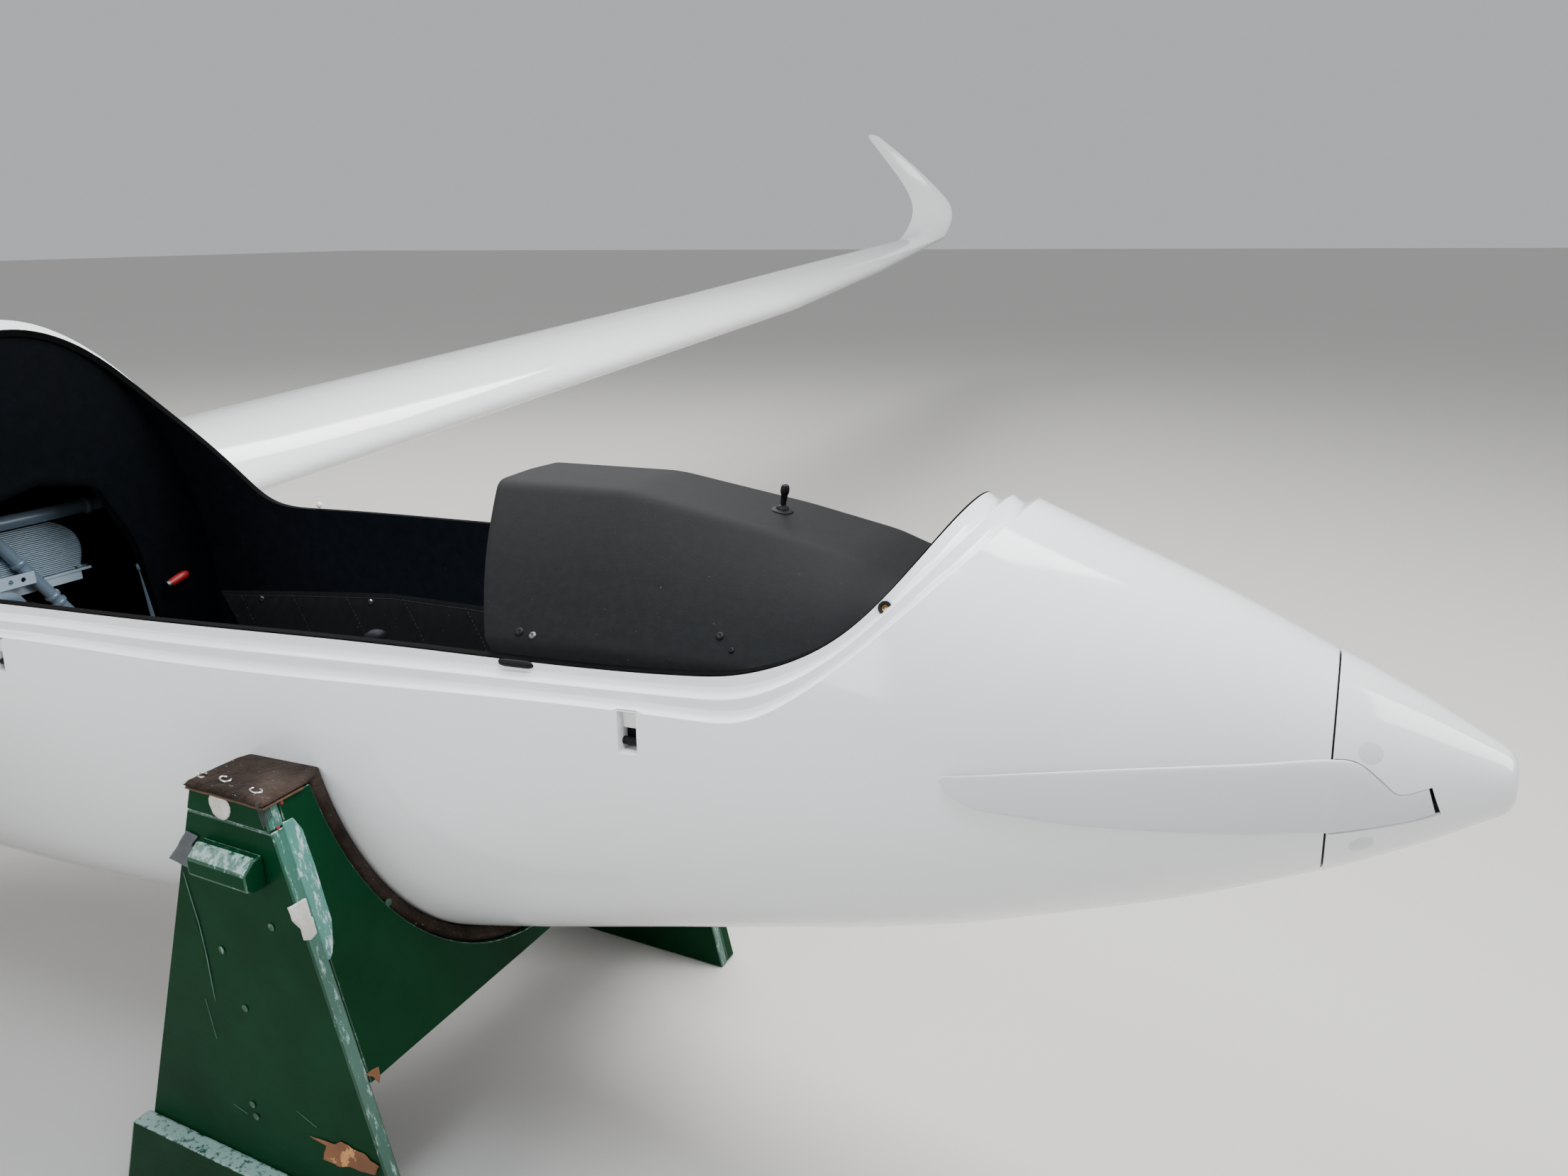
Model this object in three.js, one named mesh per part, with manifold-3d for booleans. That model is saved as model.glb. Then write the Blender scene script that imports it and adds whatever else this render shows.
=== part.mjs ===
// Single-seat sailplane with a folding nose propeller, held in its two wooden workshop cradles.
// Millimetres, +X towards the nose, +Y towards the port wing tip, +Z up, floor at z = 0.
import * as THREE from 'three';
import { mergeVertices } from 'three/addons/utils/BufferGeometryUtils.js';
import Module from 'manifold-3d';

const wasm = await Module();
wasm.setup();

// Stance: the nose stands this high over the floor and the fuselage is pitched nose up.
const PITCH = THREE.MathUtils.degToRad(2.4);
const NOSE_HEIGHT = 730;

// Gaps: between pieces that touch, between a hinged surface and what carries it, and at a pin.
const TOUCH = 0.3;
const RUNNING = 5;
const PIN_GAP = 0.4;

// Fuselage sections. Columns: station behind the spinner's front, half width, height of the widest
// line, height of the top, height of the bottom, squareness of the upper half and of the lower half.
const HULL = [
  [151, 105.5, 0, 105.5, -105.5, 2, 2],
  [250, 146, 0, 153, -146, 2, 2.02],
  [360, 181, 0, 199, -183, 2, 2.04],
  [460, 206, -2, 241, -215, 2, 2.07],
  [620, 230, -8, 303, -256, 2, 2.1],
  [800, 247, -14, 352, -297, 2, 2.11],
  [1150, 279, -28, 405, -374, 2, 2.13],
  [1500, 302, -38, 434, -418, 2, 2.12],
  [1850, 311, -40, 445, -444, 2, 2.12],
  [2150, 308, -30, 428, -451, 2, 2.17],
  [2450, 290, -10, 380, -440, 2, 2.22],
  [2800, 245, 14, 306, -398, 2, 2.16],
  [3200, 183, 32, 236, -300, 2, 2.1],
  [3600, 134, 42, 186, -190, 2, 2.05],
  [4100, 104, 50, 156, -90, 2, 2],
  [4700, 87, 54, 140, -38, 2, 2],
  [5500, 70, 58, 128, -8, 2, 2],
  [6400, 54, 62, 114, 12, 2, 2],
];
const AROUND = 36;
const NOSE_WALL = 10;
const COCKPIT_WALL = 28;
const SHELL_END = 2090;
const CENTRE_END = 3200;
const BOOM_END = 6398;

// Canopy seat, cut across the hull in side view. Columns: station and height of the seat's outer
// line, station and height of the opening's edge.
const SEAT_LINE = [
  [426, 232, 479, 242],
  [520, 144, 534, 163],
  [608, 75, 612, 108],
  [649, 56, 660, 94],
  [700, 53, 710, 89],
  [1060, 54, 1060, 92],
  [1410, 53, 1410, 92],
  [1760, 51, 1740, 90],
  [1880, 60, 1850, 100],
  [1950, 120, 1905, 145],
  [2010, 200, 1965, 215],
  [2055, 290, 2020, 290],
  [2074, 370, 2040, 360],
  [2078, 460, 2044, 460],
];
// The seat's three steps. Columns: how far in from the skin, share of the way to the opening's edge.
const SEAT_STEPS = [
  [0, 0],
  [7, 0.5],
  [14, 1],
];

// Propeller.
const SPINNER_LENGTH = 146;
const SPINNER_WALL = 4;
const SPINNER_HOLE = 17;
// Spinner outline. Columns: station, radius.
const SPINNER = [
  [0, 22],
  [1.5, 26],
  [6, 29.5],
  [45, 52],
  [95, 79],
  [146, 104.5],
];
// Slot for the starboard blade's root in side view. Columns: station, height.
const BLADE_SLOT = [
  [160, 50],
  [136, 46],
  [116, 33],
  [105, 19],
  [95, 11],
  [69, 12],
  [52, 4],
  [55, -19],
  [100, -24],
  [160, -30],
];
const BLADE_HINGE = { station: 82, offset: 45 };
const HUB_RADIUS = 24;
const BARREL_RADIUS = 12;
const PIN_RADIUS = 5;
const BLADE_CLEARANCE = 5;
// Starboard blade as it lies folded. Columns: station, upper edge, lower edge, thickness.
const BLADE = [
  [66, 7, -13, 8],
  [92, 6, -17, 11],
  [104, 14, -19, 11],
  [118, 29, -21, 11],
  [134, 41, -23, 11],
  [150, 44, -24, 11],
  [200, 44, -24, 10],
  [270, 40, -21, 9],
  [345, 33, -14, 8],
  [405, 27, -7, 6.5],
  [440, 23, -1, 5],
  [460, 20, 6, 3.5],
];
const MOTOR_RADIUS = 86;
const MOTOR_LENGTH = 95;

// Wing sections on one side. Columns: distance out, station and height of the leading edge, chord,
// lean of the section outwards in degrees, thickness share.
const WING = [
  [225, 1925, 117, 884, 3.4, 0.14],
  [3000, 2095, 282, 800, 3.4, 0.14],
  [4500, 2330, 371, 675, 3.4, 0.135],
  [6850, 2790, 511, 345, 3.4, 0.13],
];
const WING_TIP = [
  [6850, 2790, 511, 345, 3.4, 0.13],
  [7030, 2797, 606, 320, 42, 0.12],
  [7130, 2832, 728, 285, 62, 0.11],
  [7195, 2950, 850, 228, 72, 0.1],
  [7265, 3170, 1040, 165, 72, 0.1],
  [7335, 3470, 1270, 72, 72, 0.1],
];
const CAMBER = 0.025;
const CAMBER_PEAK = 0.4;
const INCIDENCE = THREE.MathUtils.degToRad(1.5);
const AILERON = { from: 4600, to: 6750, hinge: 0.78 };
const AIRBRAKE = { from: 2300, to: 3500, place: 0.52, slot: 34, depth: 74, blade: 5, cap: 22 };

// Tail. The hinge lines are straight, square to the fuselage axis.
const RUDDER_HINGE = 6450;
const ELEVATOR_HINGE = 6480;
const RUDDER_FROM = -20;
const RUDDER_TO = 1100;
const TAILPLANE_HEIGHT = 1165;
const TAIL_SPAN = 2500;
// Fin with rudder. Columns: height, station of the leading edge, station of the trailing edge.
const FIN = [
  [-20, 5690, 6792],
  [60, 5740, 6790],
  [1180, 6095, 6738],
];
const FIN_THICKNESS = 0.115;
// Tailplane with elevator. Columns: distance out, leading edge station, trailing edge station.
const TAILPLANE = [
  [0, 6110, 6595],
  [TAIL_SPAN / 2, 6255, 6545],
];
const TAIL_THICKNESS = 0.1;

// Undercarriage, with the main wheel drawn up into its bay behind closed doors.
const WHEEL = { station: 2315, height: -255, radius: 180, width: 125, rim: 88, bore: 13, axle: 12.6 };
const TAIL_WHEEL = { station: 6150, height: -42, radius: 95, width: 46, rim: 48, bore: 6.4, axle: 6 };
const BAY = { from: 2010, to: 2460, halfWidth: 92, roof: -270 };
const FORK_PIVOT = { station: 2090, height: -262 };

// Cradles. Columns: name, place behind the nose, height of the arms, half width over the side boards,
// stations of the hull between which the seat is cut, height of the foot of the fore and aft plate.
const CRADLES = [
  ['front', 1212, 620, 365, 900, 1600, 280, 200],
  ['rear', 5000, 550, 152, 4500, 5500, 364, 364],
];
const BOARD = 20;
const PLATE = 18;
const ARM_LENGTH = 115;
const FRONT_FLARE = 0.235;
const REAR_FLARE = 0.38;
const FELT = 22;
const FELT_CAP = 10;
const PLANK = { height: 108, thickness: 25 };
const GRIP = { length: 100, height: 42, out: 38, drop: 82 };

// Materials.
const paint = (color, roughness, metalness = 0) =>
  new THREE.MeshStandardMaterial({ color, roughness, metalness });
const GELCOAT = paint(0xf2f3f2, 0.15);
const BLADE_WHITE = paint(0xe4e6ea, 0.45);
const BLACK_TRIM = paint(0x15171a, 0.8);
const CHARCOAL = paint(0x2a2c30, 0.75);
const BLUE_STEEL = paint(0x8fa3b5, 0.4, 0.3);
const BARE_ALUMINIUM = paint(0xb4bbc2, 0.4, 1);
const DARK_STEEL = paint(0x3c3f43, 0.4, 1);
const TYRE_BLACK = paint(0x1a1a1b, 0.9);
const GREEN_WOOD = paint(0x0e4a24, 0.5);
const DARK_FELT = paint(0x332b2a, 1);

// Solids: closed shapes that can be joined and cut.
function solidOf(geometry, matrix) {
  const plain = geometry.clone();
  if (matrix) plain.applyMatrix4(matrix);
  plain.deleteAttribute('normal');
  plain.deleteAttribute('uv');
  const merged = mergeVertices(plain, 1e-4);
  return new wasm.Manifold(new wasm.Mesh({
    numProp: 3,
    vertProperties: new Float32Array(merged.attributes.position.array),
    triVerts: new Uint32Array(merged.index.array),
  }));
}

function meshOf(name, solid, material) {
  const made = solid.getMesh();
  const geometry = new THREE.BufferGeometry();
  geometry.setAttribute('position', new THREE.BufferAttribute(made.vertProperties, 3));
  geometry.setIndex(new THREE.BufferAttribute(made.triVerts, 1));
  geometry.computeVertexNormals();
  const mesh = new THREE.Mesh(geometry, material);
  mesh.name = name;
  return mesh;
}

const joined = (solids) => solids.reduce((whole, piece) => whole.add(piece));

// A loft through rings of points, closed by a fan at each end and turned to face outwards.
function loft(rings) {
  const around = rings[0].length;
  const points = rings.flat();
  const index = [];
  for (let ring = 0; ring < rings.length - 1; ring++) {
    for (let i = 0; i < around; i++) {
      const a = ring * around + i;
      const b = ring * around + ((i + 1) % around);
      index.push(a, b, a + around, b, b + around, a + around);
    }
  }
  for (const [ring, flip] of [[0, false], [rings.length - 1, true]]) {
    const centre = rings[ring].reduce((sum, p) => sum.add(p), new THREE.Vector3());
    points.push(centre.divideScalar(around));
    for (let i = 0; i < around; i++) {
      const a = ring * around + i;
      const b = ring * around + ((i + 1) % around);
      index.push(points.length - 1, ...(flip ? [a, b] : [b, a]));
    }
  }
  let volume = 0;
  for (let i = 0; i < index.length; i += 3) {
    const [a, b, c] = index.slice(i, i + 3).map((k) => points[k]);
    volume += a.dot(new THREE.Vector3().crossVectors(b, c));
  }
  if (volume < 0) index.reverse();
  const geometry = new THREE.BufferGeometry().setFromPoints(points);
  geometry.setIndex(index);
  return solidOf(geometry);
}

// Simple shapes in the fuselage frame: x is minus the station.
const at = (station, y, z) => new THREE.Vector3(-station, y, z);

function block(from, to, y, z) {
  const geometry = new THREE.BoxGeometry(to - from, y[1] - y[0], z[1] - z[0]);
  geometry.translate(-(from + to) / 2, (y[0] + y[1]) / 2, (z[0] + z[1]) / 2);
  return solidOf(geometry);
}

function tube(start, end, radius, halfSides = 6) {
  const path = new THREE.LineCurve3(start, end);
  const round = new THREE.Shape().absarc(0, 0, radius, 0, 2 * Math.PI);
  const settings = { steps: 1, bevelEnabled: false, extrudePath: path, curveSegments: halfSides };
  return solidOf(new THREE.ExtrudeGeometry(round, settings));
}

// A turned piece about the fuselage axis. Profile columns: station, radius.
function turned(profile, segments = 48) {
  const points = profile.map(([station, radius]) => new THREE.Vector2(radius, -station)).reverse();
  const geometry = new THREE.LatheGeometry(points, segments);
  geometry.rotateZ(-Math.PI / 2);
  return solidOf(geometry);
}

// A prism across the fuselage from its outline in side view. Columns: station, height.
function sidePrism(outline, y) {
  const shape = new THREE.Shape(outline.map(([station, z]) => new THREE.Vector2(-station, z)));
  const geometry = new THREE.ExtrudeGeometry(shape, { depth: y[1] - y[0], bevelEnabled: false });
  geometry.rotateX(Math.PI / 2);
  geometry.translate(0, y[1], 0);
  return solidOf(geometry);
}

// A prism upright through its outline in plan. Points are [station, y].
function planPrism(outline, z) {
  const shape = new THREE.Shape(outline.map(([station, y]) => new THREE.Vector2(-station, y)));
  const geometry = new THREE.ExtrudeGeometry(shape, { depth: z[1] - z[0], bevelEnabled: false });
  geometry.translate(0, 0, z[0]);
  return solidOf(geometry);
}

// The hull's section values at a station, by a cubic through the table's rows.
function sectionAt(station) {
  const last = HULL.length - 1;
  const i = Math.min(Math.max(HULL.findIndex((row) => row[0] > station) - 1, 0), last - 1);
  const k = HULL[last][0] <= station ? last - 1 : i;
  const rows = [HULL[Math.max(k - 1, 0)], HULL[k], HULL[k + 1], HULL[Math.min(k + 2, last)]];
  const span = rows[2][0] - rows[1][0];
  const t = (station - rows[1][0]) / span;
  const slope = (a, b, c) => (b[0] > a[0] ? (b[c] - a[c]) / (b[0] - a[0]) : 0);
  return rows[1].map((value, c) => {
    const before = (slope(rows[0], rows[1], c) + slope(rows[1], rows[2], c)) / (k > 0 ? 2 : 1);
    const after = (slope(rows[1], rows[2], c) + slope(rows[2], rows[3], c)) / (k < last - 1 ? 2 : 1);
    const t2 = t * t;
    const t3 = t2 * t;
    return (2 * t3 - 3 * t2 + 1) * value + (t3 - 2 * t2 + t) * span * before
      + (3 * t2 - 2 * t3) * rows[2][c] + (t3 - t2) * span * after;
  });
}

function hullRing(station, grow) {
  const [, width, middle, top, bottom, upper, lower] = sectionAt(station);
  return Array.from({ length: AROUND }, (_, i) => {
    const turn = (2 * Math.PI * i) / AROUND;
    const [c, s] = [Math.cos(turn), Math.sin(turn)];
    const power = 2 / (s > 0 ? upper : lower);
    const height = (s > 0 ? top - middle : middle - bottom) + grow;
    return at(
      station,
      (width + grow) * Math.sign(c) * Math.abs(c) ** power,
      middle + height * Math.sign(s) * Math.abs(s) ** power,
    );
  });
}

// Stations of every loft of the hull, so that lofts of different growth stay a constant gap apart.
const STATIONS = HULL.flatMap(([station], i) => (i ? [(station + HULL[i - 1][0]) / 2, station] : [station]));

// The hull between two stations, grown or shrunk by a distance that may depend on the station.
function hull(from, to, grow = 0) {
  const by = typeof grow === 'function' ? grow : () => grow;
  const first = STATIONS.findLastIndex((station) => station <= from);
  const last = STATIONS.findIndex((station) => station >= to);
  const used = STATIONS.slice(Math.max(first, 0), last < 0 ? undefined : last + 1);
  return loft(used.map((station) => hullRing(station, by(station))))
    .intersect(block(from, to, [-900, 900], [-900, 900]));
}

// Inset of the cavity's wall: thin round the motor, full beside the cockpit.
function wallAt(station) {
  const share = THREE.MathUtils.clamp((station - 270) / 180, 0, 1);
  return THREE.MathUtils.lerp(NOSE_WALL, COCKPIT_WALL, share);
}

const cavity = (from, to, extra = 0) => hull(from, to, (station) => -wallAt(station) - extra);
const CAVITY_FROM = 161.5;

function seatCut(share) {
  const line = SEAT_LINE.map(([s0, z0, s1, z1]) => [
    THREE.MathUtils.lerp(s0, s1, share),
    THREE.MathUtils.lerp(z0, z1, share),
  ]);
  const above = 700;
  return sidePrism([...line, [line.at(-1)[0], above], [line[0][0], above]], [-500, 500]);
}

const wheelBay = () =>
  block(BAY.from, BAY.to, [-BAY.halfWidth, BAY.halfWidth], [-600, BAY.roof]);

function cockpitShell() {
  const steps = SEAT_STEPS.map(([inset, share]) => hull(151, SHELL_END, -inset).subtract(seatCut(share)));
  const shaftHole = tube(at(140, 0, 0), at(180, 0, 0), HUB_RADIUS + RUNNING, 12);
  return joined(steps)
    .subtract(cavity(CAVITY_FROM, SHELL_END + 20))
    .subtract(shaftHole)
    .subtract(wheelBay());
}

function centreSection() {
  return hull(SHELL_END + TOUCH, CENTRE_END)
    .subtract(cavity(SHELL_END - 10, 2900))
    .subtract(wheelBay());
}

// Interior pieces fit the cavity's wall.
const lining = (from, to, thickness) =>
  cavity(from, to, 0.5).subtract(cavity(from - 20, to + 20, 0.5 + thickness));

function upholstery(side) {
  const band = block(780, 1990, side > 0 ? [60, 400] : [-400, -60], [-150, 62]);
  return lining(770, 2000, 8).intersect(band);
}

function seatPan() {
  return lining(1040, 1960, 12).intersect(block(1050, 1950, [-400, 400], [-600, -152]));
}

function rearBulkhead() {
  const plate = cavity(2048, 2060, 0.5);
  const corner = 60;
  const [halfWidth, low, high] = [150, -290, 212];
  const opening = new THREE.Shape()
    .moveTo(-halfWidth + corner, low)
    .lineTo(halfWidth - corner, low)
    .absarc(halfWidth - corner, low + corner, corner, -Math.PI / 2, 0)
    .absarc(halfWidth - corner, high - corner, corner, 0, Math.PI / 2)
    .absarc(-halfWidth + corner, high - corner, corner, Math.PI / 2, Math.PI)
    .absarc(-halfWidth + corner, low + corner, corner, Math.PI, 1.5 * Math.PI);
  const geometry = new THREE.ExtrudeGeometry(opening, { depth: 60, bevelEnabled: false, curveSegments: 6 });
  geometry.rotateX(Math.PI / 2).rotateZ(Math.PI / 2).translate(-2080, 0, 0);
  const wheelNotch = block(2040, 2070, [-BAY.halfWidth, BAY.halfWidth], [-600, low + 10]);
  return plate.subtract(solidOf(geometry)).subtract(wheelNotch);
}

// Instrument hood. Columns: station, half width of the top, height of the top, half width and height
// of the lower edge.
const HOOD = [
  [530, 48, 158, 120, 128],
  [592, 66, 177, 176, 96],
  [700, 62, 203, 215, 74],
  [868, 58, 235, 235, 74],
  [1046, 60, 238, 250, 74],
];
const HOOD_WALL = 6;

function hoodSolid(inset, from, to) {
  const rows = HOOD.map(([station, top, height, low, foot], i) => {
    const place = i === 0 ? station + from : i === HOOD.length - 1 ? station + to : station;
    return [
      at(place, -low + inset, foot - inset),
      at(place, -top + inset * 0.4, height - inset),
      at(place, top - inset * 0.4, height - inset),
      at(place, low - inset, foot - inset),
    ];
  });
  return loft(rows);
}

function instrumentHood() {
  return hoodSolid(0, 0, 0).subtract(hoodSolid(HOOD_WALL, HOOD_WALL, 20)).intersect(cavity(500, 1100, 0.5));
}

function instrumentPanel() {
  const plate = hoodSolid(HOOD_WALL + 1, HOOD_WALL, 20).intersect(block(1000, 1008, [-300, 300], [0, 300]));
  const lower = block(1000, 1008, [-95, 95], [-150, 90]);
  return plate.add(lower).intersect(cavity(900, 1100, 9));
}

function hoodToggle() {
  const [foot, collar, tip] = [0.4, 4, 27].map((h) => at(707 - 0.19 * h, 0, 204.3 + h));
  return tube(foot, collar, 11).add(tube(foot, tip, 4));
}

function controlStick() {
  const foot = at(1330, 0, -430);
  const neck = at(1345, 0, -120);
  const top = at(1352, 0, 0);
  return tube(foot, neck, 11).add(tube(neck, top, 17)).intersect(cavity(1200, 1500, 13));
}

// Welded frame behind the cockpit. Columns: start and end as station, y, height; radius.
const FRAME_TUBES = [
  [2170, -300, 104, 2170, 300, 104, 12.5],
  [2172, -14, 100, 2172, 178, -235, 11],
  [2172, 14, 100, 2172, -178, -235, 11],
  [2172, -300, -238, 2172, -112, -238, 12.5],
  [2172, 112, -238, 2172, 300, -238, 12.5],
  [2172, -130, -238, 2090, -130, -262, 11],
  [2172, 130, -238, 2090, 130, -262, 11],
];

function tubeFrame() {
  const tubes = FRAME_TUBES.map(([s0, y0, z0, s1, y1, z1, radius]) =>
    tube(at(s0, y0, z0), at(s1, y1, z1), radius));
  const pivot = tube(at(FORK_PIVOT.station, -300, FORK_PIVOT.height),
    at(FORK_PIVOT.station, 300, FORK_PIVOT.height), 14);
  return joined([...tubes, pivot]).intersect(cavity(1990, 2300, 0.5));
}

function motorController() {
  const fins = Array.from({ length: 9 }, (_, i) => {
    const y = -68 + i * 16;
    return block(2183, 2310, [y, y + 5], [-20, 62]);
  });
  return joined([block(2183, 2310, [-70, 67], [-42, -18]), ...fins]);
}

// Propeller.
const spinnerRadius = (station) => {
  const i = Math.max(1, SPINNER.findIndex((row) => row[0] >= station));
  const [[s0, r0], [s1, r1]] = [SPINNER[i - 1], SPINNER[i]];
  return r0 + ((station - s0) * (r1 - r0)) / (s1 - s0);
};

const bladeSlot = () => sidePrism(BLADE_SLOT, [-200, -20]);
const halfTurn = new THREE.Matrix4().makeRotationX(Math.PI);

function spinner() {
  const inside = SPINNER.slice(2).map(([station, radius]) => [station, radius - SPINNER_WALL]).reverse();
  inside[0][0] = SPINNER_LENGTH;
  const profile = [...SPINNER, ...inside, [6, SPINNER_HOLE], [0, SPINNER_HOLE + 1], SPINNER[0]];
  const shape = new THREE.Shape(BLADE_SLOT.map(([station, z]) => new THREE.Vector2(-station, -z)));
  const portGeometry = new THREE.ExtrudeGeometry(shape, { depth: 180, bevelEnabled: false });
  portGeometry.rotateX(Math.PI / 2).translate(0, 200, 0);
  return turned(profile).subtract(bladeSlot()).subtract(solidOf(portGeometry));
}

function propellerHub() {
  const { station, offset } = BLADE_HINGE;
  const disc = turned([[134, 0], [134, 92], [140, 97], [142, 97], [142, 0]]);
  const shaft = turned([[60, 0], [60, HUB_RADIUS - 4], [64, HUB_RADIUS], [CAVITY_FROM + 0.2, HUB_RADIUS],
    [CAVITY_FROM + 0.2, 0]], 24);
  const slots = [1, -1].map((side) => block(120, 150, side > 0 ? [26, 120] : [-120, -26],
    side > 0 ? [-54, 34] : [-34, 54]));
  const plates = [[16, 21], [-27, -22]].flatMap((z) => [1, -1].map((side) =>
    block(station - 14, station + 20, side > 0 ? [10, offset + 6] : [-offset - 6, -10],
      side > 0 ? [-z[1], -z[0]] : z)));
  const pins = [1, -1].map((side) =>
    tube(at(station, side * offset, side > 0 ? -20 : -26), at(station, side * offset, side > 0 ? 26 : 20),
      PIN_RADIUS, 8));
  const web = block(100, 136, [-20, 20], [-30, 30]);
  return joined([disc.subtract(joined(slots)), shaft, web, ...plates, ...pins]);
}

// Outer side of the folded blade at a station: flush with the spinner, then just clear of the hull.
function bladeOffset(station, thickness) {
  if (station < 150) return spinnerRadius(Math.min(station, 146)) + 2 - thickness / 2 + (station - 66) * 0.05;
  return sectionAt(station)[1] + BLADE_CLEARANCE + thickness / 2;
}

function blade() {
  const rings = BLADE.map(([station, high, low, thickness]) => {
    const y = -bladeOffset(station, thickness);
    const [middle, half] = [(high + low) / 2, (high - low) / 2];
    return Array.from({ length: 16 }, (_, i) => {
      const turn = (2 * Math.PI * i) / 16;
      const z = half * Math.cos(turn);
      return at(station, y + (thickness / 2) * Math.sin(turn), middle + z);
    });
  });
  const { station, offset } = BLADE_HINGE;
  const barrel = tube(at(station, -offset, -19), at(station, -offset, 13), BARREL_RADIUS, 8);
  const lug = block(68, 98, [-68, -offset + 2], [-14, 5]);
  const bore = tube(at(station, -offset, -40), at(station, -offset, 40), PIN_RADIUS + PIN_GAP, 8);
  return loft(rings).add(barrel).add(lug).subtract(bore);
}

function motor() {
  return turned([[CAVITY_FROM + 0.6, 0], [CAVITY_FROM + 0.6, MOTOR_RADIUS],
    [CAVITY_FROM + MOTOR_LENGTH, MOTOR_RADIUS], [CAVITY_FROM + MOTOR_LENGTH, 0]], 32);
}

// Aerofoils.
const halfThickness = (x, thickness) => 5 * thickness * (0.2969 * Math.sqrt(x) - 0.126 * x
  - 0.3516 * x ** 2 + 0.2843 * x ** 3 - 0.1036 * x ** 4);
const camberAt = (x) => (x < CAMBER_PEAK
  ? (CAMBER / CAMBER_PEAK ** 2) * (2 * CAMBER_PEAK * x - x * x)
  : (CAMBER / (1 - CAMBER_PEAK) ** 2) * (1 - 2 * CAMBER_PEAK + 2 * CAMBER_PEAK * x - x * x));
const CHORD_POINTS = [0, 0.012, 0.05, 0.12, 0.22, 0.35, 0.5, 0.65, 0.78, 0.9, 1];

// A wing section's own directions and its point at a share of the chord and a height over it.
function wingFrame([out, station, height, chord, lean], side) {
  const tilt = THREE.MathUtils.degToRad(lean);
  const aft = new THREE.Vector3(-Math.cos(INCIDENCE), 0, -Math.sin(INCIDENCE));
  const up = new THREE.Vector3(0, -side * Math.sin(tilt), Math.cos(tilt));
  const nose = at(station, side * out, height);
  return (x, over) => nose.clone().addScaledVector(aft, x * chord).addScaledVector(up, over * chord);
}

function wingRing(row, side) {
  const place = wingFrame(row, side);
  const thickness = row[5];
  const upper = CHORD_POINTS.map((x) => place(x, camberAt(x) + halfThickness(x, thickness)));
  const lower = CHORD_POINTS.slice(1, -1).map((x) => place(x, camberAt(x) - halfThickness(x, thickness)));
  const blunt = place(1, camberAt(1) - halfThickness(1, thickness) - 0.004);
  return [...upper, blunt, ...lower.reverse()];
}

function wingRowAt(table, out) {
  const i = Math.max(1, table.findIndex((row) => row[0] >= out));
  const t = (out - table[i - 1][0]) / (table[i][0] - table[i - 1][0]);
  return table[i].map((value, c) => THREE.MathUtils.lerp(table[i - 1][c], value, t));
}

// Aileron hinge at a distance out: its point and the radius of the nose round it.
function aileronHinge(out, side) {
  const row = wingRowAt(WING, out);
  const radius = halfThickness(AILERON.hinge, row[5]) * row[3];
  const place = wingFrame(row, side);
  return { point: place(AILERON.hinge, camberAt(AILERON.hinge)), radius, place, row };
}

function aileron(side) {
  const rings = [AILERON.from, AILERON.to].map((out) => {
    const { point, radius, place, row } = aileronHinge(out, side);
    const aft = place(1, 0).sub(place(0, 0)).normalize();
    const up = place(0, 1).sub(place(0, 0)).normalize();
    const nose = Array.from({ length: 9 }, (_, i) => {
      const turn = Math.PI / 2 + (Math.PI * i) / 8;
      return point.clone().addScaledVector(aft, radius * Math.cos(turn)).addScaledVector(up, radius * Math.sin(turn));
    });
    const tail = halfThickness(1, row[5]) + 0.002;
    return [place(1, camberAt(1) + tail), ...nose, place(1, camberAt(1) - tail)];
  });
  return loft(rings);
}

function aileronBay(side) {
  const ends = [AILERON.from - RUNNING, AILERON.to + RUNNING].map((out) => {
    const { point, radius } = aileronHinge(out, side);
    return [-point.x - radius - RUNNING, side * out];
  });
  const far = 3500;
  return planPrism([ends[0], ends[1], [far, ends[1][1]], [far, ends[0][1]]], [-200, 900]);
}

// Small hinge brackets that carry a control surface at its round nose.
const bracket = (front, nose, y, z) => block(front - 4, nose - 0.5, y, z);

function aileronBrackets(side) {
  return joined([4850, 5700, 6500].map((out) => {
    const { point, radius } = aileronHinge(out, side);
    const y = [side * out - 5, side * out + 5];
    const lowest = aileronHinge(out - 5, side).radius;
    return bracket(-point.x - radius - RUNNING, -point.x - lowest, y, [point.z - 4, point.z + 4]);
  }));
}

// A box laid along the wing at the airbrake, from depths under the upper surface.
function airbrakeBox(side, lengthwise, halfWidth, deep, high, shift = 0) {
  const { from, to, place } = AIRBRAKE;
  const over = (row) => camberAt(place) + halfThickness(place, row[5]);
  const rows = [from, to].map((out) => wingRowAt(WING, out));
  const [a, b] = rows.map((row) => wingFrame(row, side)(place, over(row)));
  const along = b.clone().sub(a).normalize();
  const up = wingFrame(rows[0], side)(0, 1).sub(wingFrame(rows[0], side)(0, 0)).normalize();
  const across = new THREE.Vector3().crossVectors(up, along).normalize();
  const lift = new THREE.Vector3().crossVectors(along, across).normalize();
  if (lift.z < 0) lift.negate();
  const middle = a.clone().add(b).multiplyScalar(0.5).addScaledVector(across, shift)
    .addScaledVector(lift, (high - deep) / 2);
  const length = a.distanceTo(b) + 2 * lengthwise;
  const geometry = new THREE.BoxGeometry(length, 2 * halfWidth, high + deep);
  const basis = new THREE.Matrix4().makeBasis(along, across, new THREE.Vector3().crossVectors(along, across));
  return solidOf(geometry, basis.setPosition(middle));
}

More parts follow.
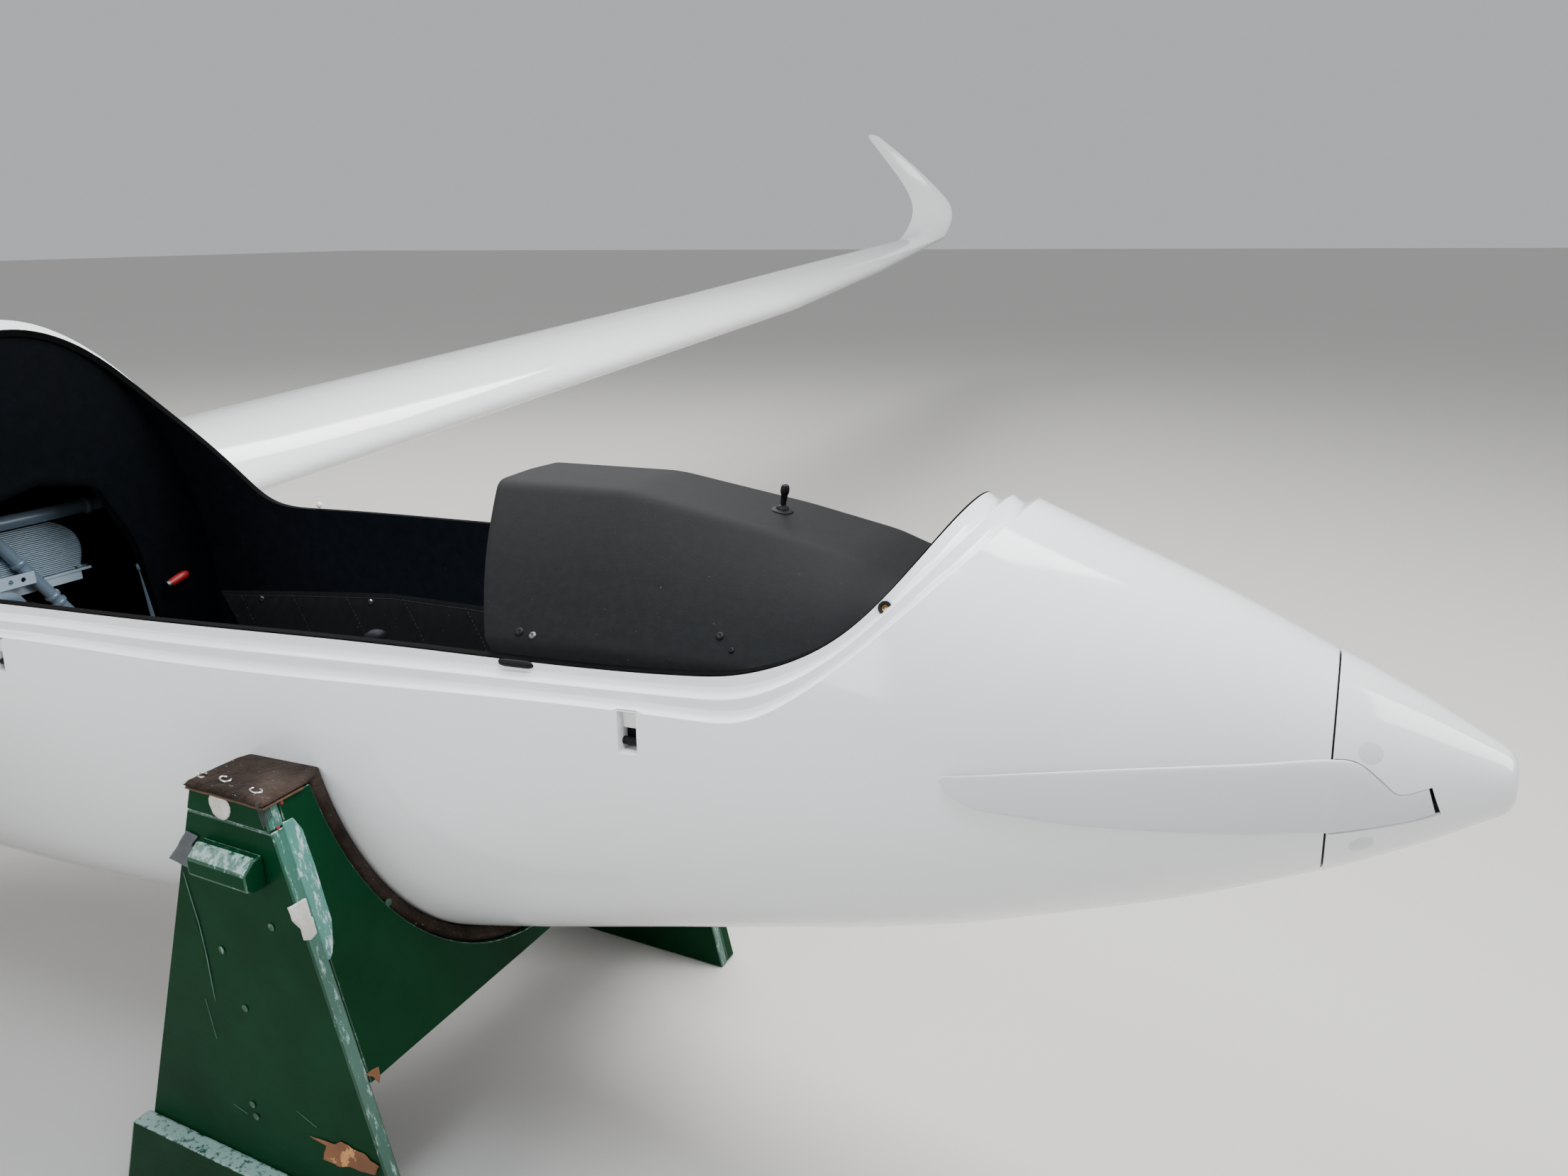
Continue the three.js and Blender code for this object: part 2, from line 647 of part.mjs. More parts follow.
const AIRBRAKE_SINK = 3;
const airbrakeSlot = (side) => airbrakeBox(side, 0, AIRBRAKE.slot / 2, AIRBRAKE.depth, 40);
const airbrake = (side) =>
  airbrakeBox(side, -RUNNING, AIRBRAKE.blade / 2, AIRBRAKE.depth - TOUCH, -AIRBRAKE_SINK)
    .add(airbrakeBox(side, -RUNNING, AIRBRAKE.cap / 2, AIRBRAKE_SINK + 5, -AIRBRAKE_SINK));

function wing(side) {
  return loft(WING.map((row) => wingRing(row, side)))
    .subtract(hull(1700, 3190, TOUCH))
    .subtract(aileronBay(side))
    .add(aileronBrackets(side))
    .subtract(airbrakeSlot(side));
}

function wingTip(side) {
  const inner = [...WING_TIP[0]];
  inner[0] += TOUCH;
  return loft([inner, ...WING_TIP.slice(1)].map((row) => wingRing(row, side)));
}

// Tail surfaces: symmetric sections between a leading and a trailing edge.
function symmetricRing(lead, trail, thickness, place) {
  const chord = trail - lead;
  const side = (sign) => CHORD_POINTS.map((x) => place(lead + x * chord, sign * halfThickness(x, thickness) * chord));
  const [one, other] = [side(1), side(-1)];
  return [...one, place(trail, -0.002 * chord), ...other.slice(1, -1).reverse()];
}

const finRing = ([height, lead, trail]) =>
  symmetricRing(lead, trail, FIN_THICKNESS, (station, off) => at(station, off, height));
const tailRing = ([out, lead, trail]) =>
  symmetricRing(lead, trail, TAIL_THICKNESS, (station, off) => at(station, out, TAILPLANE_HEIGHT + off));

function rowBetween(table, value) {
  const i = Math.max(1, table.findIndex((row) => row[0] >= value));
  const t = (value - table[i - 1][0]) / (table[i][0] - table[i - 1][0]);
  return table[i].map((cell, c) => THREE.MathUtils.lerp(table[i - 1][c], cell, t));
}

const noseRadius = ([, lead, trail], hinge, thickness) =>
  halfThickness((hinge - lead) / (trail - lead), thickness) * (trail - lead);

// Section of a rudder or elevator: a half-round nose on the hinge line and a straight taper.
function controlRing(radius, hinge, trail, place) {
  const nose = Array.from({ length: 9 }, (_, i) => {
    const turn = Math.PI / 2 + (Math.PI * i) / 8;
    return place(hinge + radius * Math.cos(turn), radius * Math.sin(turn));
  });
  return [place(trail, 1.2), ...nose, place(trail, -1.2)];
}

function rudder() {
  return loft([RUDDER_FROM, RUDDER_TO].map((height) => {
    const row = rowBetween(FIN, height);
    const radius = noseRadius(row, RUDDER_HINGE, FIN_THICKNESS);
    return controlRing(radius, RUDDER_HINGE, row[2], (station, off) => at(station, off, height));
  }));
}

function elevator() {
  const tip = TAILPLANE[1];
  const rows = [[-tip[0] + 2, tip[1], tip[2]], TAILPLANE[0], [tip[0] - 2, tip[1], tip[2]]];
  return loft(rows.map((row) => controlRing(noseRadius(row, ELEVATOR_HINGE, TAIL_THICKNESS),
    ELEVATOR_HINGE, row[2], (station, off) => at(station, row[0], TAILPLANE_HEIGHT + off))));
}

function tailplane() {
  const [root, tip] = TAILPLANE;
  const rows = [[-tip[0], tip[1], tip[2]], root, tip];
  const radius = (row) => noseRadius(row, ELEVATOR_HINGE, TAIL_THICKNESS) + RUNNING;
  const far = 6800;
  const behind = [-1, 1].map((side) => planPrism([
    [ELEVATOR_HINGE - radius(root), -side],
    [ELEVATOR_HINGE - radius(tip), side * (tip[0] + 20)],
    [far, side * (tip[0] + 20)],
    [far, -side],
  ], [1000, 1400]));
  const brackets = [-950, -320, 320, 950].map((y) => {
    const row = rowBetween(TAILPLANE, Math.abs(y) - 5);
    const nose = noseRadius(row, ELEVATOR_HINGE, TAIL_THICKNESS);
    return bracket(ELEVATOR_HINGE - radius(row), ELEVATOR_HINGE - nose, [y - 5, y + 5],
      [TAILPLANE_HEIGHT - 4, TAILPLANE_HEIGHT + 4]);
  });
  return joined([loft(rows.map(tailRing)).subtract(joined(behind)), ...brackets]);
}

function fin() {
  const [low, high] = [rowBetween(FIN, 0), rowBetween(FIN, 1175)];
  const rear = (row) => RUDDER_HINGE - noseRadius(row, RUDDER_HINGE, FIN_THICKNESS) - RUNNING;
  const front = sidePrism([[5600, -100], [rear(low), -100], [rear(low), 0], [rear(high), 1175],
    [rear(high), 1300], [5600, 1300]], [-200, 200]);
  const brackets = [250, 600, 950].map((height) => {
    const row = rowBetween(FIN, height - 5);
    const nose = noseRadius(row, RUDDER_HINGE, FIN_THICKNESS);
    return bracket(rear(row), RUDDER_HINGE - nose, [-4, 4], [height - 5, height + 5]);
  });
  return joined([loft(FIN.map(finRing)).intersect(front), ...brackets])
    .subtract(hull(5300, 6450, TOUCH))
    .subtract(block(5500, 7000, [-200, 200], [-300, 62]))
    .subtract(loft([[-1300, ...TAILPLANE[1].slice(1)], TAILPLANE[0], [1300, ...TAILPLANE[1].slice(1)]]
      .map(([out, lead, trail]) => symmetricRing(lead - 2, trail + 2, TAIL_THICKNESS + 0.003,
        (station, off) => at(station, out, TAILPLANE_HEIGHT + off)))))
    .subtract(block(5500, 7000, [-200, 200], [TAILPLANE_HEIGHT, 1500]));
}

function tailBoom() {
  const { station, radius, width } = TAIL_WHEEL;
  const clear = width / 2 + 8;
  const slot = block(station - radius - 15, station + radius + 15, [-clear, clear], [-200, 64]);
  return hull(CENTRE_END + TOUCH, BOOM_END).subtract(slot);
}

// Undercarriage.
// A turned piece about a crosswise axle. Profile columns: distance from the middle plane, radius.
function wheelPiece({ station }, height, profile, segments) {
  const points = profile.map(([y, radius]) => new THREE.Vector2(radius, y));
  const geometry = new THREE.LatheGeometry(points, segments);
  geometry.translate(-station, 0, height);
  return solidOf(geometry);
}

function tyre(wheel, height) {
  const { radius, width, rim } = wheel;
  const half = width / 2;
  const profile = [[-half * 0.62, rim], [-half * 0.95, rim + (radius - rim) * 0.3],
    [-half, rim + (radius - rim) * 0.55], [-half * 0.72, radius * 0.955], [-half * 0.3, radius],
    [half * 0.3, radius], [half * 0.72, radius * 0.955], [half, rim + (radius - rim) * 0.55],
    [half * 0.95, rim + (radius - rim) * 0.3], [half * 0.62, rim], [-half * 0.62, rim]];
  return wheelPiece(wheel, height, profile, wheel.radius > 100 ? 36 : 24);
}

function rim(wheel, height) {
  const { width, rim: edge, bore } = wheel;
  const half = width * 0.31;
  const outer = edge - TOUCH;
  const profile = [[-half, bore], [-half, bore * 2.4], [-half * 0.35, bore * 2.6], [-half * 0.35, outer - 12],
    [-half, outer - 6], [-half, outer], [half, outer], [half, outer - 6], [half * 0.35, outer - 12],
    [half * 0.35, bore * 2.6], [half, bore * 2.4], [half, bore], [-half, bore]];
  return wheelPiece(wheel, height, profile, wheel.radius > 100 ? 36 : 24);
}

function gearFork() {
  const { station, height, width, axle } = WHEEL;
  const leg = width / 2 + 12;
  const legs = [-1, 1].map((side) => {
    const outline = [[FORK_PIVOT.station - 18, FORK_PIVOT.height + 20], [FORK_PIVOT.station + 26, FORK_PIVOT.height + 22],
      [station + 10, height + 24], [station + 26, height + 10], [station + 26, height - 12],
      [station + 8, height - 24], [FORK_PIVOT.station + 26, FORK_PIVOT.height - 24],
      [FORK_PIVOT.station - 20, FORK_PIVOT.height - 16]];
    return sidePrism(outline, side > 0 ? [leg, leg + 12] : [-leg - 12, -leg]);
  });
  const pivotHole = tube(at(FORK_PIVOT.station, -200, FORK_PIVOT.height),
    at(FORK_PIVOT.station, 200, FORK_PIVOT.height), 14 + PIN_GAP);
  const spindle = tube(at(station, -leg - 16, height), at(station, leg + 16, height), axle, 12);
  const brace = tube(at(2117, -leg - 2, -263), at(2117, leg + 2, -263), 9);
  return joined([...legs, spindle, brace]).subtract(pivotHole);
}

// A closed door: a slice of the hull's skin, up to the bay's edge on its own side.
function gearDoor(side) {
  const [from, to] = [BAY.from + 3, BAY.to - 3];
  const width = side > 0 ? [1.5, BAY.halfWidth - TOUCH] : [TOUCH - BAY.halfWidth, -1.5];
  return hull(from, to).subtract(hull(from - 50, to + 50, -5)).intersect(block(from, to, width, [-600, -300]));
}

function tailFairing() {
  const { station, height, width, axle } = TAIL_WHEEL;
  const inner = width / 2 + 8;
  const cheeks = [-1, 1].map((side) => {
    const outline = [[station - 105, 60], [station + 130, 60], [station + 95, 0], [station + 30, height - 18],
      [station - 22, height - 18], [station - 75, -5]];
    return sidePrism(outline, side > 0 ? [inner, inner + 7] : [-inner - 7, -inner]);
  });
  const spindle = tube(at(station, -inner - 7, height), at(station, inner + 7, height), axle, 10);
  return joined([...cheeks.map((cheek) => cheek.subtract(hull(5900, 6390, TOUCH))), spindle]);
}

// The glider's frame: pitched nose up and lifted off the floor.
const glider = new THREE.Group();
glider.rotation.y = -PITCH;
glider.position.z = NOSE_HEIGHT;
glider.updateMatrix();

// A cradle stands upright on the floor, so its seat is cut by the hull in the glider's frame.
function cradle([name, place, top, halfWidth, from, to, foreFoot, aftFoot]) {
  const half = ARM_LENGTH / 2;
  const seat = (grow) => {
    const solid = hull(from, to, grow).getMesh();
    const geometry = new THREE.BufferGeometry();
    geometry.setAttribute('position', new THREE.BufferAttribute(solid.vertProperties, 3));
    geometry.setIndex(new THREE.BufferAttribute(solid.triVerts, 1));
    return solidOf(geometry, glider.matrix);
  };
  const inner = halfWidth - BOARD;
  const frontAt = (z) => place - half - FRONT_FLARE * (top - z);
  const rearAt = (z) => place + half + REAR_FLARE * (top - z);

  const side = (sign) => {
    const board = sidePrism([[place - half, top], [place + half, top], [rearAt(0), 0], [frontAt(0), 0]],
      sign > 0 ? [inner, halfWidth] : [-halfWidth, -inner]);
    const outside = (depth) => (sign > 0 ? [halfWidth - 1, halfWidth + depth] : [-halfWidth - depth, 1 - halfWidth]);
    const plank = sidePrism([[frontAt(PLANK.height), PLANK.height], [rearAt(PLANK.height) + 8, PLANK.height],
      [rearAt(0) + 8, 0], [frontAt(0), 0]], outside(PLANK.thickness));
    const grip = block(place - GRIP.length / 2, place + GRIP.length / 2, outside(GRIP.out),
      [top - GRIP.drop - GRIP.height, top - GRIP.drop]);
    return joined([board, plank, grip]);
  };

  const plate = (front) => {
    const edge = front ? frontAt : rearAt;
    const foot = front ? foreFoot : aftFoot;
    const inward = front ? PLATE : -PLATE;
    const outline = [[edge(top), top], [edge(foot), foot], [edge(foot) + inward, foot],
      [edge(top) + inward, top]];
    const width = inner - TOUCH;
    return sidePrism(outline, [-width, width]).subtract(seat(FELT));
  };

  const felt = () => {
    const band = block(place - half, place + half, [-inner + TOUCH, inner - TOUCH], [0, top])
      .intersect(seat(FELT - TOUCH));
    const caps = [-1, 1].map((sign) => block(place - half - 4, place + half + 4,
      sign > 0 ? [40, halfWidth + 3] : [-halfWidth - 3, -40], [top + TOUCH, top + FELT_CAP]));
    const bridge = block(place - half, place + half, [-inner + TOUCH, inner - TOUCH], [top - 30, top + FELT_CAP])
      .intersect(seat(FELT - TOUCH));
    return joined([band, bridge, ...caps]).subtract(seat(TOUCH));
  };

  return [
    meshOf(`cradle_${name}_side_port`, side(1), GREEN_WOOD),
    meshOf(`cradle_${name}_side_starboard`, side(-1), GREEN_WOOD),
    meshOf(`cradle_${name}_plate_fore`, plate(true), GREEN_WOOD),
    meshOf(`cradle_${name}_plate_aft`, plate(false), GREEN_WOOD),
    meshOf(`cradle_${name}_felt`, felt(), DARK_FELT),
  ];
}

// Left and right pieces by loops.
const SIDES = [['port', 1], ['starboard', -1]];

const starboardBlade = meshOf('propeller_blade_starboard', blade(), BLADE_WHITE);
const portBlade = meshOf('propeller_blade_port', blade(), BLADE_WHITE);
portBlade.applyMatrix4(halfTurn);

glider.add(
  meshOf('cockpit_shell', cockpitShell(), GELCOAT),
  meshOf('centre_section', centreSection(), GELCOAT),
  meshOf('tail_boom', tailBoom(), GELCOAT),
  meshOf('fin', fin(), GELCOAT),
  meshOf('rudder', rudder(), GELCOAT),
  meshOf('tailplane', tailplane(), GELCOAT),
  meshOf('elevator', elevator(), GELCOAT),
  meshOf('spinner', spinner(), GELCOAT),
  meshOf('propeller_hub', propellerHub(), DARK_STEEL),
  starboardBlade,
  portBlade,
  meshOf('nose_motor', motor(), DARK_STEEL),
  meshOf('seat_pan', seatPan(), BLACK_TRIM),
  meshOf('rear_bulkhead', rearBulkhead(), BLACK_TRIM),
  meshOf('instrument_hood', instrumentHood(), CHARCOAL),
  meshOf('instrument_panel', instrumentPanel(), BLACK_TRIM),
  meshOf('hood_toggle', hoodToggle(), BLACK_TRIM),
  meshOf('control_stick', controlStick(), BLACK_TRIM),
  meshOf('tube_frame', tubeFrame(), BLUE_STEEL),
  meshOf('motor_controller', motorController(), BARE_ALUMINIUM),
  meshOf('main_gear_fork', gearFork(), BLUE_STEEL),
  meshOf('main_wheel_rim', rim(WHEEL, WHEEL.height), BARE_ALUMINIUM),
  meshOf('main_tyre', tyre(WHEEL, WHEEL.height), TYRE_BLACK),
  meshOf('tail_wheel_fairing', tailFairing(), GELCOAT),
  meshOf('tail_wheel_rim', rim(TAIL_WHEEL, TAIL_WHEEL.height), BARE_ALUMINIUM),
  meshOf('tail_tyre', tyre(TAIL_WHEEL, TAIL_WHEEL.height), TYRE_BLACK),
);
for (const [name, side] of SIDES) {
  glider.add(
    meshOf(`wing_${name}`, wing(side), GELCOAT),
    meshOf(`wing_tip_${name}`, wingTip(side), GELCOAT),
    meshOf(`aileron_${name}`, aileron(side), GELCOAT),
    meshOf(`airbrake_${name}`, airbrake(side), BARE_ALUMINIUM),
    meshOf(`upholstery_${name}`, upholstery(side), BLACK_TRIM),
    meshOf(`gear_door_${name}`, gearDoor(side), GELCOAT),
  );
}

const group = new THREE.Group();
group.add(glider, ...CRADLES.flatMap(cradle));

// The origin is under the middle of the whole thing.
group.updateMatrixWorld(true);
const bounds = new THREE.Box3().setFromObject(group, true);
group.position.x = -(bounds.min.x + bounds.max.x) / 2;
group.updateMatrixWorld(true);

export default group;
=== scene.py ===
import math

import bmesh
import bpy
import numpy as np
from mathutils import Matrix, Vector

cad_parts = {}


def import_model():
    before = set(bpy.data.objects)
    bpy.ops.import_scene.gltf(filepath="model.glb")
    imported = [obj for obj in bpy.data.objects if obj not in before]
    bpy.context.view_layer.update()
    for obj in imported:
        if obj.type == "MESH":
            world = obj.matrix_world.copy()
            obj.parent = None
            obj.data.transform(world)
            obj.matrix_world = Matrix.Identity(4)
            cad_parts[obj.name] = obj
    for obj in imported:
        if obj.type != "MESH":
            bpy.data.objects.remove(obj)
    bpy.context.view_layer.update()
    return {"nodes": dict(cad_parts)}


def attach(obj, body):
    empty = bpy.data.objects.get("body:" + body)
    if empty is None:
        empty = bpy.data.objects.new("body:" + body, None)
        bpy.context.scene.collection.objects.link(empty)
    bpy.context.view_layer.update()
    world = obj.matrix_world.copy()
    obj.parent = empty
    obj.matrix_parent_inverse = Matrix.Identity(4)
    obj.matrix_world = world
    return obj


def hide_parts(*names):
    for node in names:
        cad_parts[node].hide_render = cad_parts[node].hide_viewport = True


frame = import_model()

# Stance of the glider: pitched nose up, its nose this far forward and this high. Metres.
PITCH = math.radians(2.4)
NOSE_FORWARD = 3.3921417
NOSE_HEIGHT = 0.730

# Fuselage sections. Columns: station behind the spinner's front, half width, height of the widest
# line, of the top and of the bottom in millimetres, squareness of the upper and the lower half.
HULL = np.array([
    [151, 105.5, 0, 105.5, -105.5, 2, 2],
    [250, 146, 0, 153, -146, 2, 2.02],
    [360, 181, 0, 199, -183, 2, 2.04],
    [460, 206, -2, 241, -215, 2, 2.07],
    [620, 230, -8, 303, -256, 2, 2.1],
    [800, 247, -14, 352, -297, 2, 2.11],
    [1150, 279, -28, 405, -374, 2, 2.13],
    [1500, 302, -38, 434, -418, 2, 2.12],
    [1850, 311, -40, 445, -444, 2, 2.12],
    [2150, 308, -30, 428, -451, 2, 2.17],
    [2450, 290, -10, 380, -440, 2, 2.22],
    [2800, 245, 14, 306, -398, 2, 2.16],
    [3200, 183, 32, 236, -300, 2, 2.1],
    [3600, 134, 42, 186, -190, 2, 2.05],
    [4100, 104, 50, 156, -90, 2, 2],
    [4700, 87, 54, 140, -38, 2, 2],
    [5500, 70, 58, 128, -8, 2, 2],
    [6400, 54, 62, 114, 12, 2, 2],
]) * [1e-3, 1e-3, 1e-3, 1e-3, 1e-3, 1, 1]

# Canopy seat in side view: station and height of its outer line, then of the opening's edge.
SEAT = np.array([
    [426, 232, 479, 242], [520, 144, 534, 163], [608, 75, 612, 108], [649, 56, 660, 94],
    [700, 53, 710, 89], [1060, 54, 1060, 92], [1410, 53, 1410, 92], [1760, 51, 1740, 90],
    [1880, 60, 1850, 100], [1950, 120, 1905, 145], [2010, 200, 1965, 215], [2055, 290, 2020, 290],
    [2074, 370, 2040, 360], [2078, 460, 2044, 460],
]) * 1e-3

NOSE_START = 0.1481
SHELL_END = 6.398
WALL = 0.028
BAY_FRONT, BAY_REAR, BAY_HALF = 2.010, 2.460, 0.092


# Curves and surfaces.


def spline(knots, values):
    """Natural cubic through values at knots, worked out for whole arrays of positions."""
    gap = np.diff(knots)
    slope = np.diff(values, axis=0) / gap[:, None]
    inner = np.arange(1, len(knots) - 1)
    matrix = np.eye(len(knots))
    matrix[inner, inner - 1] = gap[:-1]
    matrix[inner, inner] = 2 * (gap[:-1] + gap[1:])
    matrix[inner, inner + 1] = gap[1:]
    right = np.zeros_like(values)
    right[1:-1] = 6 * np.diff(slope, axis=0)
    bend = np.linalg.solve(matrix, right)

    def at(x):
        x = np.asarray(x, float)
        k = np.clip(np.searchsorted(knots, x) - 1, 0, len(knots) - 2)
        a = ((knots[k + 1] - x) / gap[k])[..., None]
        b = 1 - a
        curve = (a**3 - a) * bend[k] + (b**3 - b) * bend[k + 1]
        return a * values[k] + b * values[k + 1] + curve * (gap[k] ** 2)[..., None] / 6

    return at


hull_values = spline(HULL[:, 0], HULL[:, 1:])
seat_chord = np.concatenate([[0], np.cumsum(np.hypot(*np.diff(SEAT[:, :2], axis=0).T))])
seat_values = spline(seat_chord, SEAT)


def world(points):
    """Turns (station, y, height) of the fuselage frame into the row frame."""
    s, y, z = np.moveaxis(np.asarray(points, float), -1, 0)
    c, n = math.cos(PITCH), math.sin(PITCH)
    return np.stack([-s * c - z * n + NOSE_FORWARD, y, -s * n + z * c + NOSE_HEIGHT], -1)


def hull_width(station, height, inset=0.0):
    """Half width at a height: w (1 - |u|^n)^(1/n), u the share of the half height used."""
    w, mid, top, low, n_top, n_low = np.moveaxis(hull_values(station), -1, 0)
    above = height >= mid
    half = np.where(above, top - mid, mid - low) - inset
    n = np.where(above, n_top, n_low)
    u = np.clip(np.abs(height - mid) / half, 0, 1)
    return (w - inset) * (1 - u**n) ** (1 / n)


def hull_point(station, turn, inset=0.0):
    """Skin point at an angle from the widest line: (w cos^(2/n), mid + h sin^(2/n))."""
    w, mid, top, low, n_top, n_low = np.moveaxis(hull_values(station), -1, 0)
    c, s = np.cos(turn), np.sin(turn)
    n = np.where(s >= 0, n_top, n_low)
    half = np.where(s >= 0, top - mid, mid - low) - inset
    y = (w - inset) * np.abs(c) ** (2 / n)
    return np.stack([station + 0 * y, y, mid + half * np.sign(s) * np.abs(s) ** (2 / n)], -1)


def even(points, count):
    """Resamples a polyline at equal steps of its own length."""
    run = np.concatenate([[0], np.cumsum(np.linalg.norm(np.diff(points, axis=0), axis=1))])
    want = np.linspace(0, run[-1], count)
    return np.stack([np.interp(want, run, column) for column in points.T], -1)


def seat_row(share, inset, count):
    """The seat line at a share of the way to the opening's edge, on the hull sunk by an inset,
    port side, from the middle of the front to the middle of the rear."""
    line = seat_values(np.linspace(0, seat_chord[-1], 2400))
    s = line[:, 0] + share * (line[:, 2] - line[:, 0])
    z = line[:, 1] + share * (line[:, 3] - line[:, 1])
    over = z - (hull_values(s)[:, 2] - inset)
    inside = np.flatnonzero(over < 0)
    first, last = inside[0], inside[-1]
    ends = []
    for a, b in ((first - 1, first), (last, last + 1)):
        t = over[a] / (over[a] - over[b])
        ends.append([s[a] + t * (s[b] - s[a]), 0.0, z[a] + t * (z[b] - z[a])])
    body = np.stack([s, hull_width(s, z, inset), z], -1)[first:last + 1]
    return even(np.concatenate([[ends[0]], body, [ends[1]]]), count)


def smoother(t):
    """A smooth step from 0 to 1."""
    return t * t * (3 - 2 * t)


def rounded(points, times=2, closed=False):
    """Cuts the corners of a profile: each point becomes two, a quarter of the way along."""
    points = np.asarray(points, float)
    for _ in range(times):
        following = np.roll(points, -1, 0) if closed else points[1:]
        here = points if closed else points[:-1]
        cut = np.stack([0.75 * here + 0.25 * following, 0.25 * here + 0.75 * following], 1)
        cut = cut.reshape(-1, points.shape[1])
        points = cut if closed else np.concatenate([points[:1], cut[1:-1], points[-1:]])
    return points


def grid_part(points, round_rows=False, round_columns=False):
    """A grid of points as quads. Vertex (row, column) is number row * columns + column."""
    rows, columns = points.shape[:2]
    r = np.arange(rows if round_rows else rows - 1)[:, None]
    c = np.arange(columns if round_columns else columns - 1)[None, :]
    down, right = (r + 1) % rows, (c + 1) % columns
    quads = np.stack([r * columns + c, r * columns + right, down * columns + right,
                      down * columns + c], -1)
    return points.reshape(-1, 3), [quads.reshape(-1, 4)]


def loft_part(rings, ends=(True, True)):
    """Closed rings joined in order, with a fan of triangles over each end that is to be shut."""
    points, faces = grid_part(rings, round_columns=True)
    count, around = rings.shape[:2]
    for wanted, row, turn in ((ends[0], 0, 1), (ends[1], count - 1, -1)):
        if not wanted:
            continue
        centre = len(points)
        points = np.concatenate([points, rings[row].mean(0)[None]])
        edge = row * around + np.arange(around)
        fan = np.stack([np.full(around, centre), np.roll(edge, -turn), edge], -1)
        faces.append(fan)
    return points, faces


def fan_part(loop):
    """A flat face over a closed loop of points, as triangles round its middle."""
    count = len(loop)
    edge = np.arange(count)
    faces = np.stack([edge, np.roll(edge, -1), np.full(count, count)], -1)
    return np.concatenate([loop, [loop.mean(0)]]), [faces]


def sweep(path, profile, up=(0, 0, 1), closed=False):
    """Carries a closed profile of (across, over) along a path, square to it all the way."""
    path = np.asarray(path, float)
    along = np.gradient(path, axis=0)
    if closed:
        along = np.roll(path, -1, 0) - np.roll(path, 1, 0)
    along /= np.linalg.norm(along, axis=1)[:, None]
    across = np.cross(along, up)
    across /= np.linalg.norm(across, axis=1)[:, None]
    over = np.cross(across, along)
    profile = np.broadcast_to(profile, (len(path),) + np.shape(profile)[-2:])
    return (path[:, None] + profile[..., :1] * across[:, None] + profile[..., 1:] * over[:, None])


def circle(radius, count=16):
    """A closed round profile; the radius may change along the path."""
    turn = np.linspace(0, 2 * np.pi, count, endpoint=False)
    ring = np.stack([np.cos(turn), np.sin(turn)], -1)
    return ring * np.asarray(radius, float)[..., None, None] if np.ndim(radius) else ring * radius


def rod(start, end, radius, count=20, rounding=0.0008):
    """A straight round bar with a small rounding at each end."""
    start, end = np.asarray(start, float), np.asarray(end, float)
    axis = (end - start) / np.linalg.norm(end - start)
    up = (0, 0, 1) if abs(axis[2]) < 0.9 else (1, 0, 0)
    path = np.stack([start, start + axis * rounding, end - axis * rounding, end])
    radii = np.array([radius - rounding, radius, radius, radius - rounding])
    return loft_part(sweep(path, circle(radii, count), up))


def hose(points, radius, count=14, steps=60):
    """A round bar along a smooth curve through the points."""
    points = np.asarray(points, float)
    run = np.concatenate([[0], np.cumsum(np.linalg.norm(np.diff(points, axis=0), axis=1))])
    path = spline(run, points)(np.linspace(0, run[-1], steps))
    return loft_part(sweep(path, circle(np.full(steps, radius), count), (0.03, 0.02, 1)))


def turned_part(origin, axis, profile, count=48, closed=True):
    """A profile of (along the axis, radius) turned about the axis through origin."""
    axis = np.asarray(axis, float) / np.linalg.norm(axis)
    side = np.cross(axis, (0, 0, 1) if abs(axis[2]) < 0.9 else (1, 0, 0))
    side /= np.linalg.norm(side)
    third = np.cross(axis, side)
    turn = np.linspace(0, 2 * np.pi, count, endpoint=False)
    ring = np.cos(turn)[:, None] * side + np.sin(turn)[:, None] * third
    profile = np.asarray(profile, float)
    points = (np.asarray(origin, float) + profile[:, None, :1] * axis
              + profile[:, None, 1:] * ring[None])
    return grid_part(points, round_rows=closed, round_columns=True)


def slab_part(outline, thickness):
    """A flat plate: a closed outline of 3-D points and its copy moved by the thickness."""
    outline = np.asarray(outline, float)
    return loft_part(np.stack([outline, outline + np.asarray(thickness, float)]))


def box_part(low, high):
    """A rectangular block in the row frame or, through place(), in the fuselage frame."""
    (x0, y0, z0), (x1, y1, z1) = low, high
    ring = np.array([[x0, y0], [x1, y0], [x1, y1], [x0, y1]])
    return loft_part(np.stack([np.c_[ring, np.full(4, z)] for z in (z0, z1)]))


def place(part):
    """The same part carried from the fuselage frame into the row frame."""
    return world(part[0]), part[1]


def placed(parts):
    return [place(part) for part in parts]


def mirrored(part):
    return part[0] * [1, -1, 1], [face[:, ::-1] for face in part[1]]


def on_side(part, hand):
    """A port part, placed as it is (hand 1) or mirrored to starboard (hand -1)."""
    return place(part if hand > 0 else mirrored(part))


SIDES = (("port", 1), ("starboard", -1))


# Pieces.

WELD = 1e-6
BEVEL_ANGLE = math.radians(35)


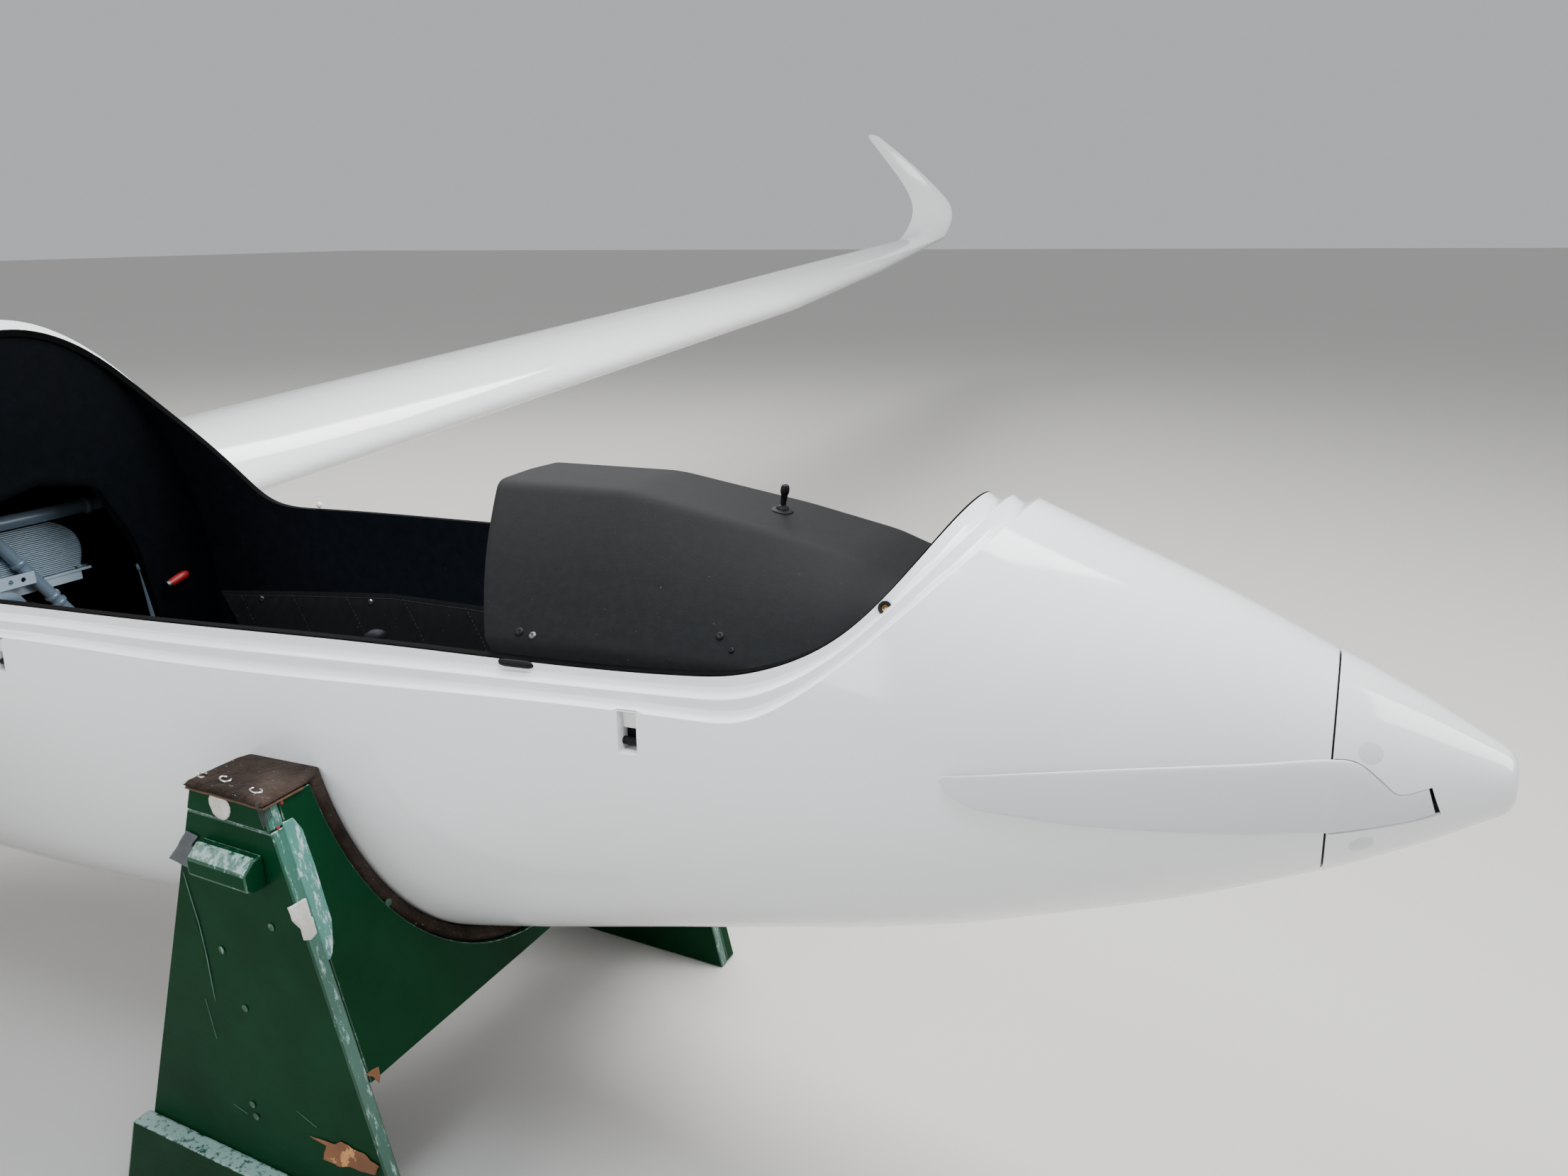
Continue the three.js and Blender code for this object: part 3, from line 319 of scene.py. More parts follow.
def piece(name, parts, material, body="airframe", replaces=(), bevel=None, sharp=40,
          whole=False, edge_material=None, second=None):
    """Makes one mesh object of all parts: joins equal points, turns each part's faces outwards by the
    sign of the volume seen from its middle, and lets it ride on its body. With whole, the parts are
    patches of one closed skin, which is turned outwards as one. The rounded edges may have their own
    material, and so may the faces that look along a direction, given with its least cosine."""
    parts = parts if isinstance(parts, list) else [parts]
    points, faces = [], []
    for part_points, part_faces in parts:
        base = sum(len(p) for p in points)
        volume = 0.0
        middle = part_points.mean(0)
        for face in part_faces:
            corner = part_points[face] - middle
            for k in range(1, face.shape[1] - 1):
                volume += np.einsum("ij,ij->", corner[:, 0],
                                    np.cross(corner[:, k], corner[:, k + 1]))
        turn = not whole and volume < 0
        points.append(part_points)
        faces += [(face[:, ::-1] if turn else face) + base for face in part_faces]
    points = np.concatenate(points)
    keys = np.round(points / WELD).astype(np.int64)
    _, first, group = np.unique(keys, axis=0, return_index=True, return_inverse=True)
    points, group = points[first], group.reshape(-1)
    loops, sizes = [], []
    for face in faces:
        face = group[face]
        same = face == np.roll(face, -1, 1)
        intact = face[~same.any(1)]
        loops.append(intact.reshape(-1))
        sizes.append(np.full(len(intact), face.shape[1]))
        if face.shape[1] == 4:
            pinched = face[same.sum(1) == 1]
            keep = ~(pinched == np.roll(pinched, -1, 1))
            loops.append(pinched[keep])
            sizes.append(np.full(len(pinched), 3))
    loops, sizes = np.concatenate(loops), np.concatenate(sizes)
    mesh = bpy.data.meshes.new(name)
    mesh.vertices.add(len(points))
    mesh.vertices.foreach_set("co", points.astype(np.float32).reshape(-1))
    mesh.loops.add(len(loops))
    mesh.loops.foreach_set("vertex_index", loops.astype(np.int32))
    mesh.polygons.add(len(sizes))
    starts = np.concatenate([[0], np.cumsum(sizes)[:-1]]).astype(np.int32)
    mesh.polygons.foreach_set("loop_start", starts)
    mesh.polygons.foreach_set("use_smooth", np.full(len(sizes), True))
    mesh.update(calc_edges=True)
    mesh.validate()
    if whole:
        skin = bmesh.new()
        skin.from_mesh(mesh)
        bmesh.ops.recalc_face_normals(skin, faces=skin.faces)
        skin.to_mesh(mesh)
        skin.free()
    if sharp:
        mesh.set_sharp_from_angle(angle=math.radians(sharp))
    made = bpy.data.objects.new(name, mesh)
    bpy.context.scene.collection.objects.link(made)
    mesh.materials.append(material)
    if edge_material:
        mesh.materials.append(edge_material)
    if second:
        mesh.materials.append(second[0])
        normals = np.zeros(len(mesh.polygons) * 3)
        mesh.polygons.foreach_get("normal", normals)
        limit = np.array(second[1])
        turned = (normals.reshape(-1, 3) * np.sign(limit) >= np.abs(limit) - 1e-9)[:, limit != 0].all(1)
        index = np.where(turned, len(mesh.materials) - 1, 0).astype(np.int32)
        mesh.polygons.foreach_set("material_index", index)
    if bevel:
        edge = made.modifiers.new("rounded_edges", "BEVEL")
        edge.width, edge.segments, edge.limit_method = bevel, 2, "ANGLE"
        edge.angle_limit = BEVEL_ANGLE
        edge.material = 1 if edge_material else -1
    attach(made, body)
    if replaces:
        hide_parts(*([replaces] if isinstance(replaces, str) else replaces))
    return made


def turned_outwards(made, inward=False):
    """Turns an open shell of the fuselage by the side its faces show to the fuselage's axis."""
    mesh = made.data
    count = len(mesh.polygons)
    centre, normal = np.zeros(count * 3), np.zeros(count * 3)
    mesh.polygons.foreach_get("center", centre)
    mesh.polygons.foreach_get("normal", normal)
    centre, normal = centre.reshape(-1, 3), normal.reshape(-1, 3)
    area = np.zeros(count)
    mesh.polygons.foreach_get("area", area)
    lift = NOSE_HEIGHT + (centre[:, 0] - NOSE_FORWARD) * math.tan(PITCH)
    out = centre - np.stack([centre[:, 0], 0 * lift, lift], -1)
    facing = (area * np.einsum("ij,ij->i", out, normal)).sum()
    if (facing < 0) != inward:
        mesh.flip_normals()
    return made


# Finishes.


def node(tree, kind, links=None, **settings):
    """Adds a shader node: settings are its own values, links its sockets' values or sources."""
    made = tree.nodes.new(kind)
    for key, value in settings.items():
        setattr(made, key, value)
    for key, value in (links or {}).items():
        if isinstance(value, bpy.types.NodeSocket):
            tree.links.new(value, made.inputs[key])
        else:
            made.inputs[key].default_value = value
    return made


def noise(tree, where, scale, detail=3.0, rough=0.55, distortion=0.0):
    return node(tree, "ShaderNodeTexNoise", {"Vector": where, "Scale": scale, "Detail": detail,
                                             "Roughness": rough, "Distortion": distortion}).outputs["Fac"]


def between(tree, value, low, high, to_low=0.0, to_high=1.0):
    """A smooth step of a value from one limit to the other."""
    made = node(tree, "ShaderNodeMapRange", {"Value": value, "From Min": low, "From Max": high,
                                             "To Min": to_low, "To Max": to_high},
                interpolation_type="SMOOTHSTEP")
    return made.outputs["Result"]


def sums(tree, operation, a, b=0.0):
    return node(tree, "ShaderNodeMath", {0: a, 1: b}, operation=operation).outputs[0]


def mixed(tree, share, first, second):
    made = node(tree, "ShaderNodeMix", data_type="RGBA")
    for index, value in ((0, share), (6, first), (7, second)):
        if isinstance(value, bpy.types.NodeSocket):
            tree.links.new(value, made.inputs[index])
        else:
            made.inputs[index].default_value = value
    return made.outputs[2]


def stretched(tree, where, scale, turn=(0, 0, 0)):
    made = node(tree, "ShaderNodeMapping", {"Vector": where, "Rotation": turn, "Scale": scale})
    return made.outputs["Vector"]


def effect(name, inputs, outputs, fill):
    """A shader node group with named sockets; fill() adds its nodes and returns the outputs."""
    tree = bpy.data.node_groups.new(name, "ShaderNodeTree")
    for socket, kind, value in inputs:
        made = tree.interface.new_socket(socket, in_out="INPUT", socket_type="NodeSocket" + kind)
        if value is not None:
            made.default_value = value
    for socket, kind in outputs:
        tree.interface.new_socket(socket, in_out="OUTPUT", socket_type="NodeSocket" + kind)
    entry = tree.nodes.new("NodeGroupInput").outputs
    leave = tree.nodes.new("NodeGroupOutput")
    for socket, value in fill(tree, {s.name: s for s in entry if s.name}).items():
        tree.links.new(value, leave.inputs[socket])
    return tree


def use(tree, group, where, **values):
    made = node(tree, "ShaderNodeGroup")
    made.node_tree = group
    tree.links.new(where, made.inputs["Vector"])
    for key, value in values.items():
        key = key.replace("_", " ")
        if isinstance(value, bpy.types.NodeSocket):
            tree.links.new(value, made.inputs[key])
        else:
            made.inputs[key].default_value = value
    return made.outputs


def handled_fill(tree, entry):
    """Dust and finger marks: slow blotches times fine specks."""
    where = entry["Vector"]
    blotch = between(tree, noise(tree, where, 3.2, 5, 0.62), 0.45, 0.72)
    speck = between(tree, noise(tree, where, 190.0, 2), 0.63, 0.74)
    film = sums(tree, "MULTIPLY", blotch, entry["Dust"])
    specks = sums(tree, "MULTIPLY", speck, sums(tree, "MULTIPLY", entry["Dust"], 0.5))
    share = sums(tree, "MAXIMUM", film, specks)
    rough = sums(tree, "ADD", entry["Roughness"], sums(tree, "MULTIPLY", share, entry["Dulling"]))
    colour = mixed(tree, share, entry["Colour"], entry["Dust Colour"])
    peel = noise(tree, where, 95.0, 1)
    wave = noise(tree, where, 2.4, 1)
    height = sums(tree, "ADD", sums(tree, "MULTIPLY", peel, 0.06), wave)
    return {"Colour": colour, "Roughness": rough, "Height": height}


HANDLED = effect("handled_gloss", [
    ("Vector", "Vector", None), ("Colour", "Color", (0.8, 0.8, 0.8, 1)),
    ("Dust Colour", "Color", (0.5, 0.47, 0.42, 1)), ("Dust", "Float", 0.1),
    ("Roughness", "Float", 0.15), ("Dulling", "Float", 0.3),
], [("Colour", "Color"), ("Roughness", "Float"), ("Height", "Float")], handled_fill)


def worn_fill(tree, entry):
    """Brush-painted wood: paint streaks, scuffs where it is handled, chips down to bare wood."""
    where = entry["Vector"]
    across = stretched(tree, where, (6.0, 6.0, 40.0))
    streak = noise(tree, across, 4.0, 4, 0.6)
    grime = noise(tree, where, 5.0, 5, 0.6)
    paint = mixed(tree, between(tree, grime, 0.35, 0.75), entry["Colour"], entry["Deep Colour"])
    scratch = noise(tree, stretched(tree, where, (14.0, 14.0, 3.0), (0.4, 0.5, 0.2)), 9.0, 8, 0.75)
    facing = node(tree, "ShaderNodeVectorMath", {0: node(tree, "ShaderNodeNewGeometry").outputs["Normal"],
                                                 1: entry["Worn Side"]}, operation="DOT_PRODUCT")
    exposed = between(tree, facing.outputs["Value"], 0.55, 0.95)
    wear = sums(tree, "ADD", sums(tree, "MULTIPLY", exposed, entry["Wear"]), entry["Wear All"])
    limit = sums(tree, "SUBTRACT", 0.71, wear)
    over = sums(tree, "SUBTRACT", scratch, limit)
    scuff = between(tree, over, 0.0, 0.09)
    scuffed = mixed(tree, sums(tree, "MULTIPLY", scuff, 0.75), paint, entry["Scuff Colour"])
    chip_noise = noise(tree, where, 16.0, 7, 0.68, 0.6)
    chip = between(tree, chip_noise, entry["Chip Limit"], sums(tree, "ADD", entry["Chip Limit"], 0.012))
    grain = noise(tree, stretched(tree, where, (3.0, 60.0, 60.0)), 6.0, 4, 0.6)
    wood = mixed(tree, grain, (0.38, 0.15, 0.045, 1), (0.62, 0.33, 0.13, 1))
    colour = mixed(tree, chip, scuffed, wood)
    rough = sums(tree, "ADD", sums(tree, "MULTIPLY", scuff, 0.25), sums(tree, "MULTIPLY", chip, 0.3))
    rough = sums(tree, "ADD", sums(tree, "ADD", rough, entry["Roughness"]),
                 sums(tree, "MULTIPLY", grime, 0.12))
    low = sums(tree, "MULTIPLY", chip, -0.7)
    height = sums(tree, "ADD", sums(tree, "MULTIPLY", streak, 0.25), low)
    height = sums(tree, "ADD", height, sums(tree, "MULTIPLY", scuff, 0.08))
    return {"Colour": colour, "Roughness": rough, "Height": height}


WORN = effect("worn_brush_paint", [
    ("Vector", "Vector", None), ("Colour", "Color", (0.01, 0.06, 0.03, 1)),
    ("Deep Colour", "Color", (0.006, 0.04, 0.018, 1)), ("Scuff Colour", "Color", (0.2, 0.35, 0.3, 1)),
    ("Worn Side", "Vector", (0, 0, 1)), ("Wear", "Float", 0.15), ("Wear All", "Float", 0.0),
    ("Chip Limit", "Float", 0.72),
    ("Roughness", "Float", 0.35),
], [("Colour", "Color"), ("Roughness", "Float"), ("Height", "Float")], worn_fill)


def drawn_fill(tree, entry):
    """Drawn or brushed metal: long fine lines along one direction, with a few marks."""
    where = entry["Vector"]
    lines = noise(tree, stretched(tree, where, (2.0, 130.0, 130.0), (0, 0, 1.5708)), 6.0, 3, 0.6)
    marks = between(tree, noise(tree, where, 30.0, 5, 0.7), 0.62, 0.7)
    rough = sums(tree, "ADD", entry["Roughness"], sums(tree, "MULTIPLY", lines, 0.12))
    rough = sums(tree, "ADD", rough, sums(tree, "MULTIPLY", marks, 0.15))
    colour = mixed(tree, sums(tree, "MULTIPLY", marks, 0.45), entry["Colour"], entry["Mark Colour"])
    return {"Colour": colour, "Roughness": rough, "Height": lines}


DRAWN = effect("drawn_metal", [
    ("Vector", "Vector", None), ("Colour", "Color", (0.5, 0.5, 0.5, 1)),
    ("Mark Colour", "Color", (0.2, 0.2, 0.2, 1)), ("Roughness", "Float", 0.3),
], [("Colour", "Color"), ("Roughness", "Float"), ("Height", "Float")], drawn_fill)


def pebbled_fill(tree, entry):
    """Fine pebbled or fibrous surface: two sizes of noise, with lint and lighter wear."""
    where = entry["Vector"]
    fine = noise(tree, where, entry["Scale"], 3, 0.6)
    coarse = noise(tree, where, sums(tree, "MULTIPLY", entry["Scale"], 0.12), 4, 0.6)
    tone = between(tree, coarse, 0.3, 0.75)
    colour = mixed(tree, tone, entry["Colour"], entry["Second Colour"])
    lint = between(tree, noise(tree, stretched(tree, where, (1.0, 2.4, 1.0)), 150.0, 2), 0.72, 0.78)
    colour = mixed(tree, sums(tree, "MULTIPLY", lint, entry["Lint"]), colour, (0.5, 0.49, 0.47, 1))
    rough = sums(tree, "ADD", entry["Roughness"], sums(tree, "MULTIPLY", coarse, 0.12))
    height = sums(tree, "ADD", fine, sums(tree, "MULTIPLY", coarse, 0.6))
    return {"Colour": colour, "Roughness": rough, "Height": height}


PEBBLED = effect("pebbled_surface", [
    ("Vector", "Vector", None), ("Colour", "Color", (0.02, 0.02, 0.02, 1)),
    ("Second Colour", "Color", (0.03, 0.03, 0.03, 1)), ("Scale", "Float", 300.0),
    ("Roughness", "Float", 0.7), ("Lint", "Float", 0.3),
], [("Colour", "Color"), ("Roughness", "Float"), ("Height", "Float")], pebbled_fill)


def finish_of(name, group, bump, distance=0.001, **values):
    """A material: the effect's colour, roughness and bump into one shader. Names that begin with a
    capital are the shader's own constant sockets, the others are the effect's."""
    made = bpy.data.materials.new(name)
    made.use_nodes = True
    tree = made.node_tree
    shader = tree.nodes["Principled BSDF"]
    own = {key: value for key, value in values.items() if key[0].islower()}
    for key, value in values.items():
        if key[0].isupper():
            shader.inputs[key.replace("_", " ")].default_value = value
    where = node(tree, "ShaderNodeTexCoord").outputs["Object"]
    out = use(tree, group, where, **{key.title(): value for key, value in own.items()})
    tree.links.new(out["Colour"], shader.inputs["Base Color"])
    tree.links.new(out["Roughness"], shader.inputs["Roughness"])
    relief = node(tree, "ShaderNodeBump", {"Strength": bump, "Distance": distance,
                                           "Height": out["Height"]})
    tree.links.new(relief.outputs["Normal"], shader.inputs["Normal"])
    return made


GELCOAT = finish_of("gelcoat", HANDLED, 0.12, 0.0012, colour=(0.83, 0.835, 0.84, 1),
                    dust_colour=(0.62, 0.6, 0.56, 1), dust=0.10, roughness=0.11, dulling=0.22,
                    Coat_Weight=0.35, Coat_Roughness=0.05, Specular_IOR_Level=0.5)
BLADE_PAINT = finish_of("blade_paint", HANDLED, 0.1, 0.001, colour=(0.66, 0.67, 0.69, 1),
                        dust_colour=(0.6, 0.58, 0.55, 1), dust=0.12, roughness=0.36, dulling=0.2)
PLUG_PAINT = finish_of("plug_filler", HANDLED, 0.1, 0.001, colour=(0.66, 0.67, 0.7, 1),
                       dust_colour=(0.5, 0.5, 0.5, 1), dust=0.1, roughness=0.3, dulling=0.2)
LINER_BLACK = finish_of("liner_black", PEBBLED, 0.25, 0.0008, colour=(0.0032, 0.0042, 0.0065, 1),
                        second_colour=(0.005, 0.0065, 0.0095, 1), scale=420.0, roughness=0.5,
                        lint=0.03, Specular_IOR_Level=0.1)
TRIM_BLACK = finish_of("trim_rubber", PEBBLED, 0.3, 0.0006, colour=(0.0025, 0.0025, 0.0026, 1),
                       second_colour=(0.0050, 0.0050, 0.0052, 1), scale=500.0, roughness=0.5,
                       lint=0.06, Specular_IOR_Level=0.16)
EDGE_BLACK = finish_of("edge_rubber", PEBBLED, 0.2, 0.0006, colour=(0.0012, 0.0012, 0.0014, 1),
                       second_colour=(0.0022, 0.0022, 0.0024, 1), scale=500.0, roughness=0.65,
                       lint=0.02, Specular_IOR_Level=0.03)
# A darker copy of liner_black for the bulkhead: painted shade that keeps it dark under the cockpit lamp.
BULKHEAD_SHADED_BLACK = finish_of("bulkhead_black_painted_shade", PEBBLED, 0.25, 0.0008, colour=(0.0010, 0.0016, 0.0026, 1),
                           second_colour=(0.0018, 0.0026, 0.0040, 1), scale=420.0, roughness=0.5,
                           lint=0.02, Specular_IOR_Level=0.05)
HOOD_CHARCOAL = finish_of("hood_charcoal", PEBBLED, 0.35, 0.0007, colour=(0.0052, 0.0056, 0.0062, 1),
                          second_colour=(0.0078, 0.0082, 0.0090, 1), scale=900.0, roughness=0.56,
                          lint=0.06, Specular_IOR_Level=0.10)
UPHOLSTERY = finish_of("upholstery_cloth", PEBBLED, 0.6, 0.0012, colour=(0.0028, 0.0028, 0.0034, 1),
                       second_colour=(0.0052, 0.0052, 0.006, 1), scale=1200.0, roughness=0.78,
                       lint=0.12, Specular_IOR_Level=0.2, Sheen_Weight=0.05, Sheen_Roughness=0.5)
THREAD = finish_of("stitch_thread", PEBBLED, 0.4, 0.0005, colour=(0.045, 0.048, 0.055, 1),
                   second_colour=(0.065, 0.07, 0.075, 1), scale=1500.0, roughness=0.7, lint=0.0)
FELT = finish_of("dark_felt", PEBBLED, 1.0, 0.006, colour=(0.014, 0.0085, 0.0062, 1),
                 second_colour=(0.060, 0.042, 0.033, 1), scale=90.0, roughness=0.9, lint=0.75,
                 Sheen_Weight=0.03, Sheen_Roughness=0.6, Specular_IOR_Level=0.03)
FELT_EDGE = finish_of("felt_glue_edge", PEBBLED, 0.8, 0.003, colour=(0.12, 0.058, 0.026, 1),
                      second_colour=(0.05, 0.03, 0.018, 1), scale=220.0, roughness=0.8, lint=0.5)
GREEN_PAINT = finish_of("green_board_paint", WORN, 0.5, 0.0016, colour=(0.0012, 0.034, 0.0115, 1),
                        deep_colour=(0.0006, 0.021, 0.006, 1), scuff_colour=(0.035, 0.12, 0.075, 1),
                        worn_side=(0.0, 0.0, 1.0), wear=0.2, chip_limit=0.77, roughness=0.36,
                        Specular_IOR_Level=0.05)
BARE_WOOD = finish_of("bare_wood", WORN, 0.6, 0.0012, colour=(0.25, 0.10, 0.034, 1),
                      deep_colour=(0.11, 0.040, 0.014, 1), scuff_colour=(0.42, 0.24, 0.12, 1),
                      worn_side=(0, 0, 1), wear=0.05, chip_limit=0.6, roughness=0.7)
BLUE_TUBE = finish_of("blue_grey_tube", HANDLED, 0.25, 0.0006, colour=(0.20, 0.27, 0.34, 1),
                      dust_colour=(0.3, 0.3, 0.3, 1), dust=0.15, roughness=0.3, dulling=0.2,
                      Metallic=0.25, Coat_Weight=0.3, Coat_Roughness=0.15)
# Aluminium with a bright bluish base colour: the metal's grey plus a painted reflection of bluish light.
ALUMINIUM_BLUE_REFLECTION = finish_of("aluminium_painted_blue_reflection", DRAWN, 0.2, 0.0004, colour=(0.56, 0.68, 0.78, 1),
                          mark_colour=(0.48, 0.58, 0.68, 1), roughness=0.28, Metallic=0.35)
STEEL = finish_of("dark_steel", DRAWN, 0.25, 0.0004, colour=(0.12, 0.125, 0.13, 1),
                  mark_colour=(0.05, 0.05, 0.05, 1), roughness=0.35, Metallic=1.0)
BRIGHT_STEEL = finish_of("bright_fastener", DRAWN, 0.2, 0.0003, colour=(0.58, 0.58, 0.57, 1),
                         mark_colour=(0.3, 0.3, 0.3, 1), roughness=0.22, Metallic=1.0)
BRASS = finish_of("brass_bush", DRAWN, 0.2, 0.0003, colour=(0.26, 0.15, 0.055, 1),
                  mark_colour=(0.2, 0.12, 0.05, 1), roughness=0.3, Metallic=1.0)
TYRE = finish_of("tyre_rubber", PEBBLED, 0.5, 0.001, colour=(0.012, 0.012, 0.012, 1),
                 second_colour=(0.028, 0.026, 0.024, 1), scale=350.0, roughness=0.75, lint=0.2)
GREY_TAPE = finish_of("grey_tape", PEBBLED, 0.5, 0.0008, colour=(0.045, 0.052, 0.06, 1),
                      second_colour=(0.07, 0.078, 0.088, 1), scale=700.0, roughness=0.42, lint=0.15)
PAPER = finish_of("blank_label", PEBBLED, 0.7, 0.0012, colour=(0.60, 0.58, 0.53, 1),
                  second_colour=(0.40, 0.38, 0.34, 1), scale=160.0, roughness=0.55, lint=0.0)
RED_GRIP = finish_of("red_handle", HANDLED, 0.2, 0.0005, colour=(0.30, 0.006, 0.010, 1),
                     dust_colour=(0.2, 0.05, 0.05, 1), dust=0.15, roughness=0.35, dulling=0.2)
SEAL_WHITE = finish_of("seal_tape", HANDLED, 0.2, 0.0006, colour=(0.78, 0.78, 0.76, 1),
                       dust_colour=(0.45, 0.42, 0.38, 1), dust=0.3, roughness=0.4, dulling=0.2)


# Fuselage.

LOW_TURN = math.radians(-73.85)


def hull_grid(inset, share, front, behind, columns=(36, 250), rows=(7, 58)):
    """The fuselage's skin with the canopy opening left out, as one grid. Columns run from the belly
    up to the top or to the opening's edge. Beside the opening a column starts under the belly at its
    own station and bends, by a smooth step, to the edge point that it ends at."""
    edge = seat_row(share, inset, columns[1] + 1)
    first, last = edge[0, 0], edge[-1, 0]
    nose = np.linspace(front, first, columns[0])
    belly = np.concatenate([nose, first + (last - first) * np.linspace(0, 1, columns[1] + 1)[1:],
                            behind[behind > last + 1e-3]])
    top = belly.copy()
    top[columns[0] - 1:columns[0] + columns[1]] = edge[:, 0]
    reach = np.full(len(belly), np.pi / 2)
    values = hull_values(edge[1:-1, 0])
    lift = (edge[1:-1, 2] - values[:, 1]) / (values[:, 2] - values[:, 1] - inset)
    reach[columns[0]:columns[0] + columns[1] - 1] = np.arcsin(np.clip(lift, 0, 1) ** (values[:, 4] / 2))
    low = np.linspace(-np.pi / 2, LOW_TURN, rows[0] + 1)
    share_up = np.linspace(0, 1, rows[1] + 1)[1:]
    turn = np.concatenate([np.broadcast_to(low, (len(belly), len(low))),
                           LOW_TURN + share_up * (reach[:, None] - LOW_TURN)], 1)
    lean = smoother((turn + np.pi / 2) / (reach[:, None] + np.pi / 2))
    station = belly[:, None] * (1 - lean) + top[:, None] * lean
    port = hull_point(station, turn, inset)
    port[columns[0] - 1:columns[0] + columns[1], -1] = edge
    whole = np.concatenate([port[:, ::-1] * [1, -1, 1], port[:, 1:]], 1)
    return whole, belly, edge


def notched(grid, station, low, high, width, side):
    """Moves the nearest skin points to an upright rectangle on the flank, so that its cells can be
    left out for a catch pocket. Gives the first and last row and column and the rectangle's rim."""
    def nearest(s, z):
        reach = np.hypot(grid[..., 0] - s, grid[..., 2] - z) + 9.0 * (grid[..., 1] * side < 0.05)
        return np.unravel_index(np.argmin(reach), reach.shape)

    (i0, j0), (i1, _) = nearest(station - width / 2, low), nearest(station + width / 2, low)
    (_, j1) = nearest(station - width / 2, high)
    zs = (low, high) if j1 > j0 else (high, low)
    j0, j1 = min(j0, j1), max(j0, j1)
    i1, j1 = max(i1, i0 + 2), max(j1, j0 + 3)
    s = np.linspace(station - width / 2, station + width / 2, i1 - i0 + 1)[:, None]
    z = np.linspace(*zs, j1 - j0 + 1)[None]
    patch = np.stack([s + 0 * z, side * hull_width(s + 0 * z, z + 0 * s), z + 0 * s], -1)
    grid[i0:i1 + 1, j0:j1 + 1] = patch
    rim = np.concatenate([patch[:-1, 0], patch[-1, :-1], patch[:0:-1, -1], patch[0, :0:-1]])
    return (i0, i1, j0, j1), rim


def without_bay(part, belly, around, rows, pockets=()):
    """Leaves out the quads over the wheel bay and the pockets, and gives the bay's rim."""
    points, (quads,) = part
    column, row = quads[:, 0] // around, quads[:, 0] % around
    start, stop = np.searchsorted(belly, BAY_FRONT), np.argmin(np.abs(belly - BAY_REAR))
    middle = around // 2
    inside = ((column >= start) & (column < stop) & (row >= middle - rows) & (row < middle + rows))
    for i0, i1, j0, j1 in pockets:
        inside |= (column >= i0) & (column < i1) & (row >= j0) & (row < j1)
    grid = points.reshape(-1, around, 3)
    rim = np.concatenate([grid[start:stop + 1, middle - rows], grid[stop, middle - rows + 1:middle + rows],
                          grid[start:stop + 1, middle + rows][::-1],
                          grid[start, middle - rows + 1:middle + rows][::-1]])
    return (points, [quads[~inside]]), rim


# The skin, with the pockets of the canopy catches and the wheel bay left out.
behind = np.concatenate([np.linspace(2.06, 2.46, 32), np.linspace(2.46, 3.2, 29)[1:],
                         np.linspace(3.2, SHELL_END, 84)[1:]])
skin, belly, edge = hull_grid(0.0, 0.0, NOSE_START, behind)
around = skin.shape[1]
CATCHES = ((0.768, 0.011, 0.057), (1.690, 0.008, 0.052))
pockets = [notched(skin, *where, 0.021, side) for where in CATCHES for side in (1, -1)]
skin_part, bay_rim = without_bay(grid_part(skin), belly, around, 7, [cells for cells, _ in pockets])
tail_ring = skin[-1]
tail_cap = np.stack([tail_ring, np.broadcast_to(tail_ring.mean(0), tail_ring.shape)])
lip_rows = [(NOSE_START, 0.0), (NOSE_START - 0.0006, 0.0006), (NOSE_START - 0.0006, 0.0095),
            (NOSE_START + 0.001, 0.0105), (0.168, 0.0105)]
lip = []
for station, inset in lip_rows:
    scale = (0.105 - inset) / 0.105
    ring = skin[0] * [0, scale, scale]
    ring[:, 0] = station
    lip.append(ring)
bay_wall = np.stack([bay_rim, bay_rim * [1, 0.97, 1] + [0, 0, WALL]])
pocket_walls = []
for _, rim in pockets:
    inwards = np.array([0, -np.sign(rim[0, 1]), 0])
    middle = rim.mean(0)
    pocket_walls.append(grid_part(np.stack([rim, rim + (middle - rim) * 0.03 + inwards * 0.0008,
                                            rim + (middle - rim) * 0.05 + inwards * 0.006,
                                            rim + (middle - rim) * 0.06 + inwards * 0.017]),
                                  round_columns=True))
bay_side = grid_part(bay_wall, round_columns=True)
fuselage_parts = pocket_walls + [skin_part, grid_part(np.stack(lip)), grid_part(tail_cap), bay_side]
fuselage = piece("fuselage_skin", placed(fuselage_parts), GELCOAT,
                 replaces=("cockpit_shell", "centre_section", "tail_boom"), sharp=55)
turned_outwards(fuselage)


def catch_parts(station, low, high, side):
    """A canopy catch's pocket: a white slope above, a dark well with a pin across it below."""
    half, y = 0.0104, side * (float(hull_width(station, (low + high) / 2)) - 0.0165)
    split = low + (high - low) * 0.52

    def block(first, last, foot, head):
        return box_part([station - half, min(first, last), foot], [station + half, max(first, last), head])

    slope = block(y, y + side * 0.008, split, high)
    well = block(y - side * 0.002, y + side * 0.001, low - 0.001, split)
    pin_y, pin_z = y + side * 0.0075, low + 0.010
    return slope, well, rod([station - half, pin_y, pin_z], [station + half, pin_y, pin_z], 0.0042)


slopes, wells, pins = zip(*(catch_parts(*where, side) for where in CATCHES for side in (1, -1)))
piece("catch_slopes", placed(slopes), SEAL_WHITE, bevel=0.0015)
piece("catch_wells", placed(wells), LINER_BLACK, bevel=0.0003)
piece("catch_pins", placed(pins), TRIM_BLACK)
# A black ring just under the surface in the gap between the spinner and the hull: painted shade that makes
# the gap read dark.
GAP_SHADE_RING = [[0.1464, 0.070], [0.1464, 0.1008], [0.1476, 0.1010], [0.1476, 0.070]]
piece("nose_gap_painted_shade_ring", place(turned_part((0, 0, 0), (1, 0, 0), GAP_SHADE_RING, 120)), LINER_BLACK)

SEAT_COLUMNS = 250
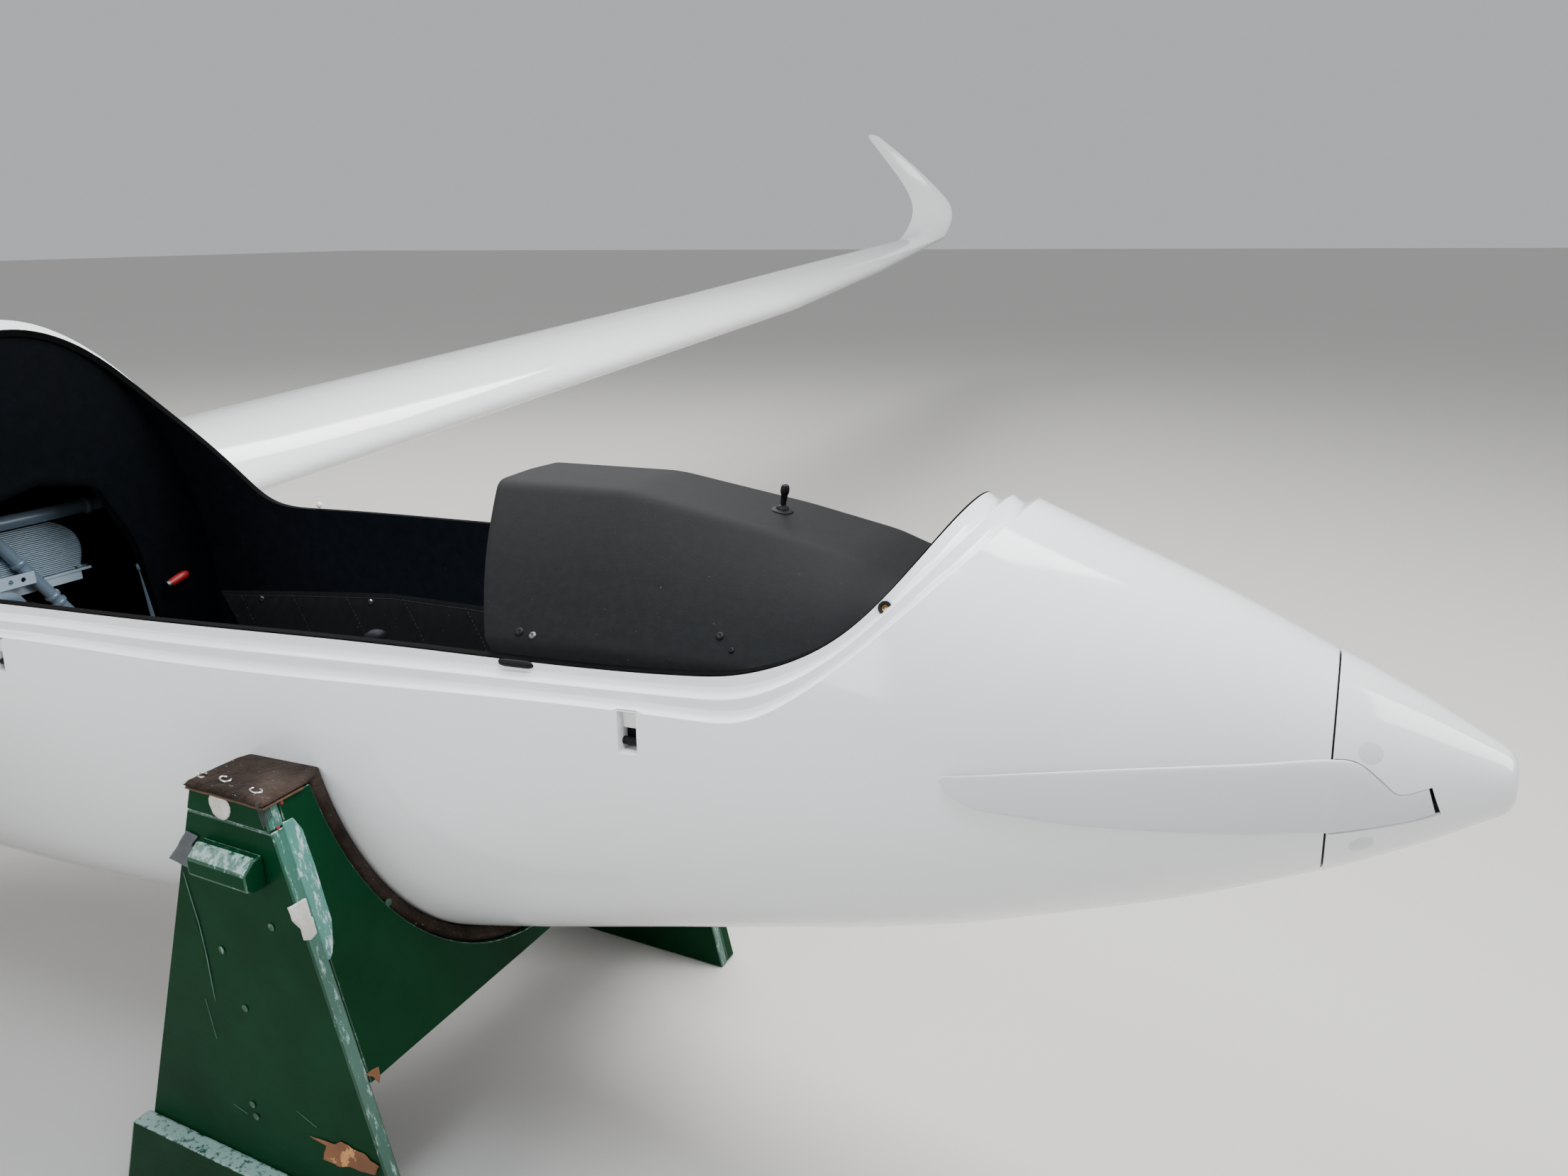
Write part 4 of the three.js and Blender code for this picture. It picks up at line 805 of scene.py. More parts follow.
# The seat of the canopy: three ridges with two grooves between them, then the black edge.
RIDGES = rounded([
    [0.0, 0.0], [0.02, 0.5], [0.045, 2.6], [0.12, 10.4], [0.18, 12.0], [0.27, 11.4], [0.45, 9.3],
    [0.495, 9.0], [0.52, 10.0], [0.55, 13.0], [0.62, 19.4], [0.68, 20.8], [0.77, 20.2],
    [0.94, 18.2], [0.985, 17.9],
], 2)
BLACK_EDGE = rounded([[0.985, 18.2], [0.990, 17.8], [1.005, 17.6], [1.025, 17.8], [1.035, 19.0],
                      [1.035, 24.0], [1.035, 28.4]], 2)


def seat_band(profile):
    """Carries a profile of (share of the way to the opening's edge, inset in mm) round the seat."""
    rows = []
    for share, inset in profile:
        row = seat_row(share, inset * 1e-3, SEAT_COLUMNS + 1)
        rows.append(np.concatenate([row, row[-2:0:-1] * [1, -1, 1]]))
    return place(grid_part(np.stack(rows), round_columns=True))


turned_outwards(piece("canopy_seat_ridges", seat_band(RIDGES), GELCOAT, sharp=None))
turned_outwards(piece("canopy_seat_black_edge", seat_band(BLACK_EDGE), EDGE_BLACK,
                      sharp=None))

inner_behind = np.concatenate([np.linspace(2.05, 2.46, 19), np.linspace(2.46, 2.95, 15)[1:]])
inner, inner_belly, _ = hull_grid(WALL, 1.035, 0.30, inner_behind, (14, 150), (5, 40))
inner_part, _ = without_bay(grid_part(inner), inner_belly, inner.shape[1], 5)
caps = [grid_part(np.stack([inner[k], np.broadcast_to(inner[k].mean(0), inner[k].shape)]))
        for k in (0, -1)]
liner = piece("cockpit_liner", [place(inner_part)] + [place(cap) for cap in caps], LINER_BLACK,
              sharp=60)
turned_outwards(liner, inward=True)


# Camera, light and floor.


def stage_material(name, colour, rough):
    made = bpy.data.materials.new(name)
    made.use_nodes = True
    tree = made.node_tree
    shader = tree.nodes["Principled BSDF"]
    shader.inputs["Specular IOR Level"].default_value = 0.25
    where = node(tree, "ShaderNodeTexCoord").outputs["Object"]
    tone = noise(tree, where, 0.5, 3)
    dark = tuple(0.96 * c for c in colour[:3]) + (1,)
    tree.links.new(mixed(tree, tone, colour, dark), shader.inputs["Base Color"])
    tree.links.new(between(tree, noise(tree, where, 30.0, 3), 0, 1, rough, rough + 0.1),
                   shader.inputs["Roughness"])
    return made


def soft_light(name, where, towards, size, power, colour):
    lamp = bpy.data.lights.new(name, "AREA")
    lamp.shape = "RECTANGLE"
    lamp.size, lamp.size_y = size
    lamp.energy, lamp.color = power, colour
    made = bpy.data.objects.new(name, lamp)
    made.location = where
    made.rotation_mode = "QUATERNION"
    made.rotation_quaternion = (Vector(towards) - Vector(where)).to_track_quat("-Z", "Y")
    bpy.context.scene.collection.objects.link(made)


FLOOR_REACH = 60.0
# Lights: name, place, aim, size, power and colour.
LIGHTS = (
    ("roof_light", (2.4, 1.2, 4.2), (2.2, 0.0, 0.5), (3.2, 1.4), 215, (1, 1, 1)),
    ("far_roof_light", (-1.5, 3.5, 4.6), (0.5, 1.5, 0.5), (5.0, 1.6), 260, (1, 1, 1)),
    ("near_fill", (1.0, -5.5, 3.0), (2.2, 0.0, 0.5), (4.0, 2.5), 185, (0.93, 0.96, 1.0)),
    ("nose_light", (7.0, 1.5, 3.4), (3.0, 0.0, 0.7), (2.5, 2.5), 160, (1, 1, 1)),
    ("cockpit_light", (2.9, -0.55, 2.1), (1.2, 0.02, 0.68), (0.5, 0.5), 26, (0.84, 0.93, 1.0)),
    ("tail_light", (-5.5, -3.0, 4.5), (-2.5, 0.0, 0.8), (4.0, 2.0), 130, (1, 1, 1)),
)
# The photo's camera, solved from points of the photo: place, turn from straight ahead, and lens.
CAMERA_PLACE = (3.2142, -1.091, 1.202)
CAMERA_YAW, CAMERA_PITCH, CAMERA_ROLL = (math.radians(angle) for angle in (-26.17, 17.56, 0.65))
CAMERA_LENS = 26.149


def set_stage():
    floor_mesh = bpy.data.meshes.new("floor")
    reach = FLOOR_REACH
    floor_mesh.from_pydata([(-reach, -reach, 0), (reach, -reach, 0), (reach, reach, 0),
                            (-reach, reach, 0)], [], [(0, 1, 2, 3)])
    floor = bpy.data.objects.new("floor", floor_mesh)
    floor_mesh.materials.append(stage_material("pale_floor", (0.60, 0.585, 0.56, 1), 0.5))
    bpy.context.scene.collection.objects.link(floor)
    sky = bpy.data.worlds.new("pale_room")
    sky.use_nodes = True
    sky.node_tree.nodes["Background"].inputs["Color"].default_value = (0.80, 0.82, 0.84, 1)
    sky.node_tree.nodes["Background"].inputs["Strength"].default_value = 0.62
    bpy.context.scene.world = sky
    for light in LIGHTS:
        soft_light(*light)

    camera = bpy.data.cameras.new("photo_camera")
    camera.sensor_width, camera.lens = 36.0, CAMERA_LENS
    camera.clip_start, camera.clip_end = 0.05, 300
    eye = bpy.data.objects.new("photo_camera", camera)
    yaw, pitch, roll = CAMERA_YAW, CAMERA_PITCH, CAMERA_ROLL
    ahead = Vector((math.sin(yaw) * math.cos(pitch), math.cos(yaw) * math.cos(pitch),
                    -math.sin(pitch)))
    level = Vector((math.cos(yaw), -math.sin(yaw), 0))
    down = ahead.cross(level)
    right = level * math.cos(roll) + down * math.sin(roll)
    up = -(down * math.cos(roll) - level * math.sin(roll))
    eye.matrix_world = Matrix.Translation(CAMERA_PLACE) @ Matrix(
        (right, up, -ahead)).transposed().to_4x4()
    bpy.context.scene.collection.objects.link(eye)
    bpy.context.scene.camera = eye


set_stage()


# Spinner and propeller blades.

SPINNER = np.array([
    [0.0, 0.0190], [0.0006, 0.0215], [0.0022, 0.0245], [0.0050, 0.0278], [0.0095, 0.0312],
    [0.0200, 0.0375], [0.0450, 0.0522], [0.0700, 0.0662], [0.0950, 0.0792], [0.1200, 0.0918],
    [0.1452, 0.1035],
])
spinner_run = np.concatenate([[0], np.cumsum(np.hypot(*np.diff(SPINNER, axis=0).T))])
spinner_curve = spline(spinner_run, SPINNER)
spinner_table = spinner_curve(np.linspace(0, spinner_run[-1], 400))


def spinner_radius(station):
    return np.interp(station, spinner_table[:, 0], spinner_table[:, 1])


# The slot for a blade's root in side view: station and height of its upper and its lower edge.
SLOT_UPPER = np.array([[67.8, 12.9], [80, 9.9], [92.5, 8.6], [102.7, 16.9], [112.9, 26.9],
                       [121.4, 34.2], [129.6, 38.6], [137, 40.6], [145.2, 41.2]]) * 1e-3
SLOT_LOWER = np.array([[58.1, -13.4], [83.4, -20.6], [108.5, -24.8], [128, -27.4],
                       [145.2, -28.4]]) * 1e-3
# A blade's outline as it lies folded to starboard: its upper and lower edge from root to tip.
BLADE_UPPER = np.array([[70.3, 12.2], [80.1, 9.2], [92.5, 7.9], [102.7, 16.0], [113, 26.0],
                        [121.4, 33.3], [129.6, 37.6], [142.4, 40.6], [176.8, 41.8], [239.6, 40.8],
                        [303.6, 38.2], [369.4, 33.1], [420.4, 28.2], [447, 25.4], [457, 24.0],
                        [460, 21.5]]) * 1e-3
BLADE_LOWER = np.array([[62.6, -13.6], [73, -16.8], [83.5, -19.9], [96, -22.0], [108.5, -23.8],
                        [118, -24.8], [130, -25.6], [150, -25.4], [176, -23.5], [240, -21.2],
                        [301, -18.2], [351.3, -14.8], [402.5, -8.5], [430.4, -4.2], [449, 7.0],
                        [460, 20.5]]) * 1e-3


def spinner_skin():
    """Half of the spinner between the top line and the bottom line, three bands high: over the slot,
    the slot's own height, under it. The slot's band ends at the slot's slanted front edge. Height on
    the cone is R cos a. The other half is the same one turned half round the axis."""
    front = np.linspace(0, spinner_run[-1], 130)
    middle = spinner_curve(front)[:, 0]
    middle[0] = 0.0
    mouth = int(np.argmin(np.abs(middle - 0.063)))
    hat = np.interp(np.arange(len(middle)), [0, mouth, len(middle) - 1], [0, 1, 0])
    upper = middle + (SLOT_UPPER[0, 0] - middle[mouth]) * hat
    lower = middle + (SLOT_LOWER[0, 0] - middle[mouth]) * hat

    def edge_turn(stations, outline):
        height = np.interp(stations, *spline_table(outline).T)
        return np.arccos(np.clip(height / spinner_radius(stations), -1, 1))

    turn_upper = edge_turn(np.maximum(upper, SLOT_UPPER[0, 0]), SLOT_UPPER)
    turn_lower = edge_turn(np.maximum(lower, SLOT_LOWER[0, 0]), SLOT_LOWER)
    turn_upper[:mouth] = turn_upper[mouth]
    turn_lower[:mouth] = turn_lower[mouth]

    def cone(station, turn, sink=0.0):
        radius = spinner_radius(station) - sink
        return np.stack([station, -radius * np.sin(turn), radius * np.cos(turn)], -1)

    t = np.linspace(0, 1, 40)[:, None]
    bands = [cone(middle + (upper - middle) * t, turn_upper * t)]
    slot_t = np.linspace(0, 1, 9)[:, None]
    first = slice(0, mouth + 1)
    bands.append(cone((upper + (lower - upper) * slot_t)[:, first],
                      (turn_upper + (turn_lower - turn_upper) * slot_t)[:, first]))
    bands.append(cone(lower + (middle - lower) * t, turn_lower + (np.pi - turn_lower) * t))
    rear = slice(mouth, None)
    rims = [(upper[rear], turn_upper[rear]), (lower[rear], turn_lower[rear]),
            ((upper + (lower - upper) * slot_t)[:, mouth],
             (turn_upper + (turn_lower - turn_upper) * slot_t)[:, mouth])]
    bands += [np.stack([cone(s, a, sink) for sink in (0, 0.0004, 0.0042)]) for s, a in rims]
    return [grid_part(band) for band in bands]


def spline_table(outline):
    run = np.concatenate([[0], np.cumsum(np.hypot(*np.diff(outline, axis=0).T))])
    return spline(run, outline)(np.linspace(0, run[-1], 200))


def half_turned(part):
    return part[0] * [1, -1, -1], part[1]


def ring_part(profile):
    """A profile of (station, radius) turned about the fuselage's axis."""
    turn = np.linspace(0, 2 * np.pi, 120, endpoint=False)
    profile = np.asarray(profile, float)
    points = np.stack([profile[:, :1] + 0 * turn, profile[:, 1:] * np.sin(turn),
                       profile[:, 1:] * np.cos(turn)], -1)
    return grid_part(points, round_columns=True)


half_spinner = spinner_skin()
spinner_front = ring_part([[0.0, 0.0190], [0.0, 0.0175], [0.0008, 0.0168], [0.006, 0.0165],
                           [0.012, 0.0165], [0.012, 0.0005]])
spinner_back = ring_part([[0.1446, 0.1028], [0.1456, 0.1029], [0.1459, 0.1024], [0.1459, 0.0990],
                          [0.142, 0.0985], [0.10, 0.0760], [0.10, 0.0775]])
spinner_parts = half_spinner + [half_turned(part) for part in half_spinner] + [spinner_front]
turned_outwards(piece("spinner_skin", placed(spinner_parts), GELCOAT, "propeller", replaces="spinner",
                      sharp=35))
piece("spinner_back_ring", place(spinner_back), GELCOAT, "propeller")


PLUG_RADIUS = 0.0098
PLUGS = ((0.1172, 0.0426), (0.1173, -0.0439))


def plug(station, height, side):
    """A flush filled screw place: a shallow dome that follows the cone, 10 mm in radius."""
    radius = spinner_radius(station)
    turn0 = math.asin(height / radius)
    r = np.linspace(0, PLUG_RADIUS, 7)[:, None]
    a = np.linspace(0, 2 * np.pi, 28, endpoint=False)[None]
    s = station + r * np.cos(a)
    turn = turn0 + r * np.sin(a) / radius
    lift = 0.0002 * (1 - (r / PLUG_RADIUS) ** 6) + 0.00004
    ring = spinner_radius(s) + lift
    points = np.stack([s, side * ring * np.cos(turn), side * ring * np.sin(turn) * -side], -1)
    return place(grid_part(points, round_columns=True))


piece("spinner_plugs", [plug(*where, side) for side in (-1, 1) for where in PLUGS], PLUG_PAINT,
      "propeller")


def blade_skin():
    """A folded blade: its outer face lies over the cone and the hull at the height of its outline,
    lifted by its own thickness, and its rounded section closes underneath."""
    t = np.linspace(0, 1, 90)
    steps = np.linspace(0, 1, len(BLADE_UPPER))
    upper, lower = (spline(steps, edge)(t) for edge in (BLADE_UPPER, BLADE_LOWER))
    around = np.linspace(0, 2 * np.pi, 44, endpoint=False)
    across = 0.5 - 0.5 * np.sign(np.cos(around)) * np.abs(np.cos(around)) ** 0.62
    side = upper[:, None] + (lower - upper)[:, None] * across[None, :, None]
    station, height = side[..., 0], side[..., 1]
    on_cone = np.sqrt(np.maximum(spinner_radius(station) ** 2 - height**2, 1e-9))
    on_hull = hull_width(np.maximum(station, 0.150), height)
    blend = smoother(np.clip((station - 0.138) / 0.016, 0, 1))
    bed = on_cone * (1 - blend) + on_hull * blend
    out = np.interp(station, [0.06, 0.12, 0.15, 0.20, 0.35, 0.44, 0.46],
                    [0.0006, 0.0010, 0.0048, 0.0094, 0.0092, 0.0074, 0.0056])
    thick = np.interp(station, [0.06, 0.15, 0.20, 0.35, 0.46], [0.008, 0.006, 0.0062, 0.0048, 0.0024])
    face = np.sign(np.sin(around)) * np.abs(np.sin(around)) ** 0.42
    crown = 1 - 0.10 * (2 * across - 1) ** 2
    y = bed + out - thick * (0.5 - 0.5 * face * crown)
    return loft_part(np.stack([station, -y, height], -1))


blade = blade_skin()
for side, part in (("starboard", blade), ("port", half_turned(blade))):
    piece(f"propeller_blade_{side}_skin", place(part), BLADE_PAINT, f"blade_{side}",
          replaces=f"propeller_blade_{side}", sharp=50)
# The hub and the motor keep their CAD shape and only get the steel finish.
for name in ("propeller_hub", "nose_motor"):
    frame["nodes"][name].data.materials.clear()
    frame["nodes"][name].data.materials.append(STEEL)


# Cockpit.

# Instrument hood. Columns: station, half width and height of the top, half width and height of the
# lower edge.
HOOD_FRONT, HOOD_REAR, HOOD_EASE, HOOD_BOW = 0.520, 1.046, 0.022, 0.010
HOOD = np.array([
    [0.520, 0.046, 0.150, 0.100, 0.134], [0.592, 0.064, 0.177, 0.176, 0.098],
    [0.700, 0.062, 0.203, 0.215, 0.074], [0.868, 0.058, 0.235, 0.235, 0.070],
    [1.046, 0.060, 0.238, 0.248, 0.070],
])
HOOD_LEAN_FROM, HOOD_LEAN = 0.70, 0.115


def settled(x, table, spread):
    """Straight runs between a table's rows with the corners eased over a spread."""
    offsets = np.linspace(-1, 1, 15)
    weight = 1 - offsets**2
    total = sum(w * np.stack([np.interp(x + o * spread, table[:, 0], table[:, k])
                              for k in range(1, table.shape[1])], -1)
                for w, o in zip(weight, offsets))
    return total / weight.sum()


def hood_lean(station, share):
    """How far the hood's wall is drawn forward at a share of its height, towards its rear edge."""
    aft = np.interp(station, [HOOD_LEAN_FROM, HOOD_REAR], [0, 1]) ** 1.5
    return aft * HOOD_LEAN * (1 - np.clip(share, 0, 1))


def hood_sections():
    """Hood rings: a flat top strip, an eased crease and a slightly bowed wall down to the sill."""
    station = np.linspace(HOOD_FRONT, HOOD_REAR, 70)
    top, height, low, foot = settled(station, HOOD, HOOD_EASE).T
    kernel = np.ones(9) / 9
    rings = []
    for k in range(len(station)):
        wall = HOOD_BOW * np.sin(np.pi * np.linspace(0, 1, 8))[:, None] * [0.8, 0.6]
        side = np.linspace([low[k], foot[k]], [top[k], height[k]], 8) + wall
        line = np.concatenate([side, [[0, height[k] + 0.002]], side[::-1] * [-1, 1]])
        line = rounded(even(line, 120), 1)
        padded = np.pad(line, ((4, 4), (0, 0)), mode="edge")
        eased = np.stack([np.convolve(padded[:, c], kernel, "valid") for c in (0, 1)], -1)
        rings.append(even(eased, 96))
    rings = np.array(rings)
    share = (rings[..., 1] - foot[:, None]) / (height - foot)[:, None]
    s = station[:, None] - hood_lean(station[:, None], share)
    z = rings[..., 1]
    room = hull_width(s, np.minimum(z, 0.20), 0.0305)
    low_part = smoother(np.clip((0.15 - z) / 0.05, 0, 1))
    y = rings[..., 0]
    held = np.sign(y) * (room * low_part + np.abs(y) * (1 - low_part))
    return np.stack([s, np.where(np.abs(y) > room, held, y), z], -1)


hood_outer = hood_sections()
hood_inner = hood_outer.copy()
hood_inner[..., 1:] += ([0, 0.06] - hood_inner[..., 1:]) * 0.03
hood_rim = hood_outer[-1:] + [0.0012, 0, -0.0008]
hood_rings = np.concatenate([hood_outer, hood_rim, hood_inner[::-1]])
piece("instrument_hood_shell", place(grid_part(hood_rings)), HOOD_CHARCOAL, replaces="instrument_hood",
      sharp=60)


# Cloth side panels with diagonal sewn channels: ends and lower edge, the channels' spacing and
# slant, where the last one starts, how far the hem's seam lies under the edge, the stitch's step.
QUILT_FRONT, QUILT_REAR, QUILT_LOW = 1.02, 2.0435, -0.190
CHANNEL, SLANT, LAST_CHANNEL, HEM, STITCH = 0.143, 0.62, 1.998, 0.0075, 0.0065


def panel_top(station):
    """Height of the side panel's upper edge, which falls towards the bulkhead."""
    return -0.050 - 0.030 * np.clip((station - 1.60) / 0.40, 0, 1.2)


def quilted_panel():
    """A padded panel on the side wall: thickness 4 to 9 mm, sunk to its stitching along slanted
    channels 143 mm apart and along its border. Its rear edge slants the same way."""
    share = np.linspace(0, 1, 90)[None]
    end = QUILT_REAR - 0.080 * (1 - share)
    s = QUILT_FRONT + (end - QUILT_FRONT) * np.linspace(0, 1, 420)[:, None]
    top = panel_top(s)
    z = QUILT_LOW + (top - QUILT_LOW) * share
    slanted = (s - LAST_CHANNEL - SLANT * (z + 0.060)) / CHANNEL
    near = np.abs(slanted - np.round(slanted)) * CHANNEL
    near = np.minimum(near, np.abs(top - z - HEM))
    border = np.minimum.reduce([s - QUILT_FRONT, end - s, z - QUILT_LOW, top - z])
    pad = 1 - np.exp(-(near / 0.011) ** 1.3)
    crown = 1 - np.exp(-(np.maximum(border, 0) / 0.007) ** 1.2)
    ripple = 0.0006 * np.sin(s * 210 + 3 * np.sin(z * 60)) * np.exp(-near / 0.02)
    thick = (0.0035 + 0.0062 * pad) * crown + ripple * crown
    inset = WALL + 0.0006 + thick
    return np.stack([s, hull_width(s, z, inset), z], -1)


def stitches():
    """Short thread stitches along every channel of the panel and along its upper hem."""
    parts = []
    runs = []
    for k in range(-6, 1):
        z = np.arange(-0.182, -0.055, STITCH)
        s = LAST_CHANNEL + k * CHANNEL + SLANT * (z + 0.060)
        z = z[z < panel_top(s) - 0.008]
        s = s[:len(z)]
        runs.append(np.stack([s, z, s + SLANT * 0.0035, z + 0.0035], -1))
    s = np.arange(1.03, 2.030, STITCH)
    runs.append(np.stack([s, panel_top(s) - HEM, s + 0.0042, panel_top(s + 0.0042) - HEM], -1))
    for s0, z0, s1, z1 in np.concatenate(runs):
        if s0 < 1.03 or s1 > 2.035:
            continue
        run = np.array([[s0, 0, z0], [s1, 0, z1]])
        run[:, 1] = hull_width(run[:, 0], run[:, 2], WALL + 0.0046)
        parts.append(rod(run[0], run[1], 0.00045, 6, 0.0001))
    return parts


quilt = quilted_panel()
stitch_parts = stitches()
SNAPS = ((1.643, -0.0660), (1.920, -0.0860), (1.360, -0.0635), (1.10, -0.063))


def snap(station, height):
    """A press stud's domed cap on the panel."""
    base = [station, float(hull_width(station, height, WALL + 0.0095)), height]
    profile = [[0.0, 0.0], [0.0, 0.0062], [-0.0012, 0.0060], [-0.0022, 0.0048], [-0.0028, 0.0030],
               [-0.0022, 0.0018], [-0.0024, 0.0]]
    return turned_part(base, (0, 1, 0.15), profile, 20, False)


for name, hand in SIDES:
    panel = piece(f"side_panel_{name}", on_side(grid_part(quilt), hand), UPHOLSTERY,
                  replaces=f"upholstery_{name}", sharp=None)
    turned_outwards(panel, inward=True)
    piece(f"side_panel_stitches_{name}", [on_side(part, hand) for part in stitch_parts], THREAD)
    piece(f"side_panel_snaps_{name}", [on_side(snap(*where), hand) for where in SNAPS], BRIGHT_STEEL)

# Small fittings of the hood and the seat.
toggle_foot = np.array([0.707, 0, 0.2055])
lean = np.array([-0.19, 0, 1.0]) / np.hypot(0.19, 1)
TOGGLE_FOOT = [[-0.004, 0.0], [-0.001, 0.0125], [0.0012, 0.0125], [0.0022, 0.0112], [0.0026, 0.0075],
               [0.0042, 0.0070], [0.0060, 0.0058], [0.0072, 0.0036], [0.0075, 0.0]]
TOGGLE_LEVER = [[0.006, 0.0], [0.006, 0.0030], [0.012, 0.0033], [0.019, 0.0038], [0.0205, 0.0046],
                [0.023, 0.0050], [0.027, 0.0048], [0.0295, 0.0038], [0.0305, 0.0018], [0.0307, 0.0]]
toggle = [turned_part(toggle_foot, lean, TOGGLE_FOOT, 32, False),
          turned_part(toggle_foot, lean, TOGGLE_LEVER, 24, False)]
piece("hood_toggle_switch", placed(toggle), TRIM_BLACK, replaces="hood_toggle")


def screw_on_hood(station, height, radius, side):
    """A round head on the hood's wall, found by the wall's own line at that station."""
    section = station
    for _ in range(20):
        top, high, low, foot = settled(np.array([section]), HOOD, HOOD_EASE)[0]
        t = (height - foot) / (high - foot)
        section = station + float(hood_lean(section, t))
    bow = HOOD_BOW * math.sin(math.pi * t)
    y = low + (top - low) * t + 0.8 * bow - 0.0012
    out = np.array([0.0, side * (high - foot), low - top])
    head = [[0.0, 0.0], [0.0, radius], [0.0009, radius * 0.98], [0.0019, radius * 0.82],
            [0.0024, radius * 0.45], [0.0019, radius * 0.32], [0.0019, 0.0]]
    return place(turned_part([station, side * y, height + 0.6 * bow], out, head, 24, False))


piece("hood_round_heads", [screw_on_hood(0.900, 0.105, 0.0045, side) for side in (-1, 1)],
      STEEL)
HOOD_SCREWS = ((0.917, 0.107, 0.0052), (0.6955, 0.1135, 0.0048), (0.679, 0.104, 0.0032))
piece("hood_screws", [screw_on_hood(*where, side) for side in (-1, 1) for where in HOOD_SCREWS],
      TRIM_BLACK)


def sill_clip(side):
    """The black catch over the sill's edge, 45 mm long with rounded ends."""
    path = np.linspace(0.886, 0.931, 16)
    line = seat_values(np.interp(path, SEAT[:, 0], seat_chord))
    height = line[:, 3]
    y = hull_width(path, height, 0.0215)
    centre = np.stack([path, side * y, height - 0.004], -1)
    grow = np.sqrt(np.clip(1 - (np.linspace(-1, 1, 16)) ** 6, 0.05, 1))
    profile = [[-0.0075, -0.0045], [0.0075, -0.0045], [0.0075, 0.0048], [-0.0075, 0.0048]]
    profile = rounded(profile, 2, True)
    return place(loft_part(sweep(centre, profile[None] * grow[:, None, None])))


piece("sill_clips", [sill_clip(-1), sill_clip(1)], TRIM_BLACK)


def bush(station, height, side):
    """The hinge bush in the seat's inner flank: a black ring round a turned brass one."""
    y = float(hull_width(station, height, 0.0185))
    grad = hull_width(station, height + 0.002, 0.0185) - hull_width(station, height - 0.002, 0.0185)
    out = np.array([-0.12, side * 1.0, -float(grad) / 0.004])
    ring = [[-0.006, 0.0], [-0.006, 0.0066], [0.0012, 0.0066], [0.0016, 0.0060], [0.0012, 0.0038],
            [-0.0005, 0.0036]]
    core = [[-0.004, 0.0], [-0.004, 0.0036], [-0.0002, 0.0036], [0.0002, 0.0030], [-0.0004, 0.0019],
            [-0.0015, 0.0016], [-0.0015, 0.0]]
    base = [station, side * y, height]
    return turned_part(base, out, ring, 28, False), turned_part(base, out, core, 28, False)


bush_rings, bush_cores = zip(*(bush(0.5285, 0.1580, side) for side in (-1, 1)))
piece("seat_bush_rings", placed(bush_rings), TRIM_BLACK)
piece("seat_bush_cores", placed(bush_cores), BRASS)


def sill_ball():
    """The ball stud on the port sill: its head and its shank."""
    station, radius = 1.74, 0.0052
    turn = np.linspace(-np.pi / 2, np.pi / 2, 12)
    head = [station, float(hull_width(station, 0.094, 0.018)), 0.0975]
    y = float(hull_width(station, 0.088, 0.018))
    ball = turned_part(head, (0, 0, 1), np.stack([radius * np.sin(turn), radius * np.cos(turn)], -1), 20,
                       False)
    return [ball, rod([station, y, 0.082], [station, y, 0.0945], 0.0026)]


piece("sill_ball", placed(sill_ball()), SEAL_WHITE)


# Wings.

# Columns: distance out, leading edge's station and height, chord, lean of the section in degrees,
# thickness as a share of the chord.
WING = np.array([
    [0.225, 1.925, 0.117, 0.884, 3.4, 0.140], [3.000, 2.095, 0.282, 0.800, 3.4, 0.140],
    [4.500, 2.330, 0.371, 0.675, 3.4, 0.135], [6.850, 2.790, 0.511, 0.345, 3.4, 0.130],
])
WING_TIP = np.array([
    [6.850, 2.790, 0.511, 0.345, 3.4, 0.130], [7.030, 2.797, 0.606, 0.320, 42, 0.120],
    [7.130, 2.832, 0.728, 0.285, 62, 0.110], [7.195, 2.950, 0.850, 0.228, 72, 0.100],
    [7.265, 3.170, 1.040, 0.165, 72, 0.100], [7.335, 3.470, 1.270, 0.072, 72, 0.100],
])
INCIDENCE = math.radians(1.5)
WING_LEAN = math.radians(3.4)
WING_DOWN = np.array([0, math.sin(WING_LEAN), -math.cos(WING_LEAN)])
# Aileron and airbrake: from and to this far out, at this share of the chord. The airbrake's slot has
# a half width and a depth. The lip over a control surface reaches this share of its nose radius.
AILERON_FROM, AILERON_TO, AILERON_SHARE = 4.600, 6.750, 0.78
BRAKE_FROM, BRAKE_TO, BRAKE_SHARE, SLOT_HALF, SLOT_DEPTH = 2.300, 3.500, 0.52, 0.017, 0.074
GAP, LIP = 0.005, 0.55


def half_thickness(x, thickness):
    """The four-digit section's half thickness at a share of the chord."""
    x = np.clip(x, 0, 1)
    return 5 * thickness * (0.2969 * np.sqrt(x) - 0.126 * x - 0.3516 * x**2 + 0.2843 * x**3 - 0.1036 * x**4)


def camber(x):
    """Height of the section's middle line, highest at 0.4 of the chord."""
    front = 0.025 / 0.16 * (0.8 * x - x * x)
    return np.where(x < 0.4, front, 0.025 / 0.36 * (0.2 + 0.8 * x - x * x))


def rows_at(table, where):
    """A table's rows at places between its own, by straight lines."""
    return np.stack([np.interp(where, table[:, 0], table[:, k]) for k in range(table.shape[1])], -1)


def wing_skin(rows, x, sign):
    """Points of a wing's surface: rows by shares of the chord, sign 1 for the top."""
    out, station, height, chord, lean, thickness = (rows[:, k, None] for k in range(6))
    over = (camber(x) + sign * (half_thickness(x, thickness) + 0.0008 * x**4)) * chord
    lean = np.radians(lean)
    return np.stack([station + math.cos(INCIDENCE) * x * chord, out - np.sin(lean) * over + 0 * x,
                     height - math.sin(INCIDENCE) * x * chord + np.cos(lean) * over], -1)


